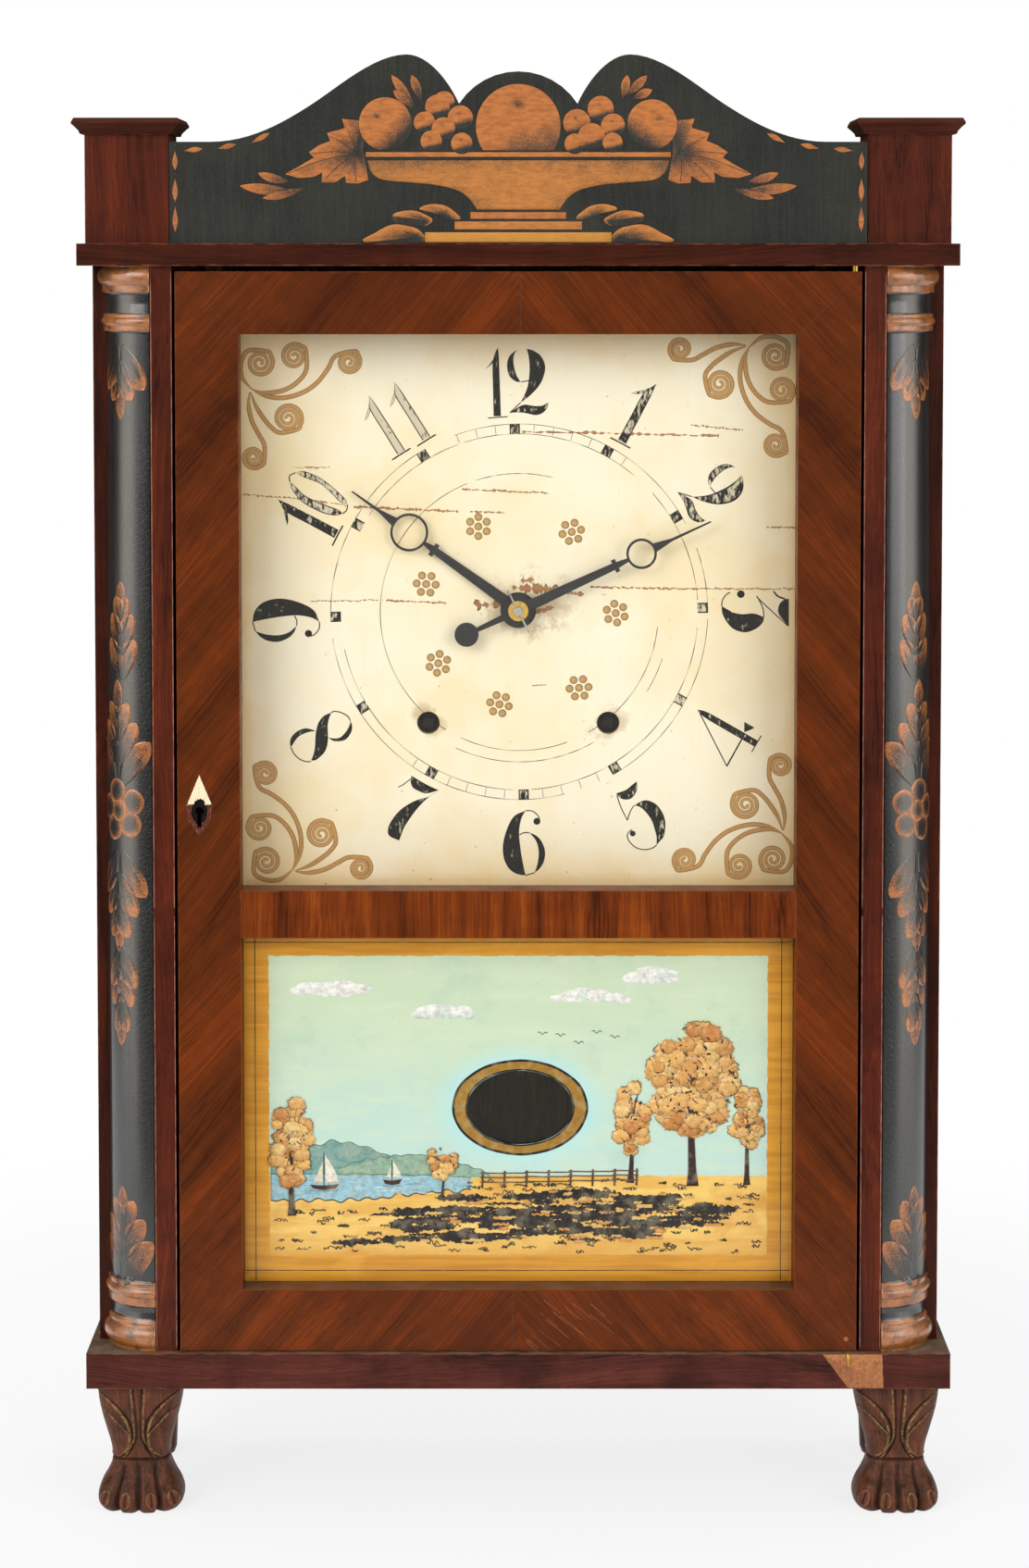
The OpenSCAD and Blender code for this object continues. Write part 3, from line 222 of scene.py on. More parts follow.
def level(red: float, green: float = 0.0, blue: float = 0.0) -> Tone:
    """A tone that is the same all over a stroke."""
    return lambda s, t: layered(red + 0 * s * t, green, blue)


@dataclass
class Paint:
    """Thin strokes of paint on a surface, each one closed, with its rim just under the surface.

    Each stroke stands a step higher than the one before, so a later stroke covers an earlier one.
    """

    place: Place
    thickness: float = 0.05
    sunk: float = 0.05
    step: float = 0.0012
    strokes: int = 0
    draft: Draft = field(default_factory=Draft)

    def height(self) -> float:
        """How high the next stroke stands."""
        self.strokes += 1
        return self.thickness + self.step * self.strokes

    def ribbon(self, left: np.ndarray, right: np.ndarray, tone: Tone, closed: bool = False) -> None:
        """Lays a stroke between two edges.

        Across the stroke the paint rises as a flat arch and comes back under the surface. Each end
        closes on the middle of its edge pair, under the surface.

        Args:
            left: One edge, of shape (count, 2).
            right: The other edge, of the same shape.
            tone: The stroke's three numbers from the place across and the place along.
            closed: Whether the stroke is a ring.
        """
        s = np.array([0.0, 0.015, 0.15, 0.5, 0.85, 0.985, 1.0, 0.5])[None, :]
        rise = np.array([0.0, 0.94, 0.98, 1.0, 0.98, 0.94, 0.0, 0.0])[None, :]
        t = np.linspace(0, 1, len(left))[:, None]
        flat = left[:, None, :] * (1 - s[..., None]) + right[:, None, :] * s[..., None]
        lift = rise * (self.height() + self.sunk) - self.sunk
        lift = np.broadcast_to(lift - 0.5 * self.sunk * (np.arange(8) == 7), flat.shape[:2]).copy()
        shade = tone(np.broadcast_to(s, lift.shape), np.broadcast_to(t, lift.shape))
        if not closed:
            ends = flat[[0, -1]].mean(1, keepdims=True).repeat(8, 1)
            flat = np.concatenate([ends[:1], flat, ends[1:]])
            under = np.full((1, 8), -self.sunk)
            lift = np.concatenate([under, lift, under])
            shade = np.concatenate([shade[:1], shade, shade[-1:]])
        self.draft.grid(self.place(flat[..., 0], flat[..., 1], lift), shade, rows_close=closed)

    def swell(self, left: Points, right: Points, tone: Tone, count: int = 28) -> None:
        """Lays a stroke between two edges that are given by a few points each."""
        self.ribbon(flow(left, count), flow(right, count), tone)

    def line(self, points: Points | np.ndarray, width: float | np.ndarray, tone: Tone, count: int = 28,
             closed: bool = False) -> None:
        """Lays a stroke of a given width along a curve.

        The edges stand half the width to either side of the curve, square to its direction.
        """
        middle = flow(points, count, closed)
        if closed:
            along = np.roll(middle, -1, 0) - np.roll(middle, 1, 0)
        else:
            along = np.gradient(middle, axis=0)
        along /= np.hypot(*along.T)[:, None] + 1e-9
        side = layered(along[:, 1], -along[:, 0]) * (np.broadcast_to(width, count) / 2)[:, None]
        self.ribbon(middle - side, middle + side, tone, closed)

    def blob(self, outline: np.ndarray, centre: Pair | np.ndarray, tone: Tone, rings: int = 5) -> None:
        """Lays a patch whose outline can be seen whole from its centre.

        Points run from the outline to the centre in rings. The tone is given the share of the way
        from the centre to the outline, and the share of the way round.
        """
        middle = np.asarray(centre, float)
        share = np.concatenate([[0.0, 1.0], np.linspace(0.985, 0.0, rings)])[:, None]
        flat = middle + (outline[None] - middle) * share[..., None]
        lift = np.full(share.shape, self.height())
        lift[:2] = -self.sunk
        lift = np.broadcast_to(lift, flat.shape[:2])
        turn = np.broadcast_to(np.linspace(0, 1, len(outline), endpoint=False), lift.shape)
        shade = tone(np.broadcast_to(share, lift.shape), turn)
        self.draft.grid(self.place(flat[..., 0], flat[..., 1], lift), shade)

    def dot(self, centre: Pair | np.ndarray, radius: float, tone: Tone, count: int = 28,
            rings: int = 5) -> None:
        """Lays a round patch."""
        self.blob(centre + radius * round_about(full_turn(count)), centre, tone, rings)

    def make(self, name: str, finish: bpy.types.Material, body: str, slot: str) -> bpy.types.Object:
        """Makes the strokes one piece that rides on a body."""
        return settle(self.draft.make(name), finish, body, slot)


def settle(piece: bpy.types.Object, finish: bpy.types.Material, body: str, slot: str,
           *stands_for: str) -> bpy.types.Object:
    """Gives a piece its finish and its body, and hides the CAD nodes it stands for."""
    piece.data.materials.append(finish)
    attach(piece, body)
    if stands_for:
        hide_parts(*stands_for)
    log.info("%s: %d faces on %s", piece.name, len(piece.data.polygons), body)
    return piece


# ---------------------------------------------------------------- shader nodes


def summing(operation: str, swapped: bool = False) -> Callable[["Value", object], "Value"]:
    """A method that adds the node of one sum; swapped, the other number comes first."""
    def method(self: "Value", other: object) -> "Value":
        """The result of the sum."""
        return self.bench.math(operation, *((other, self) if swapped else (self, other)))
    return method


@dataclass(frozen=True, eq=False)
class Value:
    """What a node gives, open to plain sums, each of which adds a node."""

    bench: "Bench"
    socket: Socket

    __add__, __radd__ = summing("ADD"), summing("ADD", True)
    __sub__, __rsub__ = summing("SUBTRACT"), summing("SUBTRACT", True)
    __mul__, __rmul__ = summing("MULTIPLY"), summing("MULTIPLY", True)
    __truediv__, __rtruediv__ = summing("DIVIDE"), summing("DIVIDE", True)

    def __abs__(self) -> "Value":
        """The number without its sign."""
        return self.bench.math("ABSOLUTE", self)


class Bench:
    """Lays out and joins the nodes of one material or one effect."""

    def __init__(self, tree: bpy.types.NodeTree) -> None:
        """Keeps the tree that the nodes go into."""
        self.tree = tree

    def node(self, kind: str, **settings: object) -> bpy.types.Node:
        """Adds a node and sets its properties."""
        made = self.tree.nodes.new(kind)
        for name, value in settings.items():
            setattr(made, name, value)
        return made

    def feed(self, socket: Socket, value: object) -> None:
        """Joins a node's output to an input, or sets the input to a number, vector or colour code."""
        given = getattr(value, "socket", value)
        if isinstance(given, Socket):
            self.tree.links.new(given, socket)
        else:
            socket.default_value = tint(given) if isinstance(given, str) else given

    def feed_all(self, made: bpy.types.Node, *values: object) -> Value:
        """Feeds a node's inputs in their order and gives its first output."""
        for socket, value in zip(made.inputs, values):
            self.feed(socket, value)
        return Value(self, made.outputs[0])

    def math(self, operation: str, a: object, b: object = 0.0, clamp: bool = False) -> Value:
        """The result of one sum on two numbers."""
        return self.feed_all(self.node("ShaderNodeMath", operation=operation, use_clamp=clamp), a, b)

    def least(self, a: object, b: object) -> Value:
        """The smaller of two numbers."""
        return self.math("MINIMUM", a, b)

    def most(self, a: object, b: object) -> Value:
        """The larger of two numbers."""
        return self.math("MAXIMUM", a, b)

    def vector(self, operation: str, a: object, b: object = (0.0, 0.0, 0.0)) -> Value:
        """The result of one sum on two vectors."""
        made = self.node("ShaderNodeVectorMath", operation=operation)
        self.feed_all(made, a, b)
        return Value(self, made.outputs["Value" if operation == "LENGTH" else "Vector"])

    def mix(self, share: object, a: object, b: object, blend: str = "MIX") -> Value:
        """A colour between two colours."""
        made = self.node("ShaderNodeMix", data_type="RGBA", blend_type=blend)
        for index, value in ((0, share), (6, a), (7, b)):
            self.feed(made.inputs[index], value)
        return Value(self, made.outputs[2])

    def span(self, value: object, low: object, high: object, start: float = 0.0, end: float = 1.0) -> Value:
        """A smooth step from start to end as a value goes from low to high."""
        made = self.node("ShaderNodeMapRange", interpolation_type="SMOOTHSTEP")
        return self.feed_all(made, value, low, high, start, end)

    def noise(self, vector: object, scale: object, detail: float = 3.0, rough: float = 0.5,
              colour: bool = False) -> Value:
        """A cloudy value between about 0.2 and 0.8, or three of them as a colour."""
        made = self.node("ShaderNodeTexNoise")
        for label, value in (("Vector", vector), ("Scale", scale), ("Detail", detail), ("Roughness", rough)):
            self.feed(made.inputs[label], value)
        return Value(self, made.outputs[1 if colour else 0])

    def cell_edges(self, vector: object, scale: float) -> Value:
        """The distance to the nearest edge of a net of cells."""
        made = self.node("ShaderNodeTexVoronoi", feature="DISTANCE_TO_EDGE")
        self.feed(made.inputs["Vector"], vector)
        self.feed(made.inputs["Scale"], scale)
        return Value(self, made.outputs["Distance"])

    def stretch(self, vector: object, *shares: float) -> Value:
        """A vector with each part multiplied by its own share."""
        return self.vector("MULTIPLY", vector, shares)

    def parts(self, vector: object) -> tuple[Value, ...]:
        """A vector's three numbers."""
        made = self.node("ShaderNodeSeparateXYZ")
        self.feed_all(made, vector)
        return tuple(Value(self, socket) for socket in made.outputs)

    def spot(self) -> Value:
        """The place on the object, in millimetres."""
        return self.stretch(self.node("ShaderNodeTexCoord").outputs["Object"], *(1 / MM,) * 3)

    def ray(self, kind: str) -> Value:
        """Whether the ray at hand is of a kind, 1 or 0."""
        return Value(self, self.node("ShaderNodeLightPath").outputs[f"Is {kind} Ray"])

    def tone(self) -> tuple[Value, ...]:
        """The mesh's own tone: its colour and its three numbers."""
        colour = Value(self, self.node("ShaderNodeAttribute", attribute_name="tone").outputs["Color"])
        made = self.node("ShaderNodeSeparateColor")
        self.feed_all(made, colour)
        return colour, *(Value(self, socket) for socket in made.outputs)

    def effect(self, tree: bpy.types.NodeTree, **values: object) -> dict[str, Value]:
        """Adds a shared effect with its own values and gives its outputs by name."""
        made = self.node("ShaderNodeGroup", node_tree=tree)
        for label, value in values.items():
            self.feed(made.inputs[label], value)
        return {socket.name: Value(self, socket) for socket in made.outputs}

    def bump(self, height: object, depth: float) -> Value:
        """A normal from a height, depth being the millimetres between heights 0 and 1."""
        made = self.node("ShaderNodeBump")
        for label, value in (("Strength", 1.0), ("Distance", depth * MM), ("Height", height)):
            self.feed(made.inputs[label], value)
        return Value(self, made.outputs["Normal"])


class Coating(Bench):
    """The nodes of a new material, with one main shader that a finish feeds."""

    def __init__(self, name: str) -> None:
        """Makes the material with only its output and its main shader."""
        self.name = name
        self.material = bpy.data.materials.new(name)
        self.material.use_nodes = True
        super().__init__(self.material.node_tree)
        self.tree.nodes.clear()
        self.output = self.node("ShaderNodeOutputMaterial")
        self.shader = self.node("ShaderNodeBsdfPrincipled")
        self.feed(self.output.inputs["Surface"], self.shader.outputs[0])

    def set(self, **values: object) -> None:
        """Feeds the main shader's inputs, with an underscore for each space of a name."""
        for label, value in values.items():
            self.feed(self.shader.inputs[label.replace("_", " ")], value)

    def blend(self, share: Value, other: bpy.types.Node) -> None:
        """Lets another shader take over from the main one by a share."""
        made = self.node("ShaderNodeMixShader")
        self.feed(self.output.inputs["Surface"],
                  self.feed_all(made, share, self.shader.outputs[0], other.outputs[0]))


class Finish:
    """A finish of which materials are made."""

    def lay_nodes(self, bench: Coating) -> None:
        """Lays the nodes that feed the main shader; each finish has its own."""
        raise NotImplementedError

    def material(self, name: str) -> bpy.types.Material:
        """Makes a material of this finish."""
        bench = Coating(name)
        self.lay_nodes(bench)
        return bench.material


def new_effect(name: str, inputs: dict[str, object], outputs: dict[str, str]
               ) -> tuple[Bench, dict[str, Value], bpy.types.Node]:
    """Starts a shared effect.

    Args:
        name: The effect's name.
        inputs: Each input's name and first value: a number, a vector of three or a colour of four.
        outputs: Each output's name and kind, Color or Float.

    Returns:
        The bench, the inputs' values by name, and the output node.
    """
    tree = bpy.data.node_groups.new(name, "ShaderNodeTree")
    for label, start in inputs.items():
        kind = "Float" if isinstance(start, float) else ("Vector" if len(start) == 3 else "Color")
        made = tree.interface.new_socket(label, in_out="INPUT", socket_type="NodeSocket" + kind)
        made.default_value = start
    for label, kind in outputs.items():
        tree.interface.new_socket(label, in_out="OUTPUT", socket_type="NodeSocket" + kind)
    bench = Bench(tree)
    given = bench.node("NodeGroupInput")
    values = {socket.name: Value(bench, socket) for socket in given.outputs if socket.name}
    return bench, values, bench.node("NodeGroupOutput")


@cache
def grain() -> bpy.types.NodeTree:
    """Wood grain along Z.

    The place is bent sideways by slow clouds. Wide bands, fine streaks and a ripple across them
    are clouds stretched along the grain, and their sum picks deep, middle or pale. Pores are the
    peaks of short thin clouds.
    """
    bench, given, out = new_effect(
        "grain",
        {"Vector": (0.0, 0.0, 0.0), "Pale": WHITE, "Middle": WHITE, "Deep": BLACK, "Band": 14.0,
         "Figure": 0.3, "Pores": 0.5},
        {"Color": "Color", "Height": "Float"})
    sway = bench.noise(bench.stretch(given["Vector"], 0.011, 0.011, 0.004), 1.0, 2.0, colour=True)
    sway = bench.stretch(bench.vector("SUBTRACT", sway, (0.5, 0.5, 0.5)), 38.0, 38.0, 0.0)
    bent = bench.vector("ADD", given["Vector"], sway)
    bands = bench.noise(bench.stretch(bent, 1.0, 1.0, 0.055), 1.0 / given["Band"], 3.0)
    streaks = bench.noise(bench.stretch(bent, 0.9, 0.9, 0.016), 1.0, 3.0, 0.6)
    ripples = bench.noise(bench.stretch(bent, 0.028, 0.028, 0.13), 1.0, 2.0)
    pores = bench.span(bench.noise(bench.stretch(bent, 1.9, 1.9, 0.11), 1.0, 1.0), 0.58, 0.72)
    total = bands * 0.56 + streaks * 0.44 + (ripples - 0.5) * given["Figure"]
    colour = bench.mix(bench.span(total, 0.34, 0.5), given["Deep"], given["Middle"])
    colour = bench.mix(bench.span(total, 0.48, 0.68), colour, given["Pale"])
    holes = pores * given["Pores"]
    bench.feed(out.inputs["Color"], bench.mix(holes, colour, given["Deep"]))
    height = streaks * 0.5 - holes * 0.6
    bench.feed(out.inputs["Height"], height)
    return bench.tree


@cache
def rubbed_edges() -> bpy.types.NodeTree:
    """Wear along the edges of a board.

    On a box the nearest face is the one the place is on, so the second smallest distance to the
    box's faces is the distance to its nearest edge. Clouds make the worn strip uneven.
    """
    bench, given, out = new_effect(
        "rubbed edges",
        {"Vector": (0.0, 0.0, 0.0), "Centre": (0.0, 0.0, 0.0), "Half": (1.0, 1.0, 1.0), "Reach": 2.0},
        {"Mask": "Float"})
    apart = bench.vector("ABSOLUTE", bench.vector("SUBTRACT", given["Vector"], given["Centre"]))
    x, y, z = bench.parts(bench.vector("ABSOLUTE", bench.vector("SUBTRACT", given["Half"], apart)))
    low, high = bench.least(x, y), bench.most(x, y)
    second = bench.most(low, bench.least(high, z))
    clouds = bench.noise(given["Vector"], 0.13, 4.0, 0.65)
    reach = given["Reach"] * bench.span(clouds, 0.38, 0.72)
    ratio = second / (reach + 0.02)
    bench.feed(out.inputs["Mask"], 1.0 - bench.span(ratio, 0.2, 1.0))
    return bench.tree


@cache
def settled_dust() -> bpy.types.NodeTree:
    """Dust on what faces up: the upward share of the normal, broken by clouds."""
    bench, given, out = new_effect("settled dust", {"Vector": (0.0, 0.0, 0.0), "Cover": 0.5},
                                   {"Mask": "Float"})
    up = bench.parts(bench.node("ShaderNodeNewGeometry").outputs["Normal"])[2]
    clouds = bench.span(bench.noise(given["Vector"], 0.08, 5.0, 0.65), 0.3, 0.7, 0.35, 1.0)
    mask = bench.span(up, 0.35, 0.95) * (clouds * given["Cover"])
    bench.feed(out.inputs["Mask"], mask)
    return bench.tree


@cache
def old_soil() -> bpy.types.NodeTree:
    """Patches of handling soil and small dark specks, as one mask."""
    bench, given, out = new_effect(
        "old soil", {"Vector": (0.0, 0.0, 0.0), "Patches": 0.4, "Specks": 0.4}, {"Mask": "Float"})
    patches = bench.span(bench.noise(given["Vector"], 0.022, 5.0, 0.6), 0.42, 0.72)
    specks = bench.span(bench.noise(given["Vector"], 0.75, 2.0), 0.7, 0.8)
    mask = bench.most(patches * given["Patches"], specks * given["Specks"])
    bench.feed(out.inputs["Mask"], mask)
    return bench.tree


@cache
def black_ground() -> bpy.types.NodeTree:
    """Old black paint: brush marks, a fine net of cracks and paler rubbed clouds."""
    bench, given, out = new_effect(
        "black ground",
        {"Vector": (0.0, 0.0, 0.0), "Dark": BLACK, "Pale": WHITE, "Rubbed": 0.4},
        {"Color": "Color", "Height": "Float"})
    brush = bench.noise(bench.stretch(given["Vector"], 0.9, 0.9, 0.05), 1.0, 4.0, 0.6)
    weave = bench.noise(bench.stretch(given["Vector"], 1.1, 1.1, 1.5), 1.0, 2.0, 0.7)
    clouds = bench.span(bench.noise(given["Vector"], 0.03, 4.0, 0.6), 0.35, 0.7)
    share = bench.span(brush, 0.35, 0.75) * 0.45 + bench.span(weave, 0.4, 0.75) * 0.4
    share = share * 0.7 + clouds * given["Rubbed"]
    colour = bench.mix(bench.least(share, 1.0), given["Dark"], given["Pale"])
    crack = 1.0 - bench.span(bench.cell_edges(given["Vector"], 0.42), 0.0, 0.07)
    bench.feed(out.inputs["Color"], bench.mix(crack * 0.35, colour, given["Dark"]))
    height = weave * 0.6 - crack * 0.5
    bench.feed(out.inputs["Height"], height)
    return bench.tree


# ---------------------------------------------------------------- finishes


class Lay(Enum):
    """Which way the grain runs, as the turn that brings it upright."""

    UPRIGHT = (0.0, 0.0, 0.0)
    LEVEL = (0.0, math.pi / 2, 0.0)
    DEEP = (math.pi / 2, 0.0, 0.0)


@dataclass(frozen=True)
class Wood(Finish):
    """Bare, stained or shellacked wood."""

    pale: str
    middle: str
    deep: str
    band: float = 14.0
    figure: float = 0.3
    pores: float = 0.5
    roughness: float = 0.5
    coat: float = 0.0
    rubbed: str = "9A5B3A"
    reach: float = 2.2
    dust: str = "7A6C58"
    dusty: float = 0.45
    soil: float = 0.5
    relief: float = 0.12
    lay: Lay = Lay.UPRIGHT
    slant: float = 0.0
    iron: str = "0C0B0A"
    iron_before: float = -1000.0

    def grain_place(self, bench: Coating) -> Value:
        """The place on a board with its grain along Z, moved so that no two boards match.

        Slanted veneer is mirrored about the middle of the clock and turned by its slant.
        """
        shift = zlib.crc32(bench.name.encode()) % 997 * 1.7
        place = bench.spot()
        turn = self.lay.value
        if self.slant:
            x, y, z = bench.parts(place)
            place = bench.feed_all(bench.node("ShaderNodeCombineXYZ"), abs(x), y, z)
            turn = (0.0, math.radians(self.slant), 0.0)
            shift = 0.0
        made = bench.node("ShaderNodeMapping")
        bench.feed(made.inputs["Vector"], place)
        made.inputs["Rotation"].default_value = turn
        made.inputs["Location"].default_value = (shift, -shift, 0.6 * shift)
        return Value(bench, made.outputs[0])

    def lay_nodes(self, bench: Coating) -> None:
        """Lays grain, soil, dust and wear along the edges of the board that the material is named after."""
        low, high = node_box(bench.name)
        spot = bench.spot()
        board = bench.effect(grain(), Vector=self.grain_place(bench), Pale=self.pale, Middle=self.middle,
                             Deep=self.deep, Band=self.band, Figure=self.figure, Pores=self.pores)
        soil = bench.effect(old_soil(), Vector=spot, Patches=self.soil, Specks=self.soil)["Mask"]
        worn = bench.effect(rubbed_edges(), Vector=spot, Centre=((low + high) / 2).tolist(),
                            Half=((high - low) / 2).tolist(), Reach=self.reach)["Mask"]
        dust = bench.effect(settled_dust(), Vector=spot, Cover=self.dusty)["Mask"]
        colour = bench.mix(soil, board["Color"], self.deep)
        colour = bench.mix(worn * 0.75, colour, self.rubbed)
        colour = bench.mix(dust, colour, self.dust)
        iron = bench.span(bench.parts(spot)[1], self.iron_before, self.iron_before + 0.2, 1.0, 0.0)
        colour = bench.mix(iron, colour, self.iron)
        rough = self.roughness + bench.most(worn, dust) * 0.3 - board["Height"] * 0.12
        bench.set(Base_Color=colour, Roughness=rough, Coat_Weight=self.coat, Coat_Roughness=0.18,
                  Specular_IOR_Level=0.12, Normal=bench.bump(board["Height"], self.relief))


MAHOGANY = Wood("86381A", "581F0E", "2E0E06", band=11.0, figure=0.2, roughness=0.42, coat=0.05)
DARK_MAHOGANY = replace(MAHOGANY, pale="5C250F", middle="431A0C", deep="2C1008", figure=0.12, soil=0.5,
                        rubbed="7E4830", reach=1.0)
VENEER = replace(MAHOGANY, pale="7A340A", middle="5C2807", deep="421A04", band=16.0, figure=0.1, pores=0.3,
                 slant=39.7, soil=0.3, rubbed="7A3C1C", reach=0.9)
PINE = Wood("D9B27C", "B98A55", "7A5230", band=7.0, figure=0.1, roughness=0.7, rubbed="8A6A48", soil=0.6,
            dusty=0.6)
OAK = Wood("B98E58", "8E6638", "5B3D20", band=5.0, figure=0.5, roughness=0.6, rubbed="6A4A2A", soil=0.4)
CHERRY = Wood("B4733F", "8A4F2A", "5A2F18", band=4.0, figure=0.2, roughness=0.5, rubbed="6A3A20", reach=0.8,
              soil=0.3)


@dataclass(frozen=True)
class Metal(Finish):
    """Old metal: a bright and a dull colour in clouds, with dark spots and scratches."""

    bright: str
    dull: str
    spots: str
    roughness: float = 0.35
    metallic: float = 1.0
    cover: float = 0.5

    def lay_nodes(self, bench: Coating) -> None:
        """Lays the nodes that feed the main shader."""
        spot = bench.spot()
        clouds = bench.span(bench.noise(spot, 0.11, 5.0, 0.65), 0.32, 0.68)
        colour = bench.mix(clouds * self.cover, self.bright, self.dull)
        pits = bench.span(bench.noise(spot, 0.6, 3.0, 0.6), 0.6, 0.74)
        colour = bench.mix(pits * 0.7, colour, self.spots)
        brush = bench.noise(bench.stretch(spot, 2.4, 2.4, 0.16), 1.0, 2.0)
        rough = self.roughness + bench.most(clouds, pits) * 0.3
        metallic = self.metallic - pits * (0.5 * self.metallic)
        bench.set(Base_Color=colour, Metallic=metallic, Roughness=rough,
                  Normal=bench.bump(brush - pits, 0.04))


BRASS = Metal("D8AE58", "9A743A", "4A3620")
STEEL = Metal("A8A8A4", "6E6C68", "3A302A", roughness=0.4)
IRON = Metal("4E4A46", "332F2C", "5A3A26", roughness=0.6, metallic=0.7)
BLUED = Metal("15151A", "1C1A19", "30261E", roughness=0.4, metallic=0.3, cover=0.6)


@dataclass(frozen=True)
class BlackPaint(Finish):
    """Black paint, with bands of bronze between pairs of heights on turned work."""

    dark: str = "1C1F20"
    pale: str = "4A4D4B"
    copper: str = "AA642A"
    brown: str = "5E3A20"
    dust: str = "6E6656"
    bands: tuple[Pair, ...] = ()
    rubbed: float = 0.35
    roughness: float = 0.4
    coat: float = 0.0
    shine: float = 0.35

    def lay_nodes(self, bench: Coating) -> None:
        """A band is where the height is past its foot and short of its top."""
        spot = bench.spot()
        ground = bench.effect(black_ground(), Vector=spot, Dark=self.dark, Pale=self.pale,
                              Rubbed=self.rubbed)
        colour = ground["Color"]
        height = bench.parts(spot)[2]
        ragged = height + bench.span(bench.noise(spot, 0.5, 3.0), 0.3, 0.7, -0.2, 0.2)
        bronze = bench.mix(bench.span(bench.noise(spot, 0.16, 5.0, 0.7), 0.42, 0.68), self.copper,
                           self.brown)
        for foot, top in self.bands:
            inside = bench.span(ragged, foot - 0.3, foot + 0.3) * bench.span(ragged, top - 0.3, top + 0.3,
                                                                             1.0, 0.0)
            colour = bench.mix(inside * 0.94, colour, bronze)
        dust = bench.effect(settled_dust(), Vector=spot, Cover=0.5)["Mask"]
        colour = bench.mix(dust, colour, self.dust)
        rough = self.roughness + ground["Height"] * 0.1
        bench.set(Base_Color=colour, Roughness=rough, Specular_IOR_Level=self.shine, Coat_Weight=self.coat,
                  Coat_Roughness=0.2, Normal=bench.bump(ground["Height"], 0.08))


@dataclass(frozen=True)
class BronzePowder(Finish):
    """Bronze powder rubbed through a stencil onto black paint.

    The tone's red is how thick the powder lies and its green how golden it is.
    """

    ground: BlackPaint
    bright: str = "C4783A"
    brown: str = "8A4E28"
    gold: str = "D69A3E"

    def lay_nodes(self, bench: Coating) -> None:
        """The powder's share is pushed up or down by fine clouds."""
        spot = bench.spot()
        black = bench.effect(black_ground(), Vector=spot, Dark=self.ground.dark, Pale=self.ground.pale,
                             Rubbed=self.ground.rubbed)
        _, powder, golden, _ = bench.tone()
        fine = bench.span(bench.noise(spot, 1.3, 3.0, 0.7), 0.3, 0.7, -0.2, 0.2)
        slow = bench.span(bench.noise(spot, 0.09, 4.0, 0.6), 0.3, 0.7, -0.12, 0.12)
        share = bench.math("ADD", powder, (fine + slow) * bench.span(powder, 0.0, 0.25), clamp=True)
        share = bench.span(share, 0.05, 0.95)
        brushed = bench.noise(bench.stretch(spot, 0.35, 1.0, 1.1), 0.5, 4.0, 0.65)
        bronze = bench.mix(bench.span(brushed, 0.35, 0.7, 0.0, 0.65), self.bright, self.brown)
        bronze = bench.mix(golden * 0.8, bronze, self.gold)
        bench.set(Base_Color=bench.mix(share, black["Color"], bronze), Metallic=share * 0.25,
                  Roughness=self.ground.roughness + share * 0.15, Coat_Weight=self.ground.coat,
                  Coat_Roughness=0.2, Normal=bench.bump(black["Height"], 0.08))


@dataclass(frozen=True)
class DialPaint(Finish):
    """Old cream paint on a board, darker towards the opening's sides and corners, partly browned paint and
    partly painted shade of the door's recess, and grimed round the holes.
    """

    centre: Pair
    half: float
    holes: tuple[tuple[float, float, float], ...]
    cream: str = "FFF3D6"
    warm: str = "FAE4B4"
    # brown and rim paint the dial darker towards the opening's sides and corners: partly browned paint,
    # partly painted shade of the door's recess
    brown: str = "F2CC8C"
    rim: str = "D8AC62"
    grime: str = "B08A52"
    speck: str = "A8824E"

    def lay_nodes(self, bench: Coating) -> None:
        """Browning and painted shade fall off with the distance to the opening's four sides, and gather in
        its corners.
        """
        spot = bench.spot()
        x, _, z = bench.parts(spot)
        side = abs(x - self.centre[0])
        rise = abs(z - self.centre[1])
        edge = self.half - bench.most(side, rise)
        corner = self.half * 2 - (side + rise)
        clouds = bench.span(bench.noise(spot, 0.02, 5.0, 0.6), 0.3, 0.7, -7.0, 7.0)
        colour = bench.mix(bench.span(bench.noise(spot, 0.012, 4.0, 0.6), 0.4, 0.7), self.cream, self.warm)
        # painted shade, partly browned paint: brown spreading in from the opening's sides
        near = bench.span(edge + clouds, -6.0, 22.0, 0.65, 0.0)
        colour = bench.mix(near, colour, self.brown)
        # painted shade: the rim colour within a few millimetres of the opening's edge, beside the door frame
        rim_shade = bench.span(edge + clouds * 0.2, 0.0, 5.0, 0.25, 0.0)
        colour = bench.mix(rim_shade, colour, self.rim)
        # painted shade: brown gathering in the opening's corners
        colour = bench.mix(bench.span(corner, 6.0, 70.0, 0.55, 0.0), colour, self.brown)
        streaks = bench.noise(bench.stretch(spot, 0.5, 0.5, 0.03), 1.0, 4.0, 0.6)
        colour = bench.mix(bench.span(streaks, 0.5, 0.8, 0.0, 0.35), colour, self.warm)
        ragged = bench.span(bench.noise(spot, 0.12, 5.0, 0.7), 0.3, 0.7, 0.6, 1.5)
        for at_x, at_z, reach in self.holes:
            away = bench.vector("LENGTH", bench.stretch(bench.vector("SUBTRACT", spot, (at_x, 0.0, at_z)),
                                                       1.0, 0.0, 1.0))
            grime = bench.span(away * ragged, 0.3 * reach, reach, 0.5, 0.0)
            colour = bench.mix(grime, colour, self.grime)
        specks = bench.span(bench.noise(spot, 0.35, 3.0, 0.6), 0.7, 0.78, 0.0, 0.7)
        colour = bench.mix(specks, colour, self.speck)
        height = bench.noise(bench.stretch(spot, 1.4, 1.4, 0.12), 1.0, 3.0) + specks
        bench.set(Base_Color=colour, Roughness=bench.span(streaks, 0.3, 0.7, 0.5, 0.65),
                  Specular_IOR_Level=0.3, Normal=bench.bump(height, 0.05))


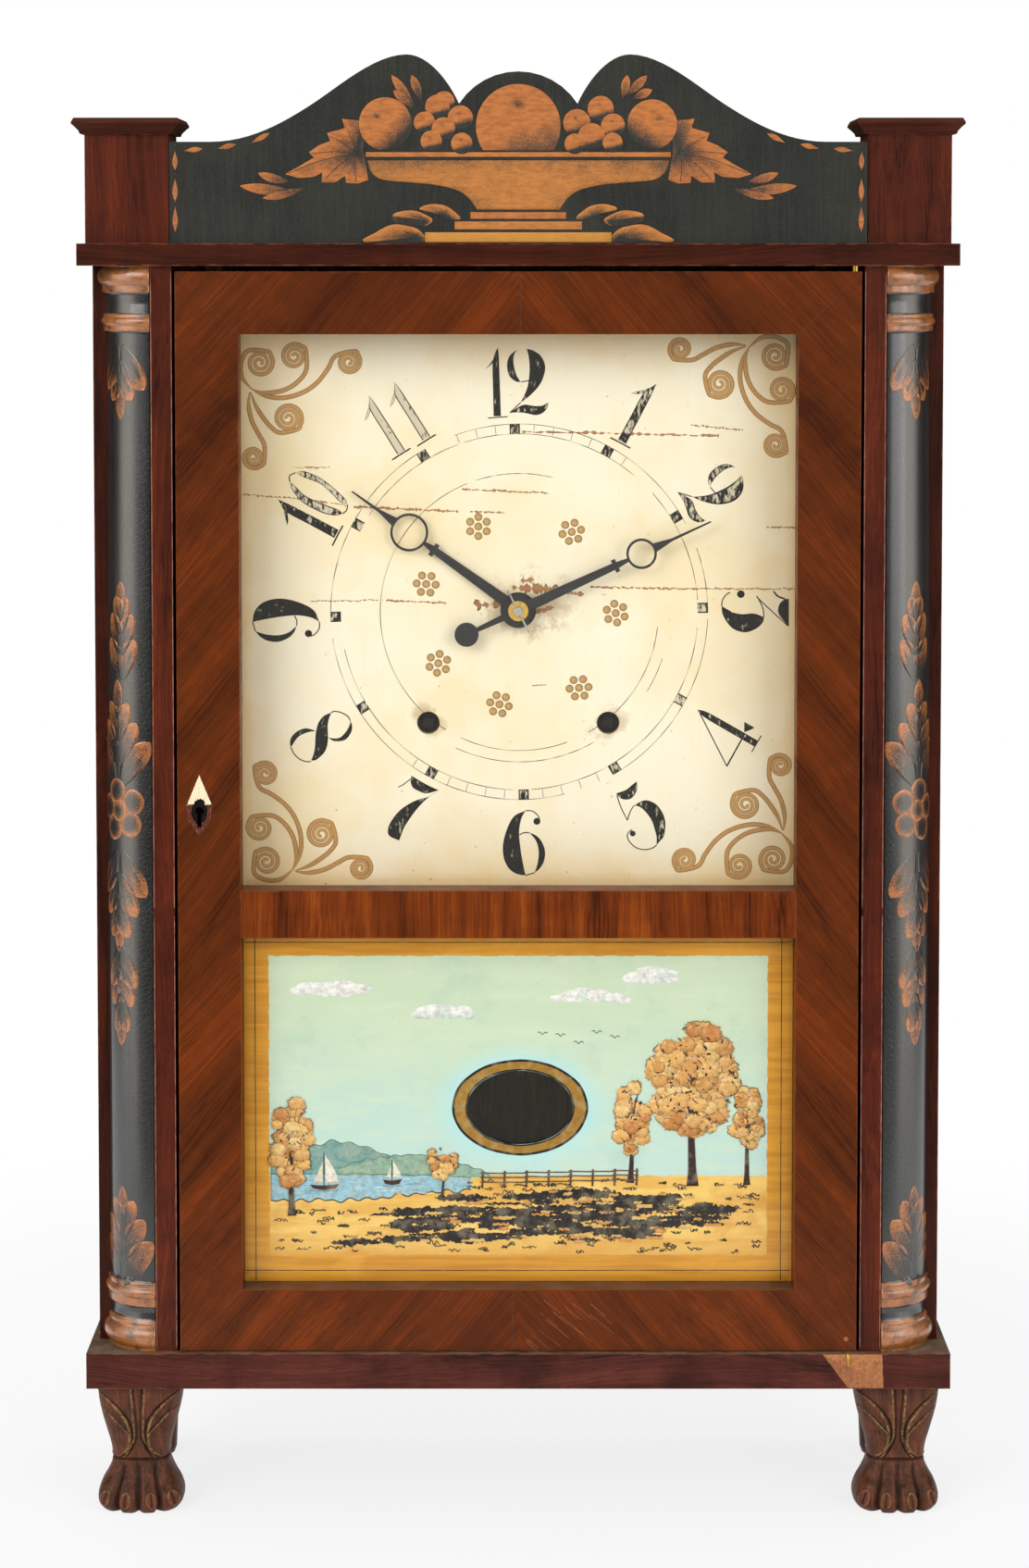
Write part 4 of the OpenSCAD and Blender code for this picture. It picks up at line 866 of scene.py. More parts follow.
@dataclass(frozen=True)
class Ink(Finish):
    """Thin ink, rubbed away inside its strokes.

    The tone's red is the place across and its blue the wear.
    """

    black: str = "050505"
    thinned: str = "4A443A"
    under: str = "EADCBC"

    def lay_nodes(self, bench: Coating) -> None:
        """Rubbed spots are peaks of clouds, and more of them in worn strokes."""
        spot = bench.spot()
        _, across, _, wear = bench.tone()
        inside = bench.span(abs(across - 0.5), 0.3, 0.44, 1.0, 0.0)
        brush = bench.noise(bench.stretch(spot, 0.6, 0.6, 0.22), 1.0, 4.0, 0.7)
        limit = 0.84 - wear * 0.5
        rubbed = inside * bench.span(brush, limit, limit + 0.12)
        thin = bench.span(bench.noise(spot, 0.9, 3.0), 0.4, 0.75, 0.0, 0.2)
        colour = bench.mix(thin, self.black, self.thinned)
        bench.set(Base_Color=bench.mix(rubbed * 0.85, colour, self.under),
                  Roughness=bench.span(rubbed, 0.0, 1.0, 0.5, 0.65), Specular_IOR_Level=0.1,
                  Normal=bench.bump(brush, 0.03))


@dataclass(frozen=True)
class Wash(Finish):
    """Thin colour with a darker rim; the tone's red is the place across and its green picks the colour."""

    first: str
    second: str
    rim: str
    metallic: float = 0.0

    def lay_nodes(self, bench: Coating) -> None:
        """Lays the nodes that feed the main shader."""
        spot = bench.spot()
        _, across, pick, _ = bench.tone()
        outside = bench.span(abs(across - 0.5), 0.2, 0.42)
        clouds = bench.span(bench.noise(spot, 0.5, 4.0, 0.65), 0.3, 0.7)
        share = clouds * 0.5 + pick * 0.5
        colour = bench.mix(share, self.first, self.second)
        colour = bench.mix(outside * 0.75, colour, self.rim)
        bench.set(Base_Color=colour, Metallic=clouds * self.metallic,
                  Roughness=bench.span(clouds, 0.0, 1.0, 0.45, 0.65), Normal=bench.bump(clouds, 0.03))


@dataclass(frozen=True)
class ClearGlass(Finish):
    """Old sheet glass, clear to the lamps so that what is behind it is lit."""

    tinge: str = "FCFEFC"
    waviness: float = 0.25

    def lay_nodes(self, bench: Coating) -> None:
        """Rays other than the camera's own and mirrored ones pass straight through."""
        spot = bench.spot()
        waves = bench.noise(bench.stretch(spot, 0.01, 0.01, 0.02), 1.0, 2.0)
        specks = bench.span(bench.noise(spot, 0.5, 2.0), 0.72, 0.8, 0.02, 0.3)
        colour = bench.mix(bench.span(waves, 0.3, 0.7, 0.0, 0.3), self.tinge, WHITE)
        bench.set(Base_Color=colour, Roughness=specks, Transmission_Weight=1.0, IOR=1.45,
                  Normal=bench.bump(waves, self.waviness))
        lit = bench.most(bench.ray("Shadow"), bench.ray("Diffuse"))
        bench.blend(lit, bench.node("ShaderNodeBsdfTransparent"))


@dataclass(frozen=True)
class Bone(Finish):
    """A yellowed bone escutcheon: its lower half is lost and the raw wood shows there, with the keyhole
    painted near black as its shade.
    """

    pale: str = "F4E6BE"
    dark: str = "C8A870"
    raw: str = "5A2C1E"
    scratched: str = "9A6A52"
    keyhole_shade: str = "0A0605"
    edge: float = 355.6
    hole_centre: Pair = (-156.8, 351.9)
    hole_reach: Pair = (4.1, 6.3)

    def lay_nodes(self, bench: Coating) -> None:
        """Lays the nodes that feed the main shader."""
        spot = bench.spot()
        pores = bench.span(bench.noise(bench.stretch(spot, 2.6, 2.6, 0.5), 1.0, 3.0), 0.52, 0.74)
        bone = bench.mix(pores * 0.7, self.pale, self.dark)
        across, _, up = bench.parts(spot)
        ragged = up + bench.span(bench.noise(spot, 0.6, 3.0), 0.3, 0.7, -0.8, 0.8)
        scratches = bench.span(bench.noise(bench.stretch(spot, 2.2, 2.2, 0.7), 0.8, 3.0), 0.55, 0.72)
        colour = bench.mix(bench.span(ragged, self.edge - 0.1, self.edge + 0.1),
                           bench.mix(scratches, self.raw, self.scratched), bone)
        sides = [(value - middle) / reach
                 for value, middle, reach in zip((across, ragged), self.hole_centre, self.hole_reach)]
        out = sides[0] * sides[0] + sides[1] * sides[1]
        # Painted shade: the keyhole is an ellipse painted near black, the dark of the hole behind it.
        colour = bench.mix(bench.span(out, 0.85, 1.0, 1.0, 0.0), colour, self.keyhole_shade)
        bench.set(Base_Color=colour, Roughness=bench.span(pores, 0.0, 1.0, 0.45, 0.6),
                  Specular_IOR_Level=0.2, Normal=bench.bump(pores, 0.05))


@dataclass(frozen=True)
class StudioFloor(Finish):
    """A pale floor that turns white away from the clock."""

    near: float = 0.3
    far: float = 0.66
    least_white: float = 0.78
    first: tuple[float, ...] = (0.9, 0.9, 0.9, 1.0)
    second: tuple[float, ...] = (0.92, 0.92, 0.915, 1.0)
    centre_y: float = 0.1

    def lay_nodes(self, bench: Coating) -> None:
        """White takes over with distance for the camera, in reflections and through glass."""
        spot = bench.node("ShaderNodeTexCoord").outputs["Object"]
        away = bench.vector("LENGTH", bench.vector("SUBTRACT", spot, (0.0, self.centre_y, 0.0)))
        clouds = bench.span(bench.noise(spot, 0.8, 2.0), 0.3, 0.7)
        bench.set(Base_Color=bench.mix(clouds, self.first, self.second), Roughness=0.8,
                  Specular_IOR_Level=0.1)
        seen = bench.most(bench.most(bench.ray("Camera"), bench.ray("Glossy")), bench.ray("Transmission"))
        white = bench.span(away, self.near, self.far, self.least_white, 1.0)
        bench.blend(seen * white, bench.node("ShaderNodeEmission"))


# ---------------------------------------------------------------- dressing the CAD nodes


def dress(finish: Finish, *names: str) -> None:
    """Gives CAD nodes a finish, each its own material because each board's edges lie elsewhere."""
    for name in names:
        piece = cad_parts[name]
        made = finish.material(name)
        if not piece.material_slots:
            piece.data.materials.append(made)
        for slot in piece.material_slots:
            slot.material = made
    log.info("%s on %d CAD nodes", type(finish).__name__, len(names))


@dataclass
class Case:
    """The case of boards, its blocks and strips, and what stands inside it."""

    lining: Wood = replace(PINE, pale="A98556", middle="80603A", deep="523822", soil=0.9)

    def dress(self) -> None:
        """Dresses the boards by the way their grain runs."""
        dress(replace(DARK_MAHOGANY, lay=Lay.LEVEL), "top_board", "block_caps")
        dress(replace(DARK_MAHOGANY, lay=Lay.LEVEL, middle="50241C", pale="643024", dusty=0.95, soil=0.8),
              "base_board")
        dress(replace(DARK_MAHOGANY, middle="501F10", pale="682A14"), "corner_blocks", "door_strips")
        dress(replace(DARK_MAHOGANY, soil=0.8), "side_boards", "jambs")
        dress(self.lining, "partitions", "back_board")
        dress(replace(self.lining, lay=Lay.LEVEL), "movement_battens")
        dress(replace(DARK_MAHOGANY, band=7.0), "rear_feet")
        dress(BRASS, "hinge_pins")


class Door:
    """The door's veneered frame, its glass, lock and escutcheon."""

    def dress(self) -> None:
        """Dresses the frame in veneer that slants out from the middle, the middle rail upright."""
        dress(VENEER, "door_stile_left", "door_stile_right", "door_top_rail", "door_bottom_rail")
        dress(replace(VENEER, slant=0.0, band=9.0, middle="702F08", pale="94460F"), "door_mid_rail")
        dress(ClearGlass(), "door_glass")
        dress(ClearGlass(tinge="E8F0E8", waviness=0.1), "painted_tablet")
        dress(replace(PINE, middle="6E4A2C", deep="402818"), "glazing_strips")
        dress(BRASS, "lock_case")
        dress(STEEL, "lock_bolt")
        dress(Bone(), "escutcheon")


@dataclass
class Movement:
    """The wooden movement, its hands, weights, bell and pendulum."""

    plate_front: float = field(default_factory=lambda: front_of("front_plate") - 0.5)

    def dress(self) -> None:
        """Dresses the plates, wheels, wires and castings."""
        dress(OAK, "front_plate", "back_plate")
        dress(replace(PINE, lay=Lay.DEEP, band=4.0), "plate_pillars")
        dress(CHERRY, "cannon_wheel", "minute_wheel", "hour_wheel", "transfer_wheel", "going_great_wheel",
              "second_wheel", "third_wheel", "strike_great_wheel", "pin_wheel", "warning_wheel", "fly",
              "going_pulley", "strike_pulley")
        dress(replace(CHERRY, iron_before=self.plate_front), "going_drum", "strike_drum")
        dress(BRASS, "escape_wheel", "bell", "pendulum_bob", "dial_pins", "hand_collar")
        dress(STEEL, "centre_arbor", "plate_studs", "verge", "pendulum_rod")
        dress(IRON, "hammer", "pulley_brackets", "going_weight", "strike_weight")
        dress(BLUED, "hour_hand", "minute_hand")


# ---------------------------------------------------------------- the dial


@dataclass(frozen=True)
class Swell:
    """A stroke of a numeral between two edges, in hundredths of the numeral's height."""

    left: Points
    right: Points


@dataclass(frozen=True)
class Hair:
    """A thin even stroke of a numeral."""

    points: Points
    width: float = 1.6


@dataclass(frozen=True)
class Spot:
    """A round spot of a numeral."""

    centre: Pair
    radius: float


ONE = (Swell([(-8, 1), (-9, 40), (-10, 80), (-4, 92), (0, 100)],
             [(5.5, 1), (4, 40), (2, 80), (1, 90), (0, 100)]),
       Swell([(-10, 84), (-20, 75), (-26, 69)], [(-10, 78), (-18, 72), (-26, 69)]),
       Hair([(-19, -2.5), (-3, -1.6), (14, -1.2)], 2.2))
FIGURES: dict[str, tuple[Swell | Hair | Spot, ...]] = {
    "0": (Swell([(3.7, 90), (11, 82), (14, 69), (15, 53), (13, 35), (9.5, 19), (6.5, 8), (1, 1)],
                [(3.7, 90), (4, 76), (6, 64), (7.6, 51), (6, 39), (2.7, 26), (-1, 13), (1, 1)]),
          Swell([(-12, 90), (-19, 84), (-25, 72), (-29, 57), (-29, 41), (-27, 23), (-21, 8), (-14, 1)],
                [(-12, 90), (-14, 79), (-18, 64), (-18, 50), (-16, 35), (-14, 22), (-12, 9), (-14, 1)]),
          Hair([(-12, 90), (-5, 95), (3.7, 90)]), Hair([(-14, 1), (-7, -1.5), (1, 1)])),
    "1": ONE,
    "1 of 12": (Swell([(8, 2), (7.2, 40), (6.5, 75), (9.5, 90), (14, 100)],
                      [(18.5, 2), (17.3, 40), (16, 75), (15.4, 90), (14, 100)]),
                Swell([(7, 82), (1, 74), (-4, 69)], [(7, 78), (2, 73), (-4, 69)]),
                Hair([(0, -0.7), (14, 0.3), (28, 1.3)], 1.6)),
    "2": (Swell([(14.8, 98.6), (3.5, 88.7), (0, 74.6), (3.5, 59.2), (13.4, 50.7), (21.8, 50)],
                [(14.8, 98.6), (10.6, 90), (9.9, 79), (12.7, 64.8), (19, 52), (21.8, 50)]),
          Hair([(21.8, 50), (31.7, 52), (35.9, 54)]),
          Swell([(29.6, 100), (40, 97), (51.4, 88.7), (57.7, 73), (54, 55), (45.8, 41), (31.7, 27),
                 (20.4, 19)],
                [(29.6, 100), (32.4, 88.7), (33.8, 72), (33, 57.7), (31, 43.7), (26, 30), (20.4, 19)]),
          Hair([(20.4, 19), (12, 11), (4.2, 3.5)]),
          Swell([(4.2, 3.5), (17.6, 12.7), (27.5, 16), (40, 14), (51.4, 14), (58.5, 17), (62, 19)],
                [(4.2, 3.5), (17.6, 4.2), (29, 2.8), (43, 0), (52.8, 2.8), (60, 10), (62, 19)])),
    "3": (Swell([(12.4, 100), (32, 100), (52.8, 100)],
                [(12, 95), (17.6, 87.6), (26, 84), (36, 85.5), (52.8, 99)]),
          Hair([(1, 77), (8.3, 83.4), (12.4, 94)], 2.5), Hair([(52.8, 99), (21.8, 65), (9.3, 52)]),
          Hair([(7.8, 52), (13.5, 55.4), (19.7, 58.5), (28, 61.7), (39.4, 62.7)]),
          Swell([(39.4, 62.7), (46.6, 61.7), (55, 54), (61, 42), (62, 31.6), (58, 19), (48.7, 9), (35, 1.6),
                 (23, 0)],
                [(39.4, 62.7), (34, 48), (35, 31.6), (33, 19), (28, 9), (23, 0)]),
          Hair([(23, 0), (13.5, 1.6), (5, 8), (3, 13)]), Spot((5.2, 28.5), 5.7)),
    "4": (Swell([(-5, 1), (-5, 60), (-4, 88), (0, 100)], [(5, 1), (5, 60), (4, 88), (0, 100)]),
          Hair([(-14, 0), (14, 0)]), Hair([(-2, 95), (-50, 21)]), Hair([(-50, 21), (-4, 22)], 2.2),
          Swell([(6, 24), (12, 27.5), (19, 31.7)], [(6, 24), (12, 19), (19, 14)])),
    "5": (Swell([(5.7, 99.6), (22, 97), (35, 99), (43.6, 100)],
                [(5.7, 99.6), (8.5, 89), (15, 83), (24, 81), (36.6, 87.7), (43.6, 100)]),
          Hair([(5.5, 96.7), (1.5, 77), (0, 54)]), Hair([(0, 54), (10, 63), (20.5, 69)]),
          Swell([(20.5, 69), (39, 68), (51, 55.5), (54, 37.5), (50, 20.5), (38, 4), (28, -0.5), (20, -3.5)],
                [(20.5, 69), (28, 61.5), (32, 47.5), (32.7, 33.6), (29.5, 18), (26, 6.5), (20, -3.5)]),
          Hair([(20, -3.5), (11, -4), (0, 0), (-9.5, 9), (-14, 22), (-12.7, 32), (-6.7, 37), (-1, 37)]),
          Spot((-3.3, 31.5), 4.5)),
    "6": (Swell([(35, 99), (18, 91), (7.5, 73), (0.8, 49), (1.5, 28), (9, 11), (21, 2.3), (35, 0)],
                [(35, 99), (29, 88), (25.6, 71), (25.6, 58), (28, 37), (31.6, 16), (35, 0)]),
          Hair([(35, 99), (45, 98.5), (53, 92.5), (56.4, 86.5)]), Spot((52.3, 82.7), 5.3),
          Hair([(25.6, 62), (33, 65.4), (40.6, 65.4)]),
          Swell([(40.6, 65.4), (51, 61), (59.4, 52), (64.7, 37), (63, 22), (57, 11), (49, 4)],
                [(40.6, 65.4), (49, 56), (53.4, 46), (55, 34), (53.4, 19), (49, 4)]),
          Hair([(49, 4), (35, 0)])),
    "7": (Swell([(-37, 106.4), (-16, 106), (1.4, 106.6), (15.3, 108)],
                [(-37, 106.4), (-34, 98), (-25, 90), (-11, 90), (0.5, 93), (15.3, 108)]),
          Hair([(-36, 100), (-41, 87), (-46.6, 78)]),
          Swell([(15.3, 108), (5.6, 89), (-6.6, 77), (-17, 62), (-25, 44), (-28, 24), (-26.7, 9),
                 (-19, -1.4), (0, 0)],
                [(15.3, 108), (8.4, 94), (3, 78), (-1, 59), (-3, 37), (-3.4, 22.5), (-1.4, 9), (0, 0)])),
    "8": (Swell([(-20, 75), (-21, 61.5), (-16, 50.6), (-8.4, 42.6), (0.3, 36), (11.4, 29), (20.5, 21),
                 (26, 14)],
                [(-20, 75), (-13.6, 67), (-6, 60.6), (4.4, 55), (14.6, 49), (24, 39.6), (28, 29), (29, 19),
                 (26, 14)]),
          Swell([(-7.6, 41.5), (-12.7, 37.6), (-19, 30), (-21, 19), (-18.7, 8), (-13, 1), (-5.5, -2.3)],
                [(-7.6, 41.5), (-10.7, 35), (-12.8, 26.6), (-13.4, 17), (-11, 9), (-7.8, 3), (-5.5, -2.3)]),
          Hair([(-5.5, -2.3), (6.8, -2.5), (17, 1), (24, 6.8), (27.4, 13)]),
          Swell([(9, 52.5), (17, 56), (22.5, 64), (24.7, 73.7), (20, 84.7), (12.7, 91), (4.3, 93)],
                [(9, 52.5), (14, 57.8), (18, 66.7), (16.3, 75.8), (12, 85), (8, 90), (4.3, 93)]),
          Hair([(4.3, 93), (-4, 92.5), (-13, 87), (-19, 80), (-20, 75)])),
}


@dataclass(frozen=True)
class Numeral:
    """One figure on the dial: its hour, where its foot stands, how tall it is and how worn."""

    hour: int
    figure: str
    foot: Pair
    tall: float
    worn: float = 0.3
    turned: bool = False

    def edges(self, points: Points | np.ndarray) -> np.ndarray:
        """Turns points in hundredths of the height to places on the dial.

        Up is outwards from the dial's centre at the upper hours and towards it at the lower ones,
        and right is up turned a quarter clockwise. A turned figure is read from its other end.
        """
        angle = math.radians(30 * self.hour)
        way = -1 if 4 <= self.hour <= 8 else 1
        up = way * np.array([math.sin(angle), math.cos(angle)])
        right = np.array([up[1], -up[0]])
        given = np.asarray(points, float)
        if self.turned:
            given = np.array([65.0, 99.0]) - given
        return np.asarray(self.foot) + self.tall / 100 * (given[:, :1] * right + given[:, 1:] * up)


@dataclass(frozen=True)
class Scroll:
    """A stem that winds up into a spiral, from the corner of the dial opening inwards and down."""

    stem: Points
    centre: Pair
    turns: float


SCROLLS = (
    Scroll([(7.1, 27.9), (2.8, 22.7), (1.7, 18.0), (2.6, 12.6), (6.1, 8.6), (11.3, 7.8)], (11.3, 14.8), 2.4),
    Scroll([(7.1, 27.9), (12.0, 29.6), (18.0, 29.6), (24.5, 27.9), (30.5, 23.9), (34.4, 18.0), (35.0, 12.5)],
           (28.4, 11.6), -2.5),
    Scroll([(7.1, 27.9), (14.0, 31.4), (23.5, 32.2), (33.0, 29.4), (40.0, 24.4), (45.3, 17.5), (49.0, 11.4),
            (54.5, 8.3)], (55.6, 14.4), 2.6),
    Scroll([(6.6, 29.4), (9.0, 35.9), (12.3, 41.4), (16.5, 46.6), (21.3, 49.6), (25.0, 49.8)], (25.2, 42.4),
           -2.8),
    Scroll([(6.2, 29.4), (5.6, 36.0), (7.3, 44.0), (10.8, 50.8), (13.4, 56.2), (13.8, 61.0)], (8.0, 62.0),
           2.5),
)
NUMERALS = (
    Numeral(12, "1 of 12", (-15.1, 544.3), 35.0, 0.5), Numeral(12, "2", (-5.6, 545.5), 33.1, 0.55),
    Numeral(1, "1", (51.9, 531.8), 33.9, 0.75), Numeral(2, "2", (77.9, 507.5), 33.1, 0.75),
    Numeral(3, "3", (101.6, 457.8), 33.7, 0.5), Numeral(4, "4", (119.3, 380.8), 34.3, 0.6),
    Numeral(5, "5", (63.3, 327.4), 31.8, 0.6), Numeral(6, "6", (-7.9, 314.4), 33.0, 0.45),
    Numeral(7, "7", (-59.8, 332.0), 29.6, 0.55), Numeral(8, "8", (-112.4, 377.8), 34.3, 0.5),
    Numeral(9, "6", (-99.4, 432.0), 33.7, 0.5, turned=True),
    Numeral(10, "1", (-90.3, 486.4), 34.3, 0.6), Numeral(10, "0", (-85.0, 500.3), 34.3, 0.85),
    Numeral(11, "1", (-57.9, 527.0), 32.9, 1.05), Numeral(11, "1", (-45.3, 533.9), 32.9, 1.05),
)
CRACKS = ((2.0, 537.4, 100.0, 535.2, 1.1), (86.0, 540.6, 112.0, 538.0, 0.8),
          (-113.0, 519.4, -94.0, 519.4, 0.6),
          (-28.0, 508.5, 15.0, 506.6, 1.0), (-138.0, 506.0, -104.0, 503.4, 0.7),
          (-104.0, 503.2, -85.0, 500.4, 0.6),
          (-82.0, 499.8, -30.0, 497.4, 1.2), (-24.0, 497.4, -7.0, 496.8, 0.9),
          (124.0, 489.6, 138.0, 489.4, 0.9),
          (36.0, 459.6, 84.0, 458.6, 1.0), (84.0, 458.8, 138.0, 458.6, 0.8),
          (-104.0, 452.4, -70.0, 453.0, 0.6),
          (-66.0, 452.8, -36.0, 451.6, 0.9), (-3.0, 459.2, 20.0, 458.4, 4.2), (2.0, 462.4, 8.0, 463.6, 2.4),
          (18.0, 457.4, 33.0, 456.0, 1.8), (-21.0, 450.3, -7.0, 451.2, 3.4), (8.0, 447.0, 18.0, 449.6, 2.4),
          (7.0, 410.2, 14.0, 410.4, 0.6))


@dataclass
class Dial:
    """The painted wooden dial: numerals, chapter ring, scrolls, rosettes and cracks."""

    centre: Pair = (0.0, 448.3)
    opening: Pair = (136.7, 136.9)
    middle: Pair = (0.0, 449.5)
    winding: Pair = (45.0, 391.3)
    ring_centre: Pair = (0.5, 446.9)
    ring_turn: float = -1.4
    outer_ring: float = 94.2
    inner_ring: float = 89.3
    bare_ring: float = 69.5
    low_ring: float = 75.2
    square: float = 5.2
    rosettes: Points = ((-19.9, 489.9), (26.7, 487.2), (-46.0, 461.1), (48.7, 446.5), (-40.0, 421.3),
                        (30.4, 409.0), (-9.4, 400.7))
    petal: float = 2.05
    petal_step: float = 4.75

    def paint(self, thickness: float) -> Paint:
        """New strokes on the dial's front."""
        return Paint(upright(front_of("dial")), thickness)

    def dress(self) -> None:
        """Dresses the board itself."""
        x, z = self.winding
        holes = ((*self.centre, 18.0), (x, z, 10.0), (-x, z, 10.0), (-x - 3, z + 5, 9.0), (14.0, 452.0, 14.0))
        dress(DialPaint(self.middle, self.opening[0], holes), "dial")

    def numerals(self) -> None:
        """The figures, each made of swelling strokes, hairlines and spots."""
        paint = self.paint(0.06)
        for numeral in NUMERALS:
            share = numeral.tall / 100
            for stroke in FIGURES[numeral.figure]:
                if isinstance(stroke, Swell):
                    paint.ribbon(numeral.edges(flow(stroke.left, 30)),
                                 numeral.edges(flow(stroke.right, 30)),
                                 lambda s, t: layered(s, t, numeral.worn))
                elif isinstance(stroke, Hair):
                    paint.line(numeral.edges(stroke.points), stroke.width * share, level(0.0))
                else:
                    paint.dot(numeral.edges([stroke.centre])[0], stroke.radius * share, level(0.0))
        paint.make("dial_numerals", Ink().material("numeral_ink"), "root", "dial_paint")

    def arc(self, radius: float, start: float, end: float) -> np.ndarray:
        """Points round the dial's centre, from one clock angle in degrees to another."""
        turn = np.radians(np.linspace(start, end, 60))
        return self.ring_centre + radius * round_about(turn)

    def chapter_ring(self) -> None:
        """Two thin broken rings, the minute ticks between them and a square at each hour."""
        paint = self.paint(0.04)
        arcs = ((self.outer_ring, ((-20, 62), (70, 88), (92, 150), (166, 262), (268, 330))),
                (self.inner_ring, ((-18, 40), (48, 86), (95, 176), (182, 258), (303, 340))),
                (self.bare_ring, ((-40, -22), (-18, 14), (96, 150), (160, 205), (212, 330))),
                (self.low_ring, ((108, 122), (150, 205))))
        for radius, ends in arcs:
            for start, end in ends:
                t = np.linspace(0, 1, 90)
                width = 0.1 + 0.26 * np.clip(0.6 + 0.7 * ripple(t, int(start) + 400, 3), 0, 1)
                paint.line(self.arc(radius, start, end), width, level(0.0), count=90)
        for minute in range(60):
            out = round_about(math.radians(6 * minute + self.ring_turn))
            if minute % 5 and (minute < 7 or minute > 56 or 24 < minute < 37):
                tick = [self.ring_centre + out * r
                        for r in (self.inner_ring + 0.4, self.outer_ring - 0.3)]
                paint.line(tick, 0.22, level(0.0), count=4)
            if minute % 5:
                continue
            side = np.array([out[1], -out[0]]) * self.square / 2
            middle = self.ring_centre + out * (self.inner_ring + self.outer_ring) / 2
            up = np.linspace(-self.square / 2, self.square / 2, 8)[:, None] * out
            paint.ribbon(middle + up - side, middle + up + side, lambda s, t: layered(s, t, 0.75))
        paint.make("dial_chapter_ring", Ink().material("ring_ink"), "root", "dial_paint")

    def scrolls(self) -> None:
        """Five scrolls at each corner.

        A spiral's radius falls evenly with its turns. At two corners the scrolls stand as drawn,
        and at the other two, across and down change places.
        """
        paint = self.paint(0.05)
        corners = ((-1, 1, False, -3.2, 0.0), (1, 1, True, 6.0, 0.0), (-1, -1, True, -4.5, -2.5),
                   (1, -1, False, 2.5, -4.8))
        for side, way, swapped, shift_x, shift_z in corners:
            for scroll in SCROLLS:
                start = np.asarray(scroll.stem[-1]) - np.asarray(scroll.centre)
                angle = math.atan2(start[1], start[0])
                share = np.linspace(0.04, 1, 40)
                turn = angle + share * scroll.turns * 2 * math.pi
                radius = np.hypot(*start) * (1 - 0.88 * share)
                curl = scroll.centre + radius[:, None] * layered(np.cos(turn), np.sin(turn))
                path = np.concatenate([np.asarray(scroll.stem)[:-1], curl])
                if swapped:
                    path = path[:, ::-1]
                x = self.opening[0] - path[:, 0]
                z = self.opening[1] - path[:, 1]
                corner = layered(side * x + shift_x, self.middle[1] + way * z + shift_z)
                width = np.interp(np.linspace(0, 1, 170), [0, 0.1, 0.5, 1], [0.6, 2.4, 2.3, 1.6])
                paint.line(corner, width, lambda s, t: layered(s, t, t), count=170)
        wash = Wash("BC8236", "D2A054", "86591F")
        paint.make("dial_scrolls", wash.material("scroll_wash"), "root", "dial_paint")

    def flowers(self) -> None:
        """Rosettes of six spots round a seventh."""
        paint = self.paint(0.05)
        for number, (x, z) in enumerate(self.rosettes):
            ring = self.petal_step * round_about(np.radians(60 * np.arange(6) + 17 * number))
            for at in ((x, z), *((x, z) + ring)):
                paint.dot(at, self.petal, lambda s, t: layered(0.5 - s / 2, t, s), count=16)
        wash = Wash("B98A44", "CDAA6C", "8A6630")
        paint.make("dial_rosettes", wash.material("rosette_wash"), "root", "dial_paint")

    def cracks(self) -> None:
        """Ragged cracks along the board's grain, where bare wood shows."""
        paint = self.paint(0.02)
        for number, (x0, z0, x1, z1, width) in enumerate(CRACKS):
            count = max(24, int(abs(x1 - x0) * 1.5))
            t = np.linspace(0, 1, count)
            path = waver((x0, z0), (x1, z1), count, 0.35, number)
            ragged = width * np.clip(0.7 + 0.9 * ripple(t, 40 + number, 12), 0.05, 2.0)
            paint.line(path, ragged, lambda s, t: layered(s, t, t), count=count)
        wash = Wash("9C5A2A", "C28A4E", "744420")
        paint.make("dial_cracks", wash.material("crack_wood"), "root", "dial_paint")

    def build(self) -> None:
        """Dresses the dial and lays its paint."""
        self.dress()
        self.cracks()
        self.scrolls()
        self.flowers()
        self.chapter_ring()
        self.numerals()


# ---------------------------------------------------------------- the carved feet


@dataclass(frozen=True)
class CarvedWood(Finish):
    """Stained carving; the tone's red is a rubbed ridge, its green a claw and its blue a dirty groove."""

    pale: str = "74402A"
    middle: str = "55301F"
    deep: str = "2E1A12"
    gold: str = "A88452"
    claw: str = "6A3A22"
    dirt: str = "1E120C"

    def lay_nodes(self, bench: Coating) -> None:
        """Lays the nodes from the stain's grain with the carving's wear over it."""
        spot = bench.spot()
        board = bench.effect(grain(), Vector=spot, Pale=self.pale, Middle=self.middle,
                             Deep=self.deep, Band=4.0, Figure=0.3, Pores=0.7)
        _, ridge, claw, groove = bench.tone()
        clouds = bench.span(bench.noise(spot, 0.5, 4.0, 0.65), 0.35, 0.65)
        colour = bench.mix(claw * bench.span(clouds, 0.0, 1.0, 0.5, 1.0), board["Color"], self.claw)
        colour = bench.mix(groove * 0.85, colour, self.dirt)
        colour = bench.mix(ridge * bench.span(clouds, 0.0, 1.0, 0.1, 0.85), colour, self.gold)
        bench.set(Base_Color=colour, Roughness=bench.span(groove, 0.0, 1.0, 0.5, 0.75),
                  Specular_IOR_Level=0.2, Normal=bench.bump(board["Height"], 0.15))


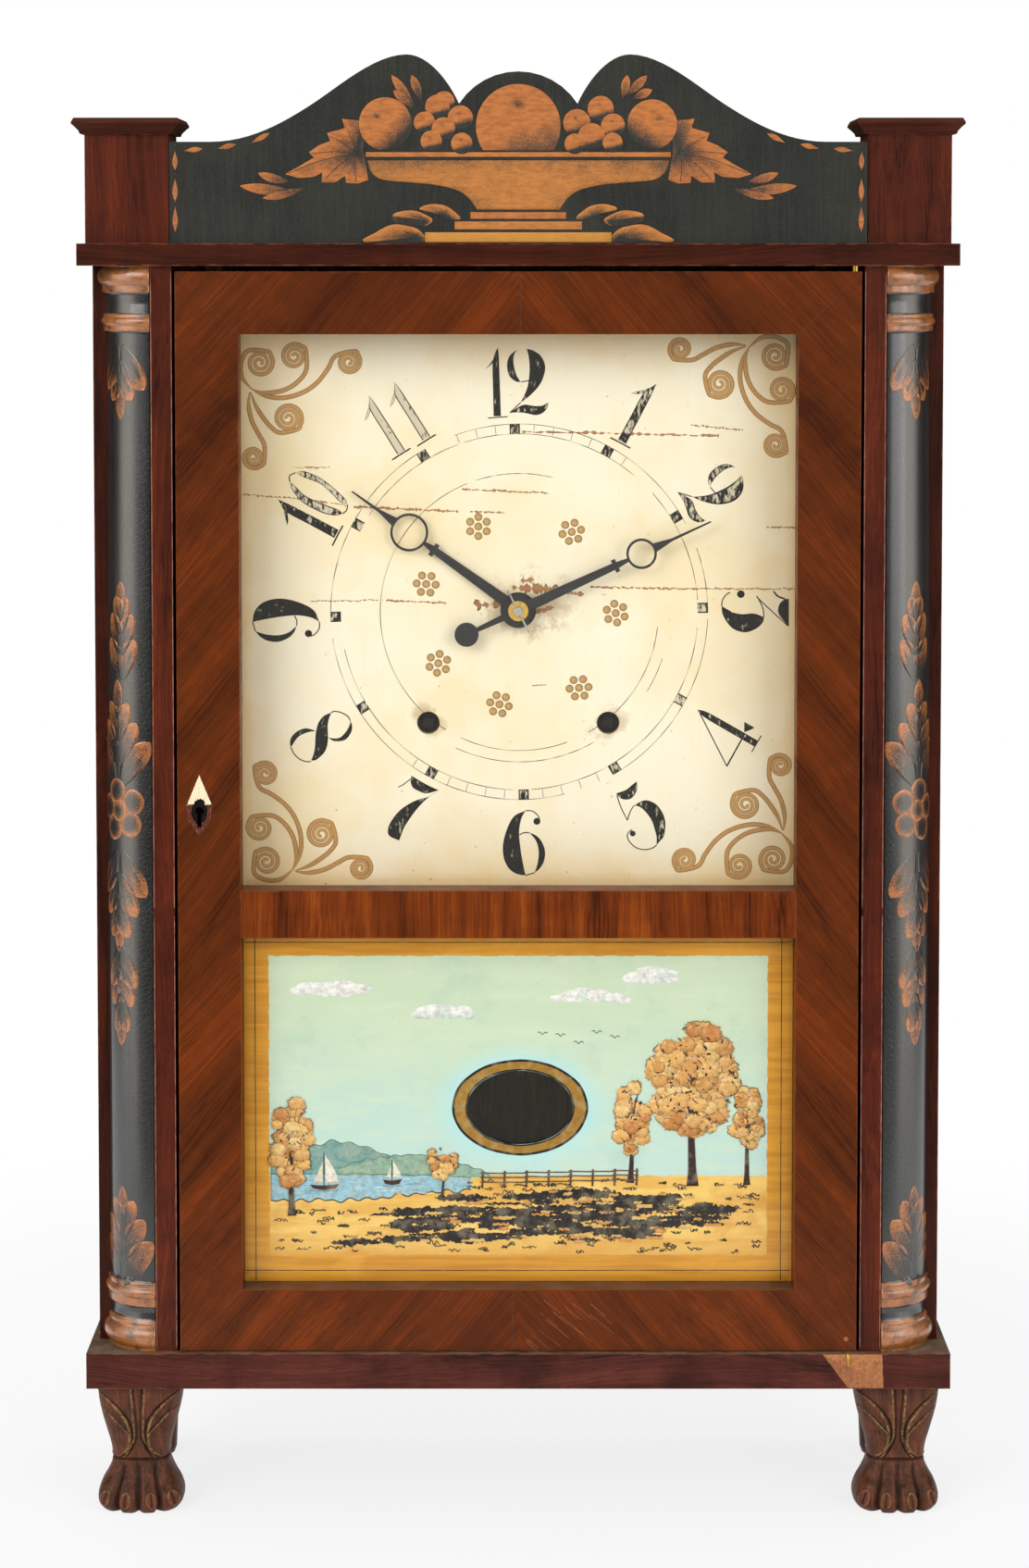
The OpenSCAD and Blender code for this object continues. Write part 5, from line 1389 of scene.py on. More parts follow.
@dataclass
class PawFeet:
    """The carved front feet, two paws under leaves."""

    rows: tuple[tuple[float, float, float, float], ...] = (
        (0.0, 19.4, 19.5, 15.0), (0.04, 21.1, 21.6, 16.0), (0.1, 21.3, 21.9, 16.2), (0.17, 19.8, 19.6, 15.8),
        (0.24, 17.2, 16.2, 15.0), (0.32, 14.9, 13.4, 14.2), (0.4, 14.3, 12.8, 14.0), (0.5, 15.2, 13.8, 14.2),
        (0.62, 17.3, 16.2, 15.0), (0.75, 19.5, 18.4, 16.0), (0.88, 21.0, 19.8, 17.0), (1.0, 21.3, 20.2, 17.6))
    fullness: float = 3.2
    ankle: float = 0.385
    toes: tuple[float, ...] = (-0.8, -0.3, 0.32, 0.82)
    clefts: tuple[float, ...] = (-0.54, 0.0, 0.54)
    leaf_edge: Points = ((0.39, 0.74), (0.44, 0.42), (0.5, 0.25), (0.6, 0.2), (0.7, 0.25), (0.77, 0.37),
                         (0.83, 0.51), (0.89, 0.71), (0.93, 0.92), (0.95, 1.05))
    leaf_vein: Points = ((0.58, 0.22), (0.62, 0.3), (0.68, 0.48), (0.76, 0.7), (0.8, 0.9), (0.81, 1.05))
    stem: Points = ((0.39, 0.52), (0.44, 0.36), (0.5, 0.2), (0.56, 0.09), (0.64, 0.07), (0.8, 0.08),
                    (0.97, 0.11))

    def centre(self) -> tuple[float, float, float]:
        """Half the distance between the feet, the depth of their middle, and their height."""
        low, high = node_box("paw_feet")
        return float(high[0]) - 21.3, float(low[1]) + 21.9, float(high[2])

    def carving(self, across: np.ndarray, h: np.ndarray, half: np.ndarray, front: np.ndarray
                ) -> tuple[np.ndarray, np.ndarray]:
        """How deep the surface is cut, in millimetres, with the tone that goes with it.

        Args:
            across: The place across the foot as a share of its half width there.
            h: The height as a share of the foot's height.
            half: The half width in millimetres.
            front: How far the surface faces front, 0 to 1.

        Returns:
            The depth and the tone.
        """
        cut = np.zeros_like(h)
        ridge = np.zeros_like(h)
        dirt = np.zeros_like(h)
        for points, width, depth in ((self.leaf_edge, 0.85, 1.3), (self.leaf_vein, 0.6, 0.8),
                                     (self.stem, 0.7, 1.1)):
            low, high = points[0][0], points[-1][0]
            path = np.interp(h, *flow(points, 200).T)
            inside = np.clip((h - low) / 0.02, 0, 1) * np.clip((high + 0.02 - h) / 0.02, 0, 1) * front
            near = bell((np.abs(across) - path) * half, width) * inside
            beside = bell((np.abs(across) - path) * half - 1.5 * width, width * 0.6) * inside
            cut += depth * near - 0.35 * beside
            ridge = np.maximum(ridge, beside)
            dirt = np.maximum(dirt, near)
        ring = bell(h - self.ankle, 0.011)
        lip = bell(h - self.ankle - 0.022, 0.01)
        cut += 1.2 * ring - 0.3 * lip
        dirt = np.maximum(dirt, ring)
        low = np.clip((self.ankle - 0.01 - h) / 0.05, 0, 1) * front
        deepen = np.interp(h, [0.0, 0.14, 0.3, 0.38], [4.2, 3.6, 1.3, 0.3])
        for cleft in self.clefts:
            near = bell((across - cleft) * half, np.interp(h, [0, 0.3], [1.7, 1.1])) * low
            cut += deepen * near
            dirt = np.maximum(dirt, 0.8 * near)
        knuckle = bell(h - 0.2, 0.035) * low
        claws = np.zeros_like(h)
        for toe in self.toes:
            side = (across - toe) * half
            cut -= 0.5 * knuckle * bell(side, 3.0)
            lean = side - 12 * toe * (0.1 - h)
            oval = (lean / 2.3) ** 2 + ((h - 0.1) / 0.055) ** 2
            nail = np.clip((1.1 - oval) / 0.3, 0, 1) * low
            rim = bell(oval - 1.05, 0.2) * low
            slit = bell(lean, 0.55) * nail
            cut += 0.5 * slit - 0.35 * rim - 0.2 * nail
            claws = np.maximum(claws, nail)
            dirt = np.maximum(dirt, np.maximum(slit, 0.45 * bell(oval - 1.8, 0.3) * low))
            ridge = np.maximum(ridge, 0.75 * rim * np.clip(0.4 + h / 0.15, 0, 1))
        return (cut, layered(ridge, claws, np.clip(dirt, 0, 1)))

    def foot(self, draft: Draft, side: int) -> None:
        """Adds one foot.

        Level sections are rounded squares whose half width and reaches run smoothly through the
        rows, and each is then cut in towards the middle by the carving. Columns crowd to the front.
        """
        centre_x, centre_y, tall = self.centre()
        rows, columns = 150, 260
        h = np.linspace(0, 1, rows)[:, None]
        profile = [flow([(row[0], row[k]) for row in self.rows], 300) for k in (1, 2, 3)]
        half, fore, back = (np.interp(h, *curve.T) for curve in profile)
        turn = np.linspace(-math.pi, math.pi, columns, endpoint=False)[None, :]
        turn = turn - 0.55 * np.sin(turn)
        power = 2 / self.fullness
        across = np.sign(np.sin(turn)) * np.abs(np.sin(turn)) ** power
        depth = np.abs(np.cos(turn)) ** power
        facing = np.clip(np.cos(turn) / 0.25, 0, 1) * np.ones_like(h)
        reach = np.where(np.cos(turn) > 0, fore, back)
        across = across * np.ones_like(h)
        cut, tone = self.carving(across, h * np.ones_like(across), half * np.ones_like(across), facing)
        bow = 1 - 0.10 * np.clip(1 - h / 0.3, 0, 1) * across ** 2
        x = across * half
        y = np.where(np.cos(turn) > 0, -1, 1) * depth * reach * bow
        length = np.hypot(x, y) + 1e-6
        x, y = x * (1 - cut / length), y * (1 - cut / length)
        points = layered(side * centre_x + x, centre_y + y, h * tall * np.ones_like(x))
        middle = np.broadcast_to(points.mean(1, keepdims=True), points.shape)
        draft.grid(np.concatenate([middle[:1], points, middle[-1:]]),
                   np.concatenate([tone[:1], tone, tone[-1:]]))

    def build(self) -> None:
        """Carves both feet as one piece."""
        draft = Draft()
        self.foot(draft, -1)
        self.foot(draft, 1)
        settle(draft.make("carved_paw_feet"), CarvedWood().material("carved_stain"), "root",
               "carved_mahogany", "paw_feet")


# ---------------------------------------------------------------- stencilled bronze


def powder(foot: float, tip: float, vein: float = 0.45, rise: float = 1.4) -> Tone:
    """Bronze that thickens from a stroke's foot to its tip and thins towards its middle line."""
    def tone(s: np.ndarray, t: np.ndarray) -> np.ndarray:
        """The tone at a place across and a place along."""
        share = (foot + (tip - foot) * t ** rise) * (1 - vein * (1 - np.abs(2 * s - 1)))
        return layered(share, 0, 0)
    return tone


def ball(bright: float, dark: float, away: Pair, smudge: Pair | None = None) -> Tone:
    """Bronze on a fruit, thin on the side away from the light and in a smudge near its eye.

    Args:
        bright: How thick the bronze lies on the lit side.
        dark: How thick it lies on the far side.
        away: The way the shade lies, as a share of the radius across and up.
        smudge: Where the eye is, as a share of the radius, or None.

    Returns:
        The tone, from the place out from the centre and round clockwise from the top.
    """
    def tone(s: np.ndarray, t: np.ndarray) -> np.ndarray:
        """The tone at a place out and a place round."""
        across, up = s * np.sin(2 * math.pi * t), s * np.cos(2 * math.pi * t)
        shade = np.clip((across * away[0] + up * away[1] - 0.05) / 0.75, 0, 1)
        share = bright + (dark - bright) * shade
        share = share * (1 - 0.18 * np.cos(17 * s) ** 8 * shade)
        if smudge:
            near = bell(across - smudge[0], 0.16) * bell(up - smudge[1], 0.13)
            share = share * (1 - 0.65 * near)
        return layered(share, 0, 0)
    return tone


def leaf(paint: Paint, foot: Pair, tip: Pair, width: float, tone: Tone, bend: float = 0.0,
         blunt: float = 0.8) -> None:
    """Lays a leaf whose half width is the sine of the way along, widest past its middle."""
    start, end = np.asarray(foot, float), np.asarray(tip, float)
    t = np.linspace(0, 1, 22)[:, None]
    along = end - start
    side = np.array([-along[1], along[0]]) / np.hypot(*along)
    middle = start + along * t + side * bend * 4 * t * (1 - t)
    half = width / 2 * np.sin(math.pi * t ** 1.25) ** blunt
    paint.ribbon(middle - side * half, middle + side * half, tone)


@dataclass
class Splat:
    """The shaped crest with its stencilled bowl of fruit, leaves and border of dashes."""

    ground: BlackPaint = BlackPaint(dark="141512", pale="38382F", rubbed=0.3, roughness=0.55)
    bowl: Points = ((74.1, 671.0), (72.2, 665.4), (67.0, 661.7), (53.6, 660.3), (42.3, 659.3), (31.1, 656.9),
                    (25.2, 653.5), (21.5, 649.0), (20.3, 647.1))
    steps: tuple[tuple[float, float, float, float], ...] = (
        (23.3, 642.3, 646.1, 0.0), (31.0, 637.1, 641.6, 0.25), (45.4, 630.9, 636.3, 0.9))
    grapes: tuple[tuple[float, float, float], ...] = ((-36.0, 699.5, 5.4), (-39.3, 696.9, 6.4),
                                                      (-28.2, 691.5, 6.6), (-45.6, 689.4, 5.6),
                                                      (-36.4, 686.1, 6.2), (-42.3, 680.3, 5.6),
                                                      (-27.5, 679.2, 5.6), (40.1, 695.9, 6.8),
                                                      (28.5, 689.2, 7.1), (46.1, 687.8, 6.3),
                                                      (35.6, 682.4, 7.1), (45.9, 679.6, 5.2),
                                                      (27.5, 679.0, 5.4))
    sprig: tuple[tuple[float, float, float, float], ...] = (
        (-50.5, 697.3, -61.7, 712.3), (-47.0, 699.9, -51.8, 712.3), (-50.5, 696.3, -60.8, 705.0),
        (50.9, 700.7, 53.1, 712.3), (52.8, 702.4, 62.6, 712.0), (55.4, 700.8, 65.1, 705.2))
    vine: Points = ((-74.5, 690.4), (-81.9, 690.8), (-85.8, 691.3), (-84.4, 686.8), (-88.4, 685.6),
                    (-93.1, 684.4), (-91.6, 680.4), (-97.0, 678.4), (-102.1, 674.9), (-99.6, 672.3),
                    (-106.0, 668.6), (-113.8, 664.2), (-107.3, 662.3), (-99.5, 662.9), (-95.6, 665.0),
                    (-95.8, 660.2), (-89.2, 660.2), (-84.3, 663.4), (-83.9, 660.0), (-78.0, 659.6),
                    (-73.0, 661.4), (-74.0, 668.0), (-75.5, 675.5), (-75.0, 684.0))
    vine_heart: Pair = (-79.0, 674.5)
    tips: Points = ((-84.8, 689.0), (-92.0, 683.0), (-100.5, 674.2), (-112.0, 664.6), (-94.0, 661.8),
                    (-79.0, 660.6))
    fronds: tuple[tuple[float, float, float, float, float], ...] = ((-108.0, 656.0, -135.7, 658.6, 5.2),
                                                                    (-111.0, 660.4, -126.7, 664.8, 4.4),
                                                                    (-104.0, 657.6, -124.5, 652.6, 4.2))
    base_leaves: tuple[tuple[Points, Pair], ...] = (
        (((-75.3, 631.3), (-69.2, 636.2), (-61.6, 639.8), (-54.0, 639.2), (-48.3, 637.1), (-46.4, 631.3)),
         (-49.0, 633.6)),
        (((-61.1, 644.7), (-56.4, 646.4), (-50.7, 646.6), (-45.0, 644.5), (-41.7, 641.9), (-45.5, 639.0),
          (-54.0, 639.5), (-60.2, 640.7)), (-44.5, 641.4)),
        (((-48.3, 647.7), (-44.6, 649.4), (-39.8, 649.8), (-34.1, 648.3), (-28.0, 643.0), (-32.2, 642.3),
          (-39.8, 644.7), (-45.5, 645.6)), (-36.0, 643.9)))
    dashes: tuple[tuple[float, float, float, float], ...] = (
        (-162.9, 675.6, -153.5, 676.6), (-146.5, 676.6, -137.2, 678.8), (-130.0, 679.4, -120.9, 684.2),
        (-167.1, 675.7, -167.1, 666.3), (-167.1, 662.5, -167.1, 650.8), (-167.1, 648.8, -167.1, 636.2))

    def bowl_shape(self, paint: Paint) -> None:
        """Lays the bowl, its rim and the steps under it."""
        right = np.asarray(self.bowl, float)

        def body(s: np.ndarray, t: np.ndarray) -> np.ndarray:
            """Bronze that thins under the rim and at both sides."""
            shade = 0.86 - 0.3 * np.clip(1 - t / 0.12, 0, 1) - 0.22 * np.abs(2 * s - 1) ** 3
            return layered(shade, 0.25, 0)

        paint.swell(right * (-1, 1), right, body, count=40)
        paint.line([(-74.2, 673.8), (0, 673.8), (74.2, 673.8)], 2.3, level(0.88, 0.15), count=12)
        for half, low, high, gold in self.steps:
            middle = (low + high) / 2
            paint.line([(-half, middle), (0, middle), (half, middle)], high - low - 0.5, level(0.92, gold),
                       count=12)

    def fruit(self, paint: Paint) -> None:
        """Lays the apples, the round fruit that the rim cuts and the grapes, one coat over another."""
        outline = (0.0, 687.4) + 20.7 * round_about(full_turn(64))
        outline[:, 1] = np.maximum(outline[:, 1], 675.8)
        paint.blob(outline, (0.0, 687.4), ball(0.95, 0.35, (0.5, -0.85), (0.0, 0.55)), rings=12)
        paint.dot((-64.7, 688.7), 12.9, ball(0.95, 0.02, (0.7, -0.7), (-0.3, 0.28)), count=48, rings=12)
        paint.dot((65.1, 688.4), 12.2, ball(0.95, 0.05, (-0.6, -0.8), (0.3, 0.25)), count=48, rings=12)
        for x, z, radius in self.grapes:
            paint.dot((x, z), radius * 0.94, ball(1.0, -0.35, (0.3, -1.0), (-0.1, 0.35)), rings=8)

    def leaves(self, paint: Paint, side: int) -> None:
        """Lays one side's vine leaf with its veins, and the smaller leaves below it."""
        flip = np.array([side, 1.0])
        heart = np.array(self.vine_heart)
        outline = round_outline(self.vine, 3)

        def glow(s: np.ndarray, t: np.ndarray) -> np.ndarray:
            """Bronze that is bright at the rim and dark towards the bowl."""
            inner = np.clip(np.minimum(t / 0.07, (0.88 - t) / 0.07), 0.0, 1.0)
            return layered((0.12 + 0.85 * s ** 1.1) * (0.25 + 0.75 * inner), 0, 0)

        def glow_up(s: np.ndarray, t: np.ndarray) -> np.ndarray:
            """Bronze that is bright at the rim of the upper side."""
            lit = 0.12 + 0.88 * np.clip((0.6 - t) / 0.14, 0.0, 1.0)
            return layered((0.05 + 0.95 * s ** 1.1) * lit, 0.25, 0)

        paint.blob(outline * flip, heart * flip, glow, rings=7)
        for tip in self.tips:
            end = np.array(tip)
            bow = (heart + end) / 2 + (end - heart)[::-1] * (0.04, -0.04)
            paint.line(np.array([heart, bow, end]) * flip, 0.4, level(0.0), count=12)
        for x0, z0, x1, z1, width in self.fronds:
            leaf(paint, (side * x0, z0), (side * x1, z1), width, powder(0.05, 1.0, 0.15, 0.9), 0.5 * side)
        for points, centre in self.base_leaves:
            dense = flow(points, 40, closed=True)
            paint.blob(dense * flip, centre * flip, glow_up, rings=7)
            for tip in points[:-1]:
                end = centre + 0.8 * (np.array(tip) - centre)
                paint.line(np.array([centre, end]) * flip, np.linspace(0.34, 0.12, 10), level(0.0), count=10)
        for x0, z0, x1, z1 in self.dashes:
            leaf(paint, (side * x0, z0), (side * x1, z1), 2.6, level(0.75), blunt=1.1)

    def build(self) -> None:
        """Dresses the crest and lays its stencil."""
        dress(self.ground, "splat")
        paint = Paint(upright(front_of("splat")), 0.04)
        self.leaves(paint, 1)
        self.leaves(paint, -1)
        for x0, z0, x1, z1 in self.sprig:
            leaf(paint, (x0, z0), (x1, z1), 4.4, powder(0.1, 1.0, 0.3, 0.8))
        self.bowl_shape(paint)
        self.fruit(paint)
        paint.make("splat_stencil", BronzePowder(self.ground).material("splat_bronze"), "root", "black_paint")


@dataclass
class Columns:
    """The half columns: turned, black with bronze rings, with stencilled leaves and a rosette.

    Each stands in the corner between the door strip and the jamb. Its outline is a line through
    heights and radii, and each ring adds a half circle to it.
    """

    ground: BlackPaint = BlackPaint(dark="0D0E0E", pale="2B2D2C", rubbed=0.3, roughness=0.34, coat=1.0,
                                    shine=0.6, bands=((82.0, 97.4), (104.2, 116.5), (587.7, 596.4),
                                                      (606.5, 619.8)))
    axis: Pair = (180.0, -31.0)
    jamb: float = -36.0
    outline: Points = ((82.0, 25.8), (95.9, 25.8), (97.6, 24.6), (101.0, 24.2), (104.1, 24.6),
                       (104.2, 25.8), (116.4, 25.8), (116.5, 25.0), (272.0, 25.2), (430.0, 24.6),
                       (587.6, 23.3), (587.7, 25.3), (596.3, 25.3), (596.4, 24.2), (601.3, 23.8),
                       (606.4, 24.4), (606.5, 25.8), (619.8, 25.8))
    rings: tuple[tuple[float, float, float], ...] = (
        (88.9, 6.9, 28.4), (110.9, 3.3, 27.2), (592.5, 2.4, 26.4), (614.6, 5.2, 28.2))
    spine: float = math.radians(43.5)
    middle: float = 351.4
    hanging: tuple[tuple[float, float, Points], ...] = (
        (-1.3, 544.5, ((-7.9, 553.5), (-14.8, 559.0))),
        (0.0, 280.8, ((-6.0, 288.0), (-10.7, 299.0), (-15.6, 309.0))),
        (-1.0, 234.1, ((-4.6, 241.0), (-7.6, 254.0), (-9.6, 263.0))))
    upright: tuple[tuple[float, float, Points], ...] = (
        (-1.3, 465.1, ((-4.8, 457.5), (-8.4, 448.9), (-9.8, 436.5))),
        (0.9, 416.4, ((-5.9, 405.0), (-10.7, 395.4), (-18.0, 386.0))),
        (-0.7, 163.7, ((-8.0, 157.0), (-13.6, 148.0), (-17.8, 137.0))))

    def radius(self, z: np.ndarray) -> np.ndarray:
        """How far the column stands out from its axis at each height."""
        out = np.interp(z, *np.array(self.outline).T)
        for middle, half, reach in self.rings:
            rise = np.sqrt(np.clip(half ** 2 - (z - middle) ** 2, 0, None))
            out = np.where(rise > 0, np.maximum(out, reach - half + rise), out)
        return out

    def turned(self, draft: Draft, side: int) -> None:
        """Turns one column: an arc from the door strip round to the jamb, and the corner behind it."""
        steps = [np.array(self.outline)[:, 0], np.linspace(82.0, 619.8, 260)]
        steps += [middle + half * np.sin(np.linspace(-1.57, 1.57, 19)) for middle, half, _ in self.rings]
        z = np.unique(np.concatenate(steps).round(3))[:, None]
        radius = self.radius(z)
        turn = np.linspace(0, 1, 61)[None, :] * np.arccos((self.axis[1] - self.jamb) / radius)
        x = np.concatenate([radius * np.sin(turn), 0 * z], 1)
        y = np.concatenate([self.axis[1] - radius * np.cos(turn), self.jamb + 0 * z], 1)
        points = layered(side * (self.axis[0] + x), y, z + 0 * x)
        heart = np.broadcast_to(points.mean(1, keepdims=True), points.shape)
        draft.grid(np.concatenate([heart[:1], points, heart[-1:]]))

    def place(self, side: int) -> Place:
        """The placing on one column: across is the arc out from the spine towards the side."""
        def put(u: np.ndarray, v: np.ndarray, lift: np.ndarray) -> np.ndarray:
            """The place at an arc across, a height and a lift."""
            radius = self.radius(v)
            turn = np.clip(self.spine + u / radius, 0.01, 1.35)
            out = radius + lift
            return layered(side * (self.axis[0] + out * np.sin(turn)), self.axis[1] - out * np.cos(turn), v)
        return put

    def spray(self, paint: Paint, u: float, z: float, lobes: Points, way: int) -> None:
        """Lays one stencilled leaf: pairs of lobes and a tip, each fading towards the spine."""
        for out, height in reversed(lobes):
            for side in (-1, 1):
                tip = (u + side * (out - u), height)
                foot = (u + side * (out - u) * 0.12, height - way * (19.0 + 0.25 * abs(out)))
                leaf(paint, foot, tip, 9.5 + 0.18 * abs(out), powder(0.0, 1.0, 0.3, 1.6), -side * way * 1.6,
                     blunt=0.6)
        leaf(paint, (u, z - way * 21.0), (u, z), 7.5, powder(0.0, 1.0, 0.45, 1.5), blunt=0.7)

    def rosette(self, paint: Paint) -> None:
        """Lays a rosette of five round petals, bright at their rims, round a bright-rimmed eye."""
        for petal in range(5):
            at = (0.0, self.middle) + 9.6 * round_about(2 * math.pi * (petal + 0.15) / 5)
            paint.dot(at, 6.4, lambda s, t: layered(0.06 + 0.86 * s ** 3.0, 0, 0), rings=8)
        paint.dot((0.0, self.middle), 5.4, lambda s, t: layered(0.1 + 0.85 * s ** 2.2, 0, 0), rings=8)

    def build(self) -> None:
        """Turns both columns and lays their stencils."""
        draft = Draft()
        self.turned(draft, -1)
        self.turned(draft, 1)
        settle(draft.make("turned_columns"), self.ground.material("column_black"), "root", "black_paint",
               "half_columns")
        for side, name in ((-1, "left"), (1, "right")):
            paint = Paint(self.place(side), thickness=0.04, sunk=0.06)
            for way, sprays in ((-1, self.hanging), (1, self.upright)):
                for u, z, lobes in sprays:
                    self.spray(paint, u, z, lobes, way)
            self.rosette(paint)
            plain = replace(self.ground, bands=())
            paint.make(f"column_stencil_{name}", BronzePowder(plain).material(f"column_bronze_{name}"),
                       "root", "black_paint")


# ---------------------------------------------------------------- the painted tablet


@dataclass(frozen=True)
class TabletGround(Finish):
    """The tablet's broad colours: an ochre border darkened at its outer edge as painted shade, a sky, a
    field, and a paler ring round the window.
    """

    scene: tuple[float, float, float]
    horizon: float
    window: Pair
    skies: tuple[str, ...] = ("C0DED2", "CADCBA", "D6E2C0", "A8CBB2")
    halo: str = "B4E4E2"
    fields: tuple[str, ...] = ("F4CC6E", "E4B050", "D4923A", "E0A446")
    # The last border colour is painted shade along the film's outer edge, beside the door frame.
    border_tints_and_shade: tuple[str, ...] = ("E4A02A", "CE8C1E", "F2B23E", "A06A16")
    border_width: float = 12.5
    speck: str = "7A7450"

    def lay_nodes(self, bench: Coating) -> None:
        """The scene's rectangle has a slightly ragged edge."""
        spot = bench.spot()
        x, _, z = bench.parts(spot)
        half, low, high = self.scene
        ragged = bench.span(bench.noise(spot, 0.25, 3.0), 0.3, 0.7, -0.25, 0.25)
        rise = abs(z - (low + high) / 2)
        edge = bench.least(half - abs(x), (high - low) / 2 - rise) + ragged
        brushed = bench.noise(bench.stretch(spot, 0.03, 1.0, 0.16), 1.0, 4.0, 0.6)
        clouds = bench.noise(spot, 0.035, 4.0, 0.6)
        sky = bench.mix(bench.span(z, self.horizon, high - 14.0), self.skies[0], self.skies[1])
        sky = bench.mix(bench.span(brushed, 0.42, 0.7, 0.0, 0.5), sky, self.skies[2])
        sky = bench.mix(bench.span(clouds, 0.5, 0.75, 0.0, 0.45), sky, self.skies[3])
        away = bench.vector("SUBTRACT", spot, (self.window[0], 0.0, self.window[1]))
        away = bench.vector("LENGTH", bench.stretch(away, 1 / 34.0, 0.0, 1 / 24.0))
        sky = bench.mix(bench.span(away, 0.95, 1.4, 0.75, 0.0), sky, self.halo)
        field = bench.mix(bench.span(brushed, 0.35, 0.65), self.fields[0], self.fields[1])
        field = bench.mix(bench.span(clouds, 0.48, 0.66, 0.0, 0.6), field, self.fields[2])
        field = bench.mix(bench.span(z, low, low + 16.0, 0.5, 0.0), field, self.fields[3])
        ground = z + ragged * 1.6
        inside = bench.mix(bench.span(ground, self.horizon - 0.4, self.horizon + 0.4), field, sky)
        streaks = bench.noise(bench.stretch(spot, 0.02, 1.0, 0.4), 1.0, 3.0)
        border = bench.mix(bench.span(streaks, 0.35, 0.7), self.border_tints_and_shade[0], self.border_tints_and_shade[1])
        border = bench.mix(bench.span(clouds, 0.5, 0.75, 0.0, 0.5), border, self.border_tints_and_shade[2])
        # Painted shade: the border darkens within a few millimetres of the film's outer edge.
        outer = bench.least(half + self.border_width - abs(x), (high - low) / 2 + self.border_width - rise)
        border = bench.mix(bench.span(outer, -1.0, 4.0, 0.55, 0.0), border, self.border_tints_and_shade[3])
        colour = bench.mix(bench.span(edge, -0.25, 0.25), border, inside)
        specks = bench.span(bench.noise(spot, 0.7, 2.0), 0.7, 0.76, 0.0, 0.6)
        colour = bench.mix(specks, colour, self.speck)
        bench.set(Base_Color=colour, Roughness=bench.span(brushed, 0.3, 0.7, 0.35, 0.5), Coat_Weight=0.35,
                  Coat_Roughness=0.06, Normal=bench.bump(brushed, 0.02))


@dataclass(frozen=True)
class Colours(Finish):
    """Opaque colours; the tone is the colour itself, unevenly thinned."""

    shade: str = "6A4A30"
    haze: str = "E8D9B0"
    gloss: float = 0.35

    def lay_nodes(self, bench: Coating) -> None:
        """Clouds and brush marks darken and lighten the tone."""
        spot = bench.spot()
        colour = bench.tone()[0]
        clouds = bench.noise(spot, 0.45, 4.0, 0.65)
        colour = bench.mix(bench.span(clouds, 0.35, 0.7, 0.0, 0.35), colour, self.shade, "MULTIPLY")
        colour = bench.mix(bench.span(bench.noise(spot, 0.2, 3.0), 0.45, 0.7, 0.0, 0.16), colour, self.haze)
        bench.set(Base_Color=colour, Roughness=bench.span(clouds, 0.3, 0.7, 0.4, 0.55),
                  Coat_Weight=self.gloss, Coat_Roughness=0.06, Normal=bench.bump(clouds, 0.02))


def flat(code: str) -> Tone:
    """A tone that is one screen colour all over a stroke."""
    red, green, blue, _ = tint(code)
    return level(red, green, blue)


@dataclass(frozen=True)
class Palette:
    """The colours of the tablet's picture."""

    ruling: str = "30200E"
    gold: str = "A87C24"
    gold_edge: str = "15110C"
    hills: tuple[str, str] = ("7FA9A0", "94B89E")
    hill_line: str = "4A6A5C"
    water: str = "9CC9D4"
    near_shore: str = "4A3A20"
    far_shore: str = "5C7A6A"
    waves: tuple[str, str] = ("6FA3B4", "D6ECEC")
    hull: str = "4A2A1C"
    sails: tuple[str, str] = ("F4EEDC", "E8DCC0")
    wake: str = "5A8088"
    line: str = "1E1612"
    bark: str = "3A2218"
    foliage: tuple[str, ...] = ("F0B864", "E0A04C", "F2C878", "D08A3E", "E6B060")
    shade: str = "231A14"
    tufts: tuple[str, str] = ("E2B866", "D9974A")
    post: str = "4A3424"
    rail: str = "6A4C30"
    puffs: tuple[str, ...] = ("F4F6EE", "FAFAF4", "DDE9DC")
    birds: str = "3A4440"


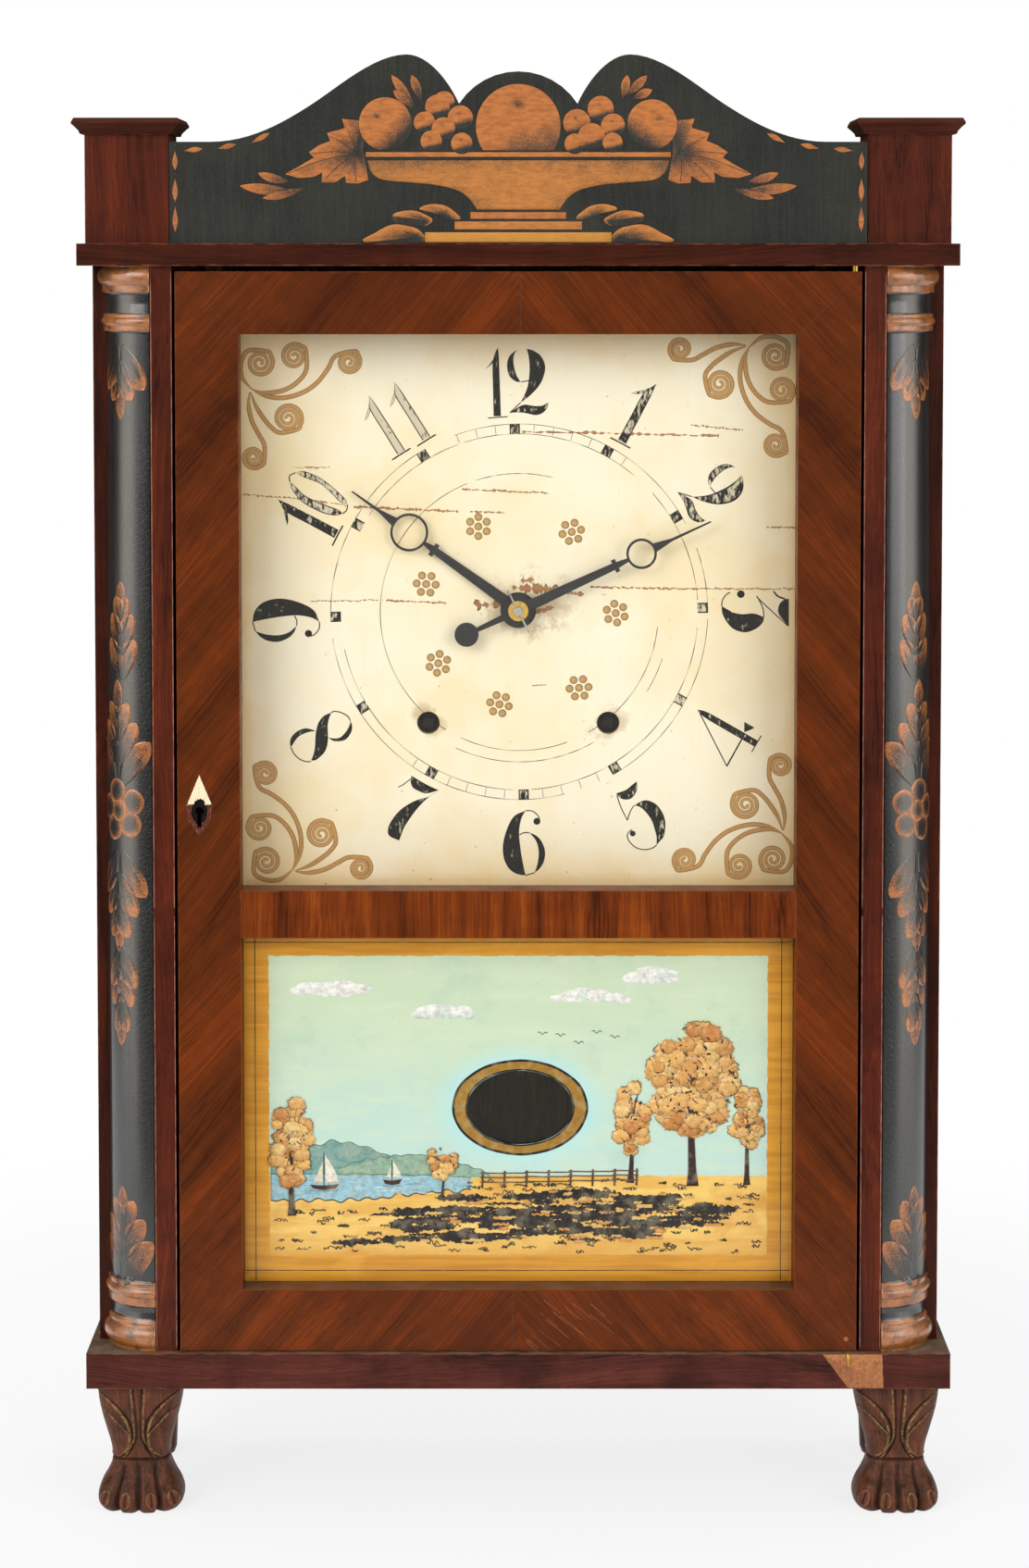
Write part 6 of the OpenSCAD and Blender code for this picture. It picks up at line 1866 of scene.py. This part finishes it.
@dataclass
class Tablet:
    """The painted tablet: a lake, boats, hills and autumn trees round an oval window.

    The film and the scene are given as half width, bottom and top, and the gold ring as its outer and
    inner half sizes across and up. A boat is a place across and up, and a size. A tree is its foot,
    its height, the half sizes of its crown, a seed and the number of leaf clumps.
    """

    size: tuple[float, float, float] = (136.55, 113.3, 289.0)
    scene: tuple[float, float, float] = (124.1, 126.4, 277.3)
    horizon: float = 166.6
    window: Pair = (0.9, 201.0)
    ring: tuple[float, float, float, float] = (33.2, 23.4, 26.4, 18.6)
    film: float = 0.2
    front: float = field(default_factory=lambda: front_of("painted_tablet") - 0.05)
    colours: Palette = Palette()
    boats: tuple[tuple[float, float, float], ...] = ((-97.0, 160.5, 7.0), (-63.0, 163.0, 4.6))
    trees: tuple[tuple[Pair, float, Pair, int, int], ...] = (
        ((56.0, 163.5), 52.0, (9.0, 19.0), 4, 46), ((114.0, 162.5), 50.0, (7.5, 18.0), 6, 40),
        ((87.0, 162.0), 84.0, (23.0, 31.0), 3, 170), ((-38.0, 156.5), 25.0, (8.5, 8.5), 9, 30),
        ((-113.0, 147.0), 60.0, (9.5, 24.0), 12, 64))

    def place(self) -> Place:
        """The placing on the film's front."""
        return upright(self.front - self.film)

    def sheet(self) -> None:
        """Lays the film: a sheet with square corners outside and the window's oval inside."""
        half, low, high = self.size
        outside = round_outline([(-half, low), (half, low), (half, high), (-half, high)], 40)
        away = outside - self.window
        turn = np.arctan2(away[:, 1] / self.ring[3], away[:, 0] / self.ring[2])
        inside = self.window + layered(self.ring[2] * np.cos(turn), self.ring[3] * np.sin(turn))
        share = np.array([0.0, 0.25, 0.5, 0.75, 1.0, 1.0, 0.5, 0.0])[:, None, None]
        lift = (np.arange(8)[:, None] < 5) * self.film - self.film
        plane = outside + (inside - outside) * share
        draft = Draft()
        draft.grid(self.place()(plane[..., 0], plane[..., 1], lift), rows_close=True)
        made = draft.make("tablet_film")
        made.data.polygons.foreach_set("use_smooth", np.zeros(len(made.data.polygons), bool))
        settle(made, TabletGround(self.scene, self.horizon, self.window).material("tablet_ground"), "door",
               "painted_glass")

    def oval(self, across: float, up: float) -> np.ndarray:
        """Points round the window."""
        return self.window + round_about(full_turn(72)) * (across, up)

    def frame_lines(self, paint: Paint) -> None:
        """Lays the thin ruled rectangle, its corner squares and the window's gold ring."""
        half, low, high = 131.0, 118.6, 284.1
        for ends in (((-half - 5, low), (half + 5, low)), ((-half - 5, high), (half + 5, high)),
                     ((-half, low - 5), (-half, high + 4)), ((half, low - 5), (half, high + 4))):
            paint.line(ends, 0.42, flat(self.colours.ruling), count=30)
        out_x, out_z, in_x, in_z = self.ring
        outer, inner = self.oval(out_x, out_z), self.oval(in_x + 0.1, in_z + 0.1)
        paint.ribbon(outer, inner, flat(self.colours.gold), closed=True)
        for across, up, width in ((out_x + 0.2, out_z + 0.2, 1.3), (in_x + 0.5, in_z + 0.5, 0.9)):
            wobble = 1 + 0.006 * ripple(np.linspace(0, 1, 72, endpoint=False), 3)[:, None]
            path = (self.oval(across, up) - self.window) * wobble + self.window
            paint.line(path, width, flat(self.colours.gold_edge), count=160, closed=True)

    def hills(self, paint: Paint) -> None:
        """Lays two low hills beyond the lake, the lake itself and its far shore."""
        for number, (left, right, tall) in enumerate(((-123.6, -52.0, 17.0), (-90.0, -14.0, 10.5))):
            t = np.linspace(0, 1, 48)
            x = left + (right - left) * t
            top = self.horizon + tall * np.sin(math.pi * np.clip(t * 0.92 + 0.08, 0, 1)) ** 0.8
            top = top + 0.9 * ripple(t, 20 + number)
            crest = layered(x, top)
            foot = layered(x, self.horizon - 1.0)
            paint.ribbon(crest, foot, flat(self.colours.hills[number]))
            paint.line(crest, 0.4, flat(self.colours.hill_line), count=80)
        t = np.linspace(0, 1, 60)
        x = -123.6 + 100.0 * t
        near = layered(x, 153.6 + 6.5 * t ** 2 + 1.2 * ripple(t, 5))
        far = layered(x, 167.6 - 2.0 * t ** 3 + 0.4 * ripple(t, 6))
        paint.ribbon(far, near, flat(self.colours.water))
        paint.line(near, 0.7, flat(self.colours.near_shore), count=80)
        paint.line(far, 0.5, flat(self.colours.far_shore), count=80)
        draw = np.random.default_rng(11)
        for _ in range(26):
            at_x, at_z = draw.uniform(-120, -42), draw.uniform(157.5, 166.0)
            paint.line([(at_x, at_z), (at_x + draw.uniform(3, 9), at_z + draw.uniform(-0.3, 0.3))], 0.35,
                       flat(self.colours.waves[draw.integers(2)]), count=6)

    def boat(self, paint: Paint, x: float, z: float, size: float) -> None:
        """Lays a small boat with a tall sail, a short one and a line of water under it."""
        paint.swell([(x - size, z + 1.6), (x, z + 1.2), (x + size * 1.1, z + 1.9)],
                    [(x - size * 0.75, z - 0.6), (x, z - 1.2), (x + size * 0.8, z - 0.6)],
                    flat(self.colours.hull))
        paint.line([(x, z + 1.0), (x, z + size * 2.5)], 0.5, flat(self.colours.line), count=6)
        paint.swell([(x + 0.7, z + 2.4), (x + 0.7, z + size * 1.2), (x + 0.5, z + size * 2.4)],
                    [(x + size * 1.05, z + 2.6), (x + size * 0.8, z + size * 1.2), (x + 0.5, z + size * 2.4)],
                    flat(self.colours.sails[0]), count=12)
        paint.swell([(x - 0.6, z + 2.4), (x - 0.6, z + size), (x - 0.5, z + size * 1.9)],
                    [(x - size * 0.8, z + 2.6), (x - size * 0.5, z + size * 0.9), (x - 0.5, z + size * 1.9)],
                    flat(self.colours.sails[1]), count=12)
        paint.line([(x - size, z - 1.7), (x + size, z - 1.5)], 0.4, flat(self.colours.wake), count=6)

    def tree(self, paint: Paint, foot: Pair, tall: float, crown: tuple[float, float], seed: int,
             clumps: int) -> None:
        """Lays a tree: a dark forked trunk under clumps of leaves with broken dark outlines.

        Args:
            paint: The strokes.
            foot: Where the trunk stands.
            tall: The tree's height.
            crown: The crown's half width and half height.
            seed: The seed of its clumps.
            clumps: How many clumps there are.
        """
        draw = np.random.default_rng(seed)
        x, z = foot
        middle = np.array([x, z + tall - crown[1]])
        size = tall / 75
        trunk = [(x, z - 0.5), (x + draw.uniform(-1, 1), z + 0.4 * tall),
                 (middle[0], middle[1] + 0.3 * crown[1])]
        paint.line(trunk, np.interp(np.linspace(0, 1, 20), [0, 0.12, 1], [5.4, 3.6, 1.2]) * size,
                   flat(self.colours.bark), count=20)
        for number in range(clumps):
            if number == clumps * 2 // 3:
                self.branches(paint, draw, foot, tall, middle, crown)
            turn, out = draw.uniform(0, 2 * math.pi), draw.uniform(0, 1) ** 0.55
            at = middle + np.array(crown) * 0.88 * out * round_about(turn)
            self.clump(paint, draw, at, draw.uniform(3.0, 5.2) * size ** 0.6, seed * 97 + number)
        for _ in range(clumps // 2):
            turn, out = draw.uniform(0, 2 * math.pi), draw.uniform(0, 0.9)
            at = middle + np.array(crown) * out * round_about(turn)
            paint.line([at, at + draw.uniform(-2.2, 2.2, 2)], draw.uniform(0.4, 1.2),
                       flat(self.colours.bark), count=6)

    def clump(self, paint: Paint, draw: np.random.Generator, at: np.ndarray, radius: float,
              seed: int) -> None:
        """Lays one clump of leaves with part of a dark outline."""
        t = np.linspace(0, 1, 30, endpoint=False)
        bumps = 1 + 0.22 * ripple(np.abs(2 * t - 1), seed, 4)
        rim = at + radius * bumps[:, None] * round_about(2 * math.pi * t) * (1.0, 0.85)
        leaves = self.colours.foliage[draw.integers(len(self.colours.foliage))]
        paint.blob(rim, at, flat(leaves), rings=2)
        arc = np.roll(rim, -draw.integers(30), 0)[:draw.integers(12, 24)]
        paint.line(arc, 0.4, flat(self.colours.line), count=14)

    def branches(self, paint: Paint, draw: np.random.Generator, foot: Pair, tall: float, middle: np.ndarray,
                 crown: tuple[float, float]) -> None:
        """Lays the forks that show between the clumps."""
        x, z = foot
        for _ in range(8):
            end = middle + np.array(crown) * draw.uniform(-0.75, 0.75, 2)
            paint.line([(x, z + 0.42 * tall), (middle + end) / 2 + (0, -2), end],
                       np.linspace(1.7, 0.4, 12) * tall / 75, flat(self.colours.bark), count=12)

    def field_marks(self, paint: Paint) -> None:
        """Lays the field's dark broken shade, its scribbled tufts and a rail fence."""
        draw = np.random.default_rng(5)
        for number in range(150):
            x, z = draw.normal(22.0, 52.0), draw.normal(145.0, 6.5)
            reach = draw.uniform(6, 30)
            if abs(x) + reach / 2 > 118 or not 132.5 < z < 161.0 or (x < -30 and z > 151):
                continue
            t = np.linspace(0, 1, 30)
            path = waver((x - reach / 2, z), (x + reach / 2, z), 30, 0.6, number, 3)
            width = draw.uniform(1.2, 4.2) * np.clip(np.sin(math.pi * t) ** 0.5
                                                     + 0.5 * ripple(t, 300 + number, 7), 0.06, 2)
            paint.line(path, width, flat(self.colours.shade), count=30)
        for number in range(60):
            x, z = draw.normal(22.0, 50.0), draw.uniform(133.0, 158.0)
            if abs(x) < 116 and not (x < -28 and z > 149):
                half = draw.uniform(3, 9) / 2
                path = waver((x - half, z), (x + half, z), 12, 0.4, 900 + number, 3)
                paint.line(path, draw.uniform(0.8, 1.8), flat(self.colours.tufts[number % 2]), count=12)
        for number in range(230):
            x, z = draw.uniform(-121, 119), draw.uniform(128.0, 165.0)
            if x < -25 and z > 150:
                continue
            t = np.linspace(0, 1, 18)
            path = layered(x + draw.uniform(2, 7) * (t - 0.5) + 0.8 * ripple(t, 500 + number, 2),
                           z + 1.0 * ripple(t, 700 + number, 2))
            paint.line(path, draw.uniform(0.3, 0.55), flat(self.colours.line), count=18)
        posts = np.arange(-18.0, 62.0, 11.0)
        for number, x in enumerate(posts):
            foot = 160.6 + 0.02 * x
            paint.line([(x, foot), (x + 0.3, foot + 8.5)], 1.0, flat(self.colours.post), count=6)
            if number:
                for rise in (2.6, 5.0, 7.2):
                    paint.line([(posts[number - 1] - 1, foot + rise + 0.3 * (number % 2)),
                                (x + 1, foot + rise)], 0.6, flat(self.colours.rail), count=6)

    def clouds(self, paint: Paint) -> None:
        """Lays small white clouds of overlapping puffs, and a line of birds."""
        draw = np.random.default_rng(8)
        for x, z, reach in ((-92.0, 260.0, 17.0), (-38.0, 248.0, 13.0), (36.0, 256.0, 16.0),
                            (66.0, 266.0, 10.0)):
            for puff in range(9):
                t = puff / 8
                at = (x + reach * (2 * t - 1), z + draw.uniform(-1.2, 1.2) + 1.6 * math.sin(math.pi * t))
                turn = full_turn(26)
                bumps = 1 + 0.12 * ripple(np.abs(turn / math.pi - 1), 60 + puff, 4)
                radius = draw.uniform(2.8, 4.4) * (0.6 + 0.7 * math.sin(math.pi * t))
                rim = at + radius * bumps[:, None] * round_about(turn) * (1.7, 0.8)
                paint.blob(rim, at, flat(self.colours.puffs[draw.integers(3)]), rings=2)
        for number in range(5):
            x, z = 48.0 - 9.0 * number, 236.0 + 3.0 * math.sin(2.2 * number)
            paint.line([(x - 2.4, z + 0.9), (x - 1.2, z + 1.3), (x, z), (x + 1.4, z + 1.2),
                        (x + 2.6, z + 0.6)], 0.4, flat(self.colours.birds), count=14)

    def build(self) -> None:
        """Lays the film and the picture on it."""
        self.sheet()
        paint = Paint(self.place(), thickness=0.02, sunk=0.03, step=0.0006)
        self.frame_lines(paint)
        self.hills(paint)
        for x, z, size in self.boats:
            self.boat(paint, x, z, size)
        self.clouds(paint)
        self.field_marks(paint)
        paint.make("tablet_picture", Colours().material("tablet_colours"), "door", "painted_glass")
        paint = replace(paint, thickness=paint.height(), strokes=0, draft=Draft())
        for foot, tall, crown, seed, clumps in self.trees:
            self.tree(paint, foot, tall, crown, seed, clumps)
        paint.make("tablet_trees", Colours().material("tree_colours"), "door", "painted_glass")


# ---------------------------------------------------------------- joint lines, wear and repairs


@dataclass
class Repairs:
    """The door's joint lines, the worn strips, and the base's chip and staple."""

    door_foot: float = 82.6
    glass_half: float = 136.7
    glass_foot: float = 113.2
    glass_top: float = 586.4
    chip: Points = ((150.6, 81.7), (180.4, 81.7), (181.0, 64.7), (163.4, 64.7))
    staple: Points = ((-59.2, 81.3), (-60.3, 81.5), (-61.0, 80.4), (-61.0, 78.0), (-60.6, 76.2),
                      (-59.2, 75.6))
    staple_x: float = 163.1
    wire: float = 0.85

    def joints(self) -> None:
        """Lays the veneer's mitre and seam lines, and a faint crack beside the keyhole."""
        low, high = node_box("door_stile_left", "door_stile_right", "door_top_rail")
        paint = Paint(upright(float(low[1])), thickness=0.03, sunk=0.03)
        half, foot, top = float(high[0]), self.door_foot, float(high[2])
        dark = level(0.2, 0.0)
        for side in (-1, 1):
            for out_z, in_z in ((top - 0.5, self.glass_top), (foot + 0.5, self.glass_foot)):
                ends = np.array([(side * (half - 0.5), out_z), (side * self.glass_half, in_z)])
                paint.line(ends, 0.22, dark, count=20)
        for x, z0, z1 in ((1.1, self.glass_top + 0.4, top - 0.4), (-2.9, foot + 0.4, self.glass_foot - 0.4)):
            paint.line([(x, z0), (x + 0.3, z1)], 0.3, dark, count=20)
        paint.line(waver((-151.0, 350.0), (-137.0, 352.0), 30, 0.25, 4), 0.22, dark, count=30)
        draw = np.random.default_rng(2)
        for _ in range(16):
            x, z = draw.uniform(0, 40), draw.uniform(86, 110)
            reach = draw.uniform(4, 13)
            paint.line([(x, z), (x + reach, z - 0.82 * reach)], draw.uniform(0.15, 0.4), level(0.6, 0.7),
                       count=8)
        paint.dot((162.6, 88.4), 1.2, level(0.5, 1.2), rings=3)
        wash = Wash("2A0E08", "A85A24", "2A0E08")
        paint.make("door_joint_lines", wash.material("joint_lines"), "door", "mahogany")

    def patch(self) -> None:
        """Lays the raw wood where the base's veneer is lost, with its darker specks."""
        paint = Paint(upright(front_of("base_board")), thickness=0.05, sunk=0.05)
        outline = round_outline(self.chip, 24)
        middle = outline.mean(0)
        ragged = 1 + 0.018 * ripple(np.linspace(0, 1, len(outline), endpoint=False), 31, 14)[:, None]
        outline = np.clip(middle + (outline - middle) * ragged, (-400.0, 64.6), (400.0, 81.8))
        paint.blob(outline, middle, lambda s, t: layered(0.5 + 0 * s, t, s), rings=6)
        draw = np.random.default_rng(14)
        for _ in range(70):
            x, z = draw.uniform(157.0, 179.0), draw.uniform(66.0, 80.6)
            if z < 81.7 - (x - 152.6) * 1.33:
                continue
            reach = draw.uniform(0.5, 1.9)
            paint.line([(x, z), (x + 0.2 * reach, z + 0.4 * reach), (x + 0.5, z + reach)],
                       draw.uniform(0.25, 0.7), level(0.5, draw.uniform(0.6, 1.6)), count=6)
        wash = Wash("BE7A42", "7E4628", "5A3018")
        paint.make("base_chip", wash.material("chip_wood"), "root", "mahogany")

    def hook(self) -> None:
        """Builds the staple of brass wire that is driven over the edge of the chip.

        Rings of the wire's radius stand square to a path that runs out of the board and back in.
        """
        path = flow(self.staple, 48)
        middle = layered(self.staple_x + 0.08 * (82.0 - path[:, 1]), path[:, 0], path[:, 1])
        along = np.gradient(middle, axis=0)
        along /= np.linalg.norm(along, axis=1, keepdims=True)
        aside = np.cross(along, np.cross((1.0, 0.0, 0.0), along))
        aside /= np.linalg.norm(aside, axis=1, keepdims=True)
        up = np.cross(along, aside)
        turn = np.linspace(0, 2 * math.pi, 16, endpoint=False)[None, :, None]
        rings = middle[:, None] + self.wire * (np.cos(turn) * aside[:, None] + np.sin(turn) * up[:, None])
        tips = [np.broadcast_to(ring.mean(0), rings[:1].shape) for ring in (rings[0], rings[-1])]
        draft = Draft()
        draft.grid(np.concatenate([tips[0], rings, tips[1]]))
        settle(draft.make("base_staple"), BRASS.material("staple_brass"), "root", "brass")

    def strip_edges(self) -> None:
        """Lays the pale worn lines along both edges of each strip beside the door."""
        paint = Paint(upright(front_of("door_stile_left")), thickness=0.02, sunk=0.03)
        t = np.linspace(0, 1, 120)
        for number, x in enumerate((-179.3, -169.4, 169.4, 179.3)):
            for foot, top in ((84.0, 300.0), (304.0, 617.0)):
                width = 0.1 + 0.3 * np.clip(0.7 + 0.6 * ripple(t, 70 + number, 14), 0, 1)
                path = layered(x, foot + (top - foot) * t)
                paint.line(path, width, level(0.5, 0.0), count=120)
        wash = Wash("8A5444", "B8897A", "5A3026")
        paint.make("strip_edge_lines", wash.material("worn_edge"), "root", "mahogany")

    def build(self) -> None:
        """Lays them all."""
        self.joints()
        self.patch()
        self.strip_edges()
        self.hook()


# ---------------------------------------------------------------- the studio


@dataclass
class Studio:
    """The camera, the lamps, the world and the floor."""

    camera_y: float = -1775.0
    camera_z: float = 619.5
    pitch: float = 3.314
    lens: float = 80.84
    shift: Pair = (-0.0024, -0.2001)
    aim: tuple[float, float, float] = (0.0, 0.0, 0.38)
    # Each lamp is a name, a place and a side length in metres, and a power in watts.
    lamps: tuple[tuple[str, tuple[float, float, float], float, float], ...] = (
        ("key", (-1.5, -1.9, 1.5), 1.5, 32.0), ("fill", (1.5, -1.9, 0.9), 1.5, 19.5),
        ("top", (0.1, 0.2, 2.1), 1.2, 9.0))
    daylight: float = 0.56
    bright_sides: float = 2.6
    dark_front: float = 0.02
    floor_reach: float = 1.3
    floor_front: float = 0.6

    def camera(self) -> None:
        """Stands the camera in front, pitched down, with the photograph's framing in its shift."""
        data = bpy.data.cameras.new("camera")
        data.sensor_width = 36.0
        data.lens = self.lens
        data.shift_x, data.shift_y = self.shift
        made = bpy.data.objects.new("camera", data)
        made.location = (0.0, self.camera_y * MM, self.camera_z * MM)
        made.rotation_euler = (math.radians(90 - self.pitch), 0.0, 0.0)
        bpy.context.scene.collection.objects.link(made)
        bpy.context.scene.camera = made

    def lamp(self, name: str, place: tuple[float, float, float], size: float, watts: float) -> None:
        """Hangs a square soft lamp that faces the middle of the clock."""
        data = bpy.data.lights.new(name, "AREA")
        data.size = size
        data.energy = watts
        made = bpy.data.objects.new(name, data)
        made.location = place
        aim = np.array(self.aim) - np.array(place)
        made.rotation_euler = (math.acos(-aim[2] / np.linalg.norm(aim)), 0.0,
                               math.atan2(aim[0], -aim[1]) + math.pi)
        bpy.context.scene.collection.objects.link(made)

    def world(self) -> None:
        """White for the camera and through glass, softer as a light, and for mirrored rays two bands.

        The bands stand to both sides, by the angle from the front, in a dark surround, so that
        black paint stays dark and turned work still shows its highlights.
        """
        world = bpy.data.worlds.new("studio")
        bpy.context.scene.world = world
        world.use_nodes = True
        world.node_tree.nodes.clear()
        bench = Bench(world.node_tree)
        seen = bench.most(bench.ray("Camera"), bench.ray("Transmission"))
        across, ahead, _ = bench.parts(bench.node("ShaderNodeTexCoord").outputs["Generated"])
        turn = bench.math("ARCTAN2", abs(across), ahead * -1.0)
        band = bench.span(turn, 0.6, 1.0) * bench.span(turn, 1.25, 1.7, 1.0, 0.0)
        mirrored = bench.ray("Glossy") * (band * self.bright_sides + self.dark_front)
        plain = (1.0 - bench.ray("Glossy")) * self.daylight
        back = bench.node("ShaderNodeBackground")
        warm = bench.mix(bench.ray("Glossy"), WHITE, (1.0, 0.93, 0.83, 1.0))
        bench.feed_all(back, warm, bench.most(seen, mirrored + plain))
        bench.feed(bench.node("ShaderNodeOutputWorld").inputs["Surface"], back.outputs[0])

    def floor(self) -> None:
        """Lays the floor, a broad sheet just under the feet."""
        mesh = bpy.data.meshes.new("floor")
        reach, front = self.floor_reach, self.floor_front
        corners = [(-reach, -front, 0), (reach, -front, 0), (reach, reach, 0), (-reach, reach, 0)]
        mesh.from_pydata(corners, [], [(0, 1, 2, 3)])
        made = bpy.data.objects.new("floor", mesh)
        made.data.materials.append(StudioFloor().material("studio_floor"))
        bpy.context.scene.collection.objects.link(made)

    def build(self) -> None:
        """Sets up the whole studio."""
        self.camera()
        for name, place, size, watts in self.lamps:
            self.lamp(name, place, size, watts)
        self.world()
        self.floor()
        bpy.context.scene.view_settings.view_transform = "Standard"


def main() -> None:
    """Builds the clock's looks from the case outwards."""
    logging.basicConfig(level=logging.INFO, format="%(message)s")
    Case().dress()
    Movement().dress()
    Door().dress()
    Dial().build()
    Tablet().build()
    Splat().build()
    Columns().build()
    Repairs().build()
    PawFeet().build()
    Studio().build()


if __name__ == "__main__":
    main()
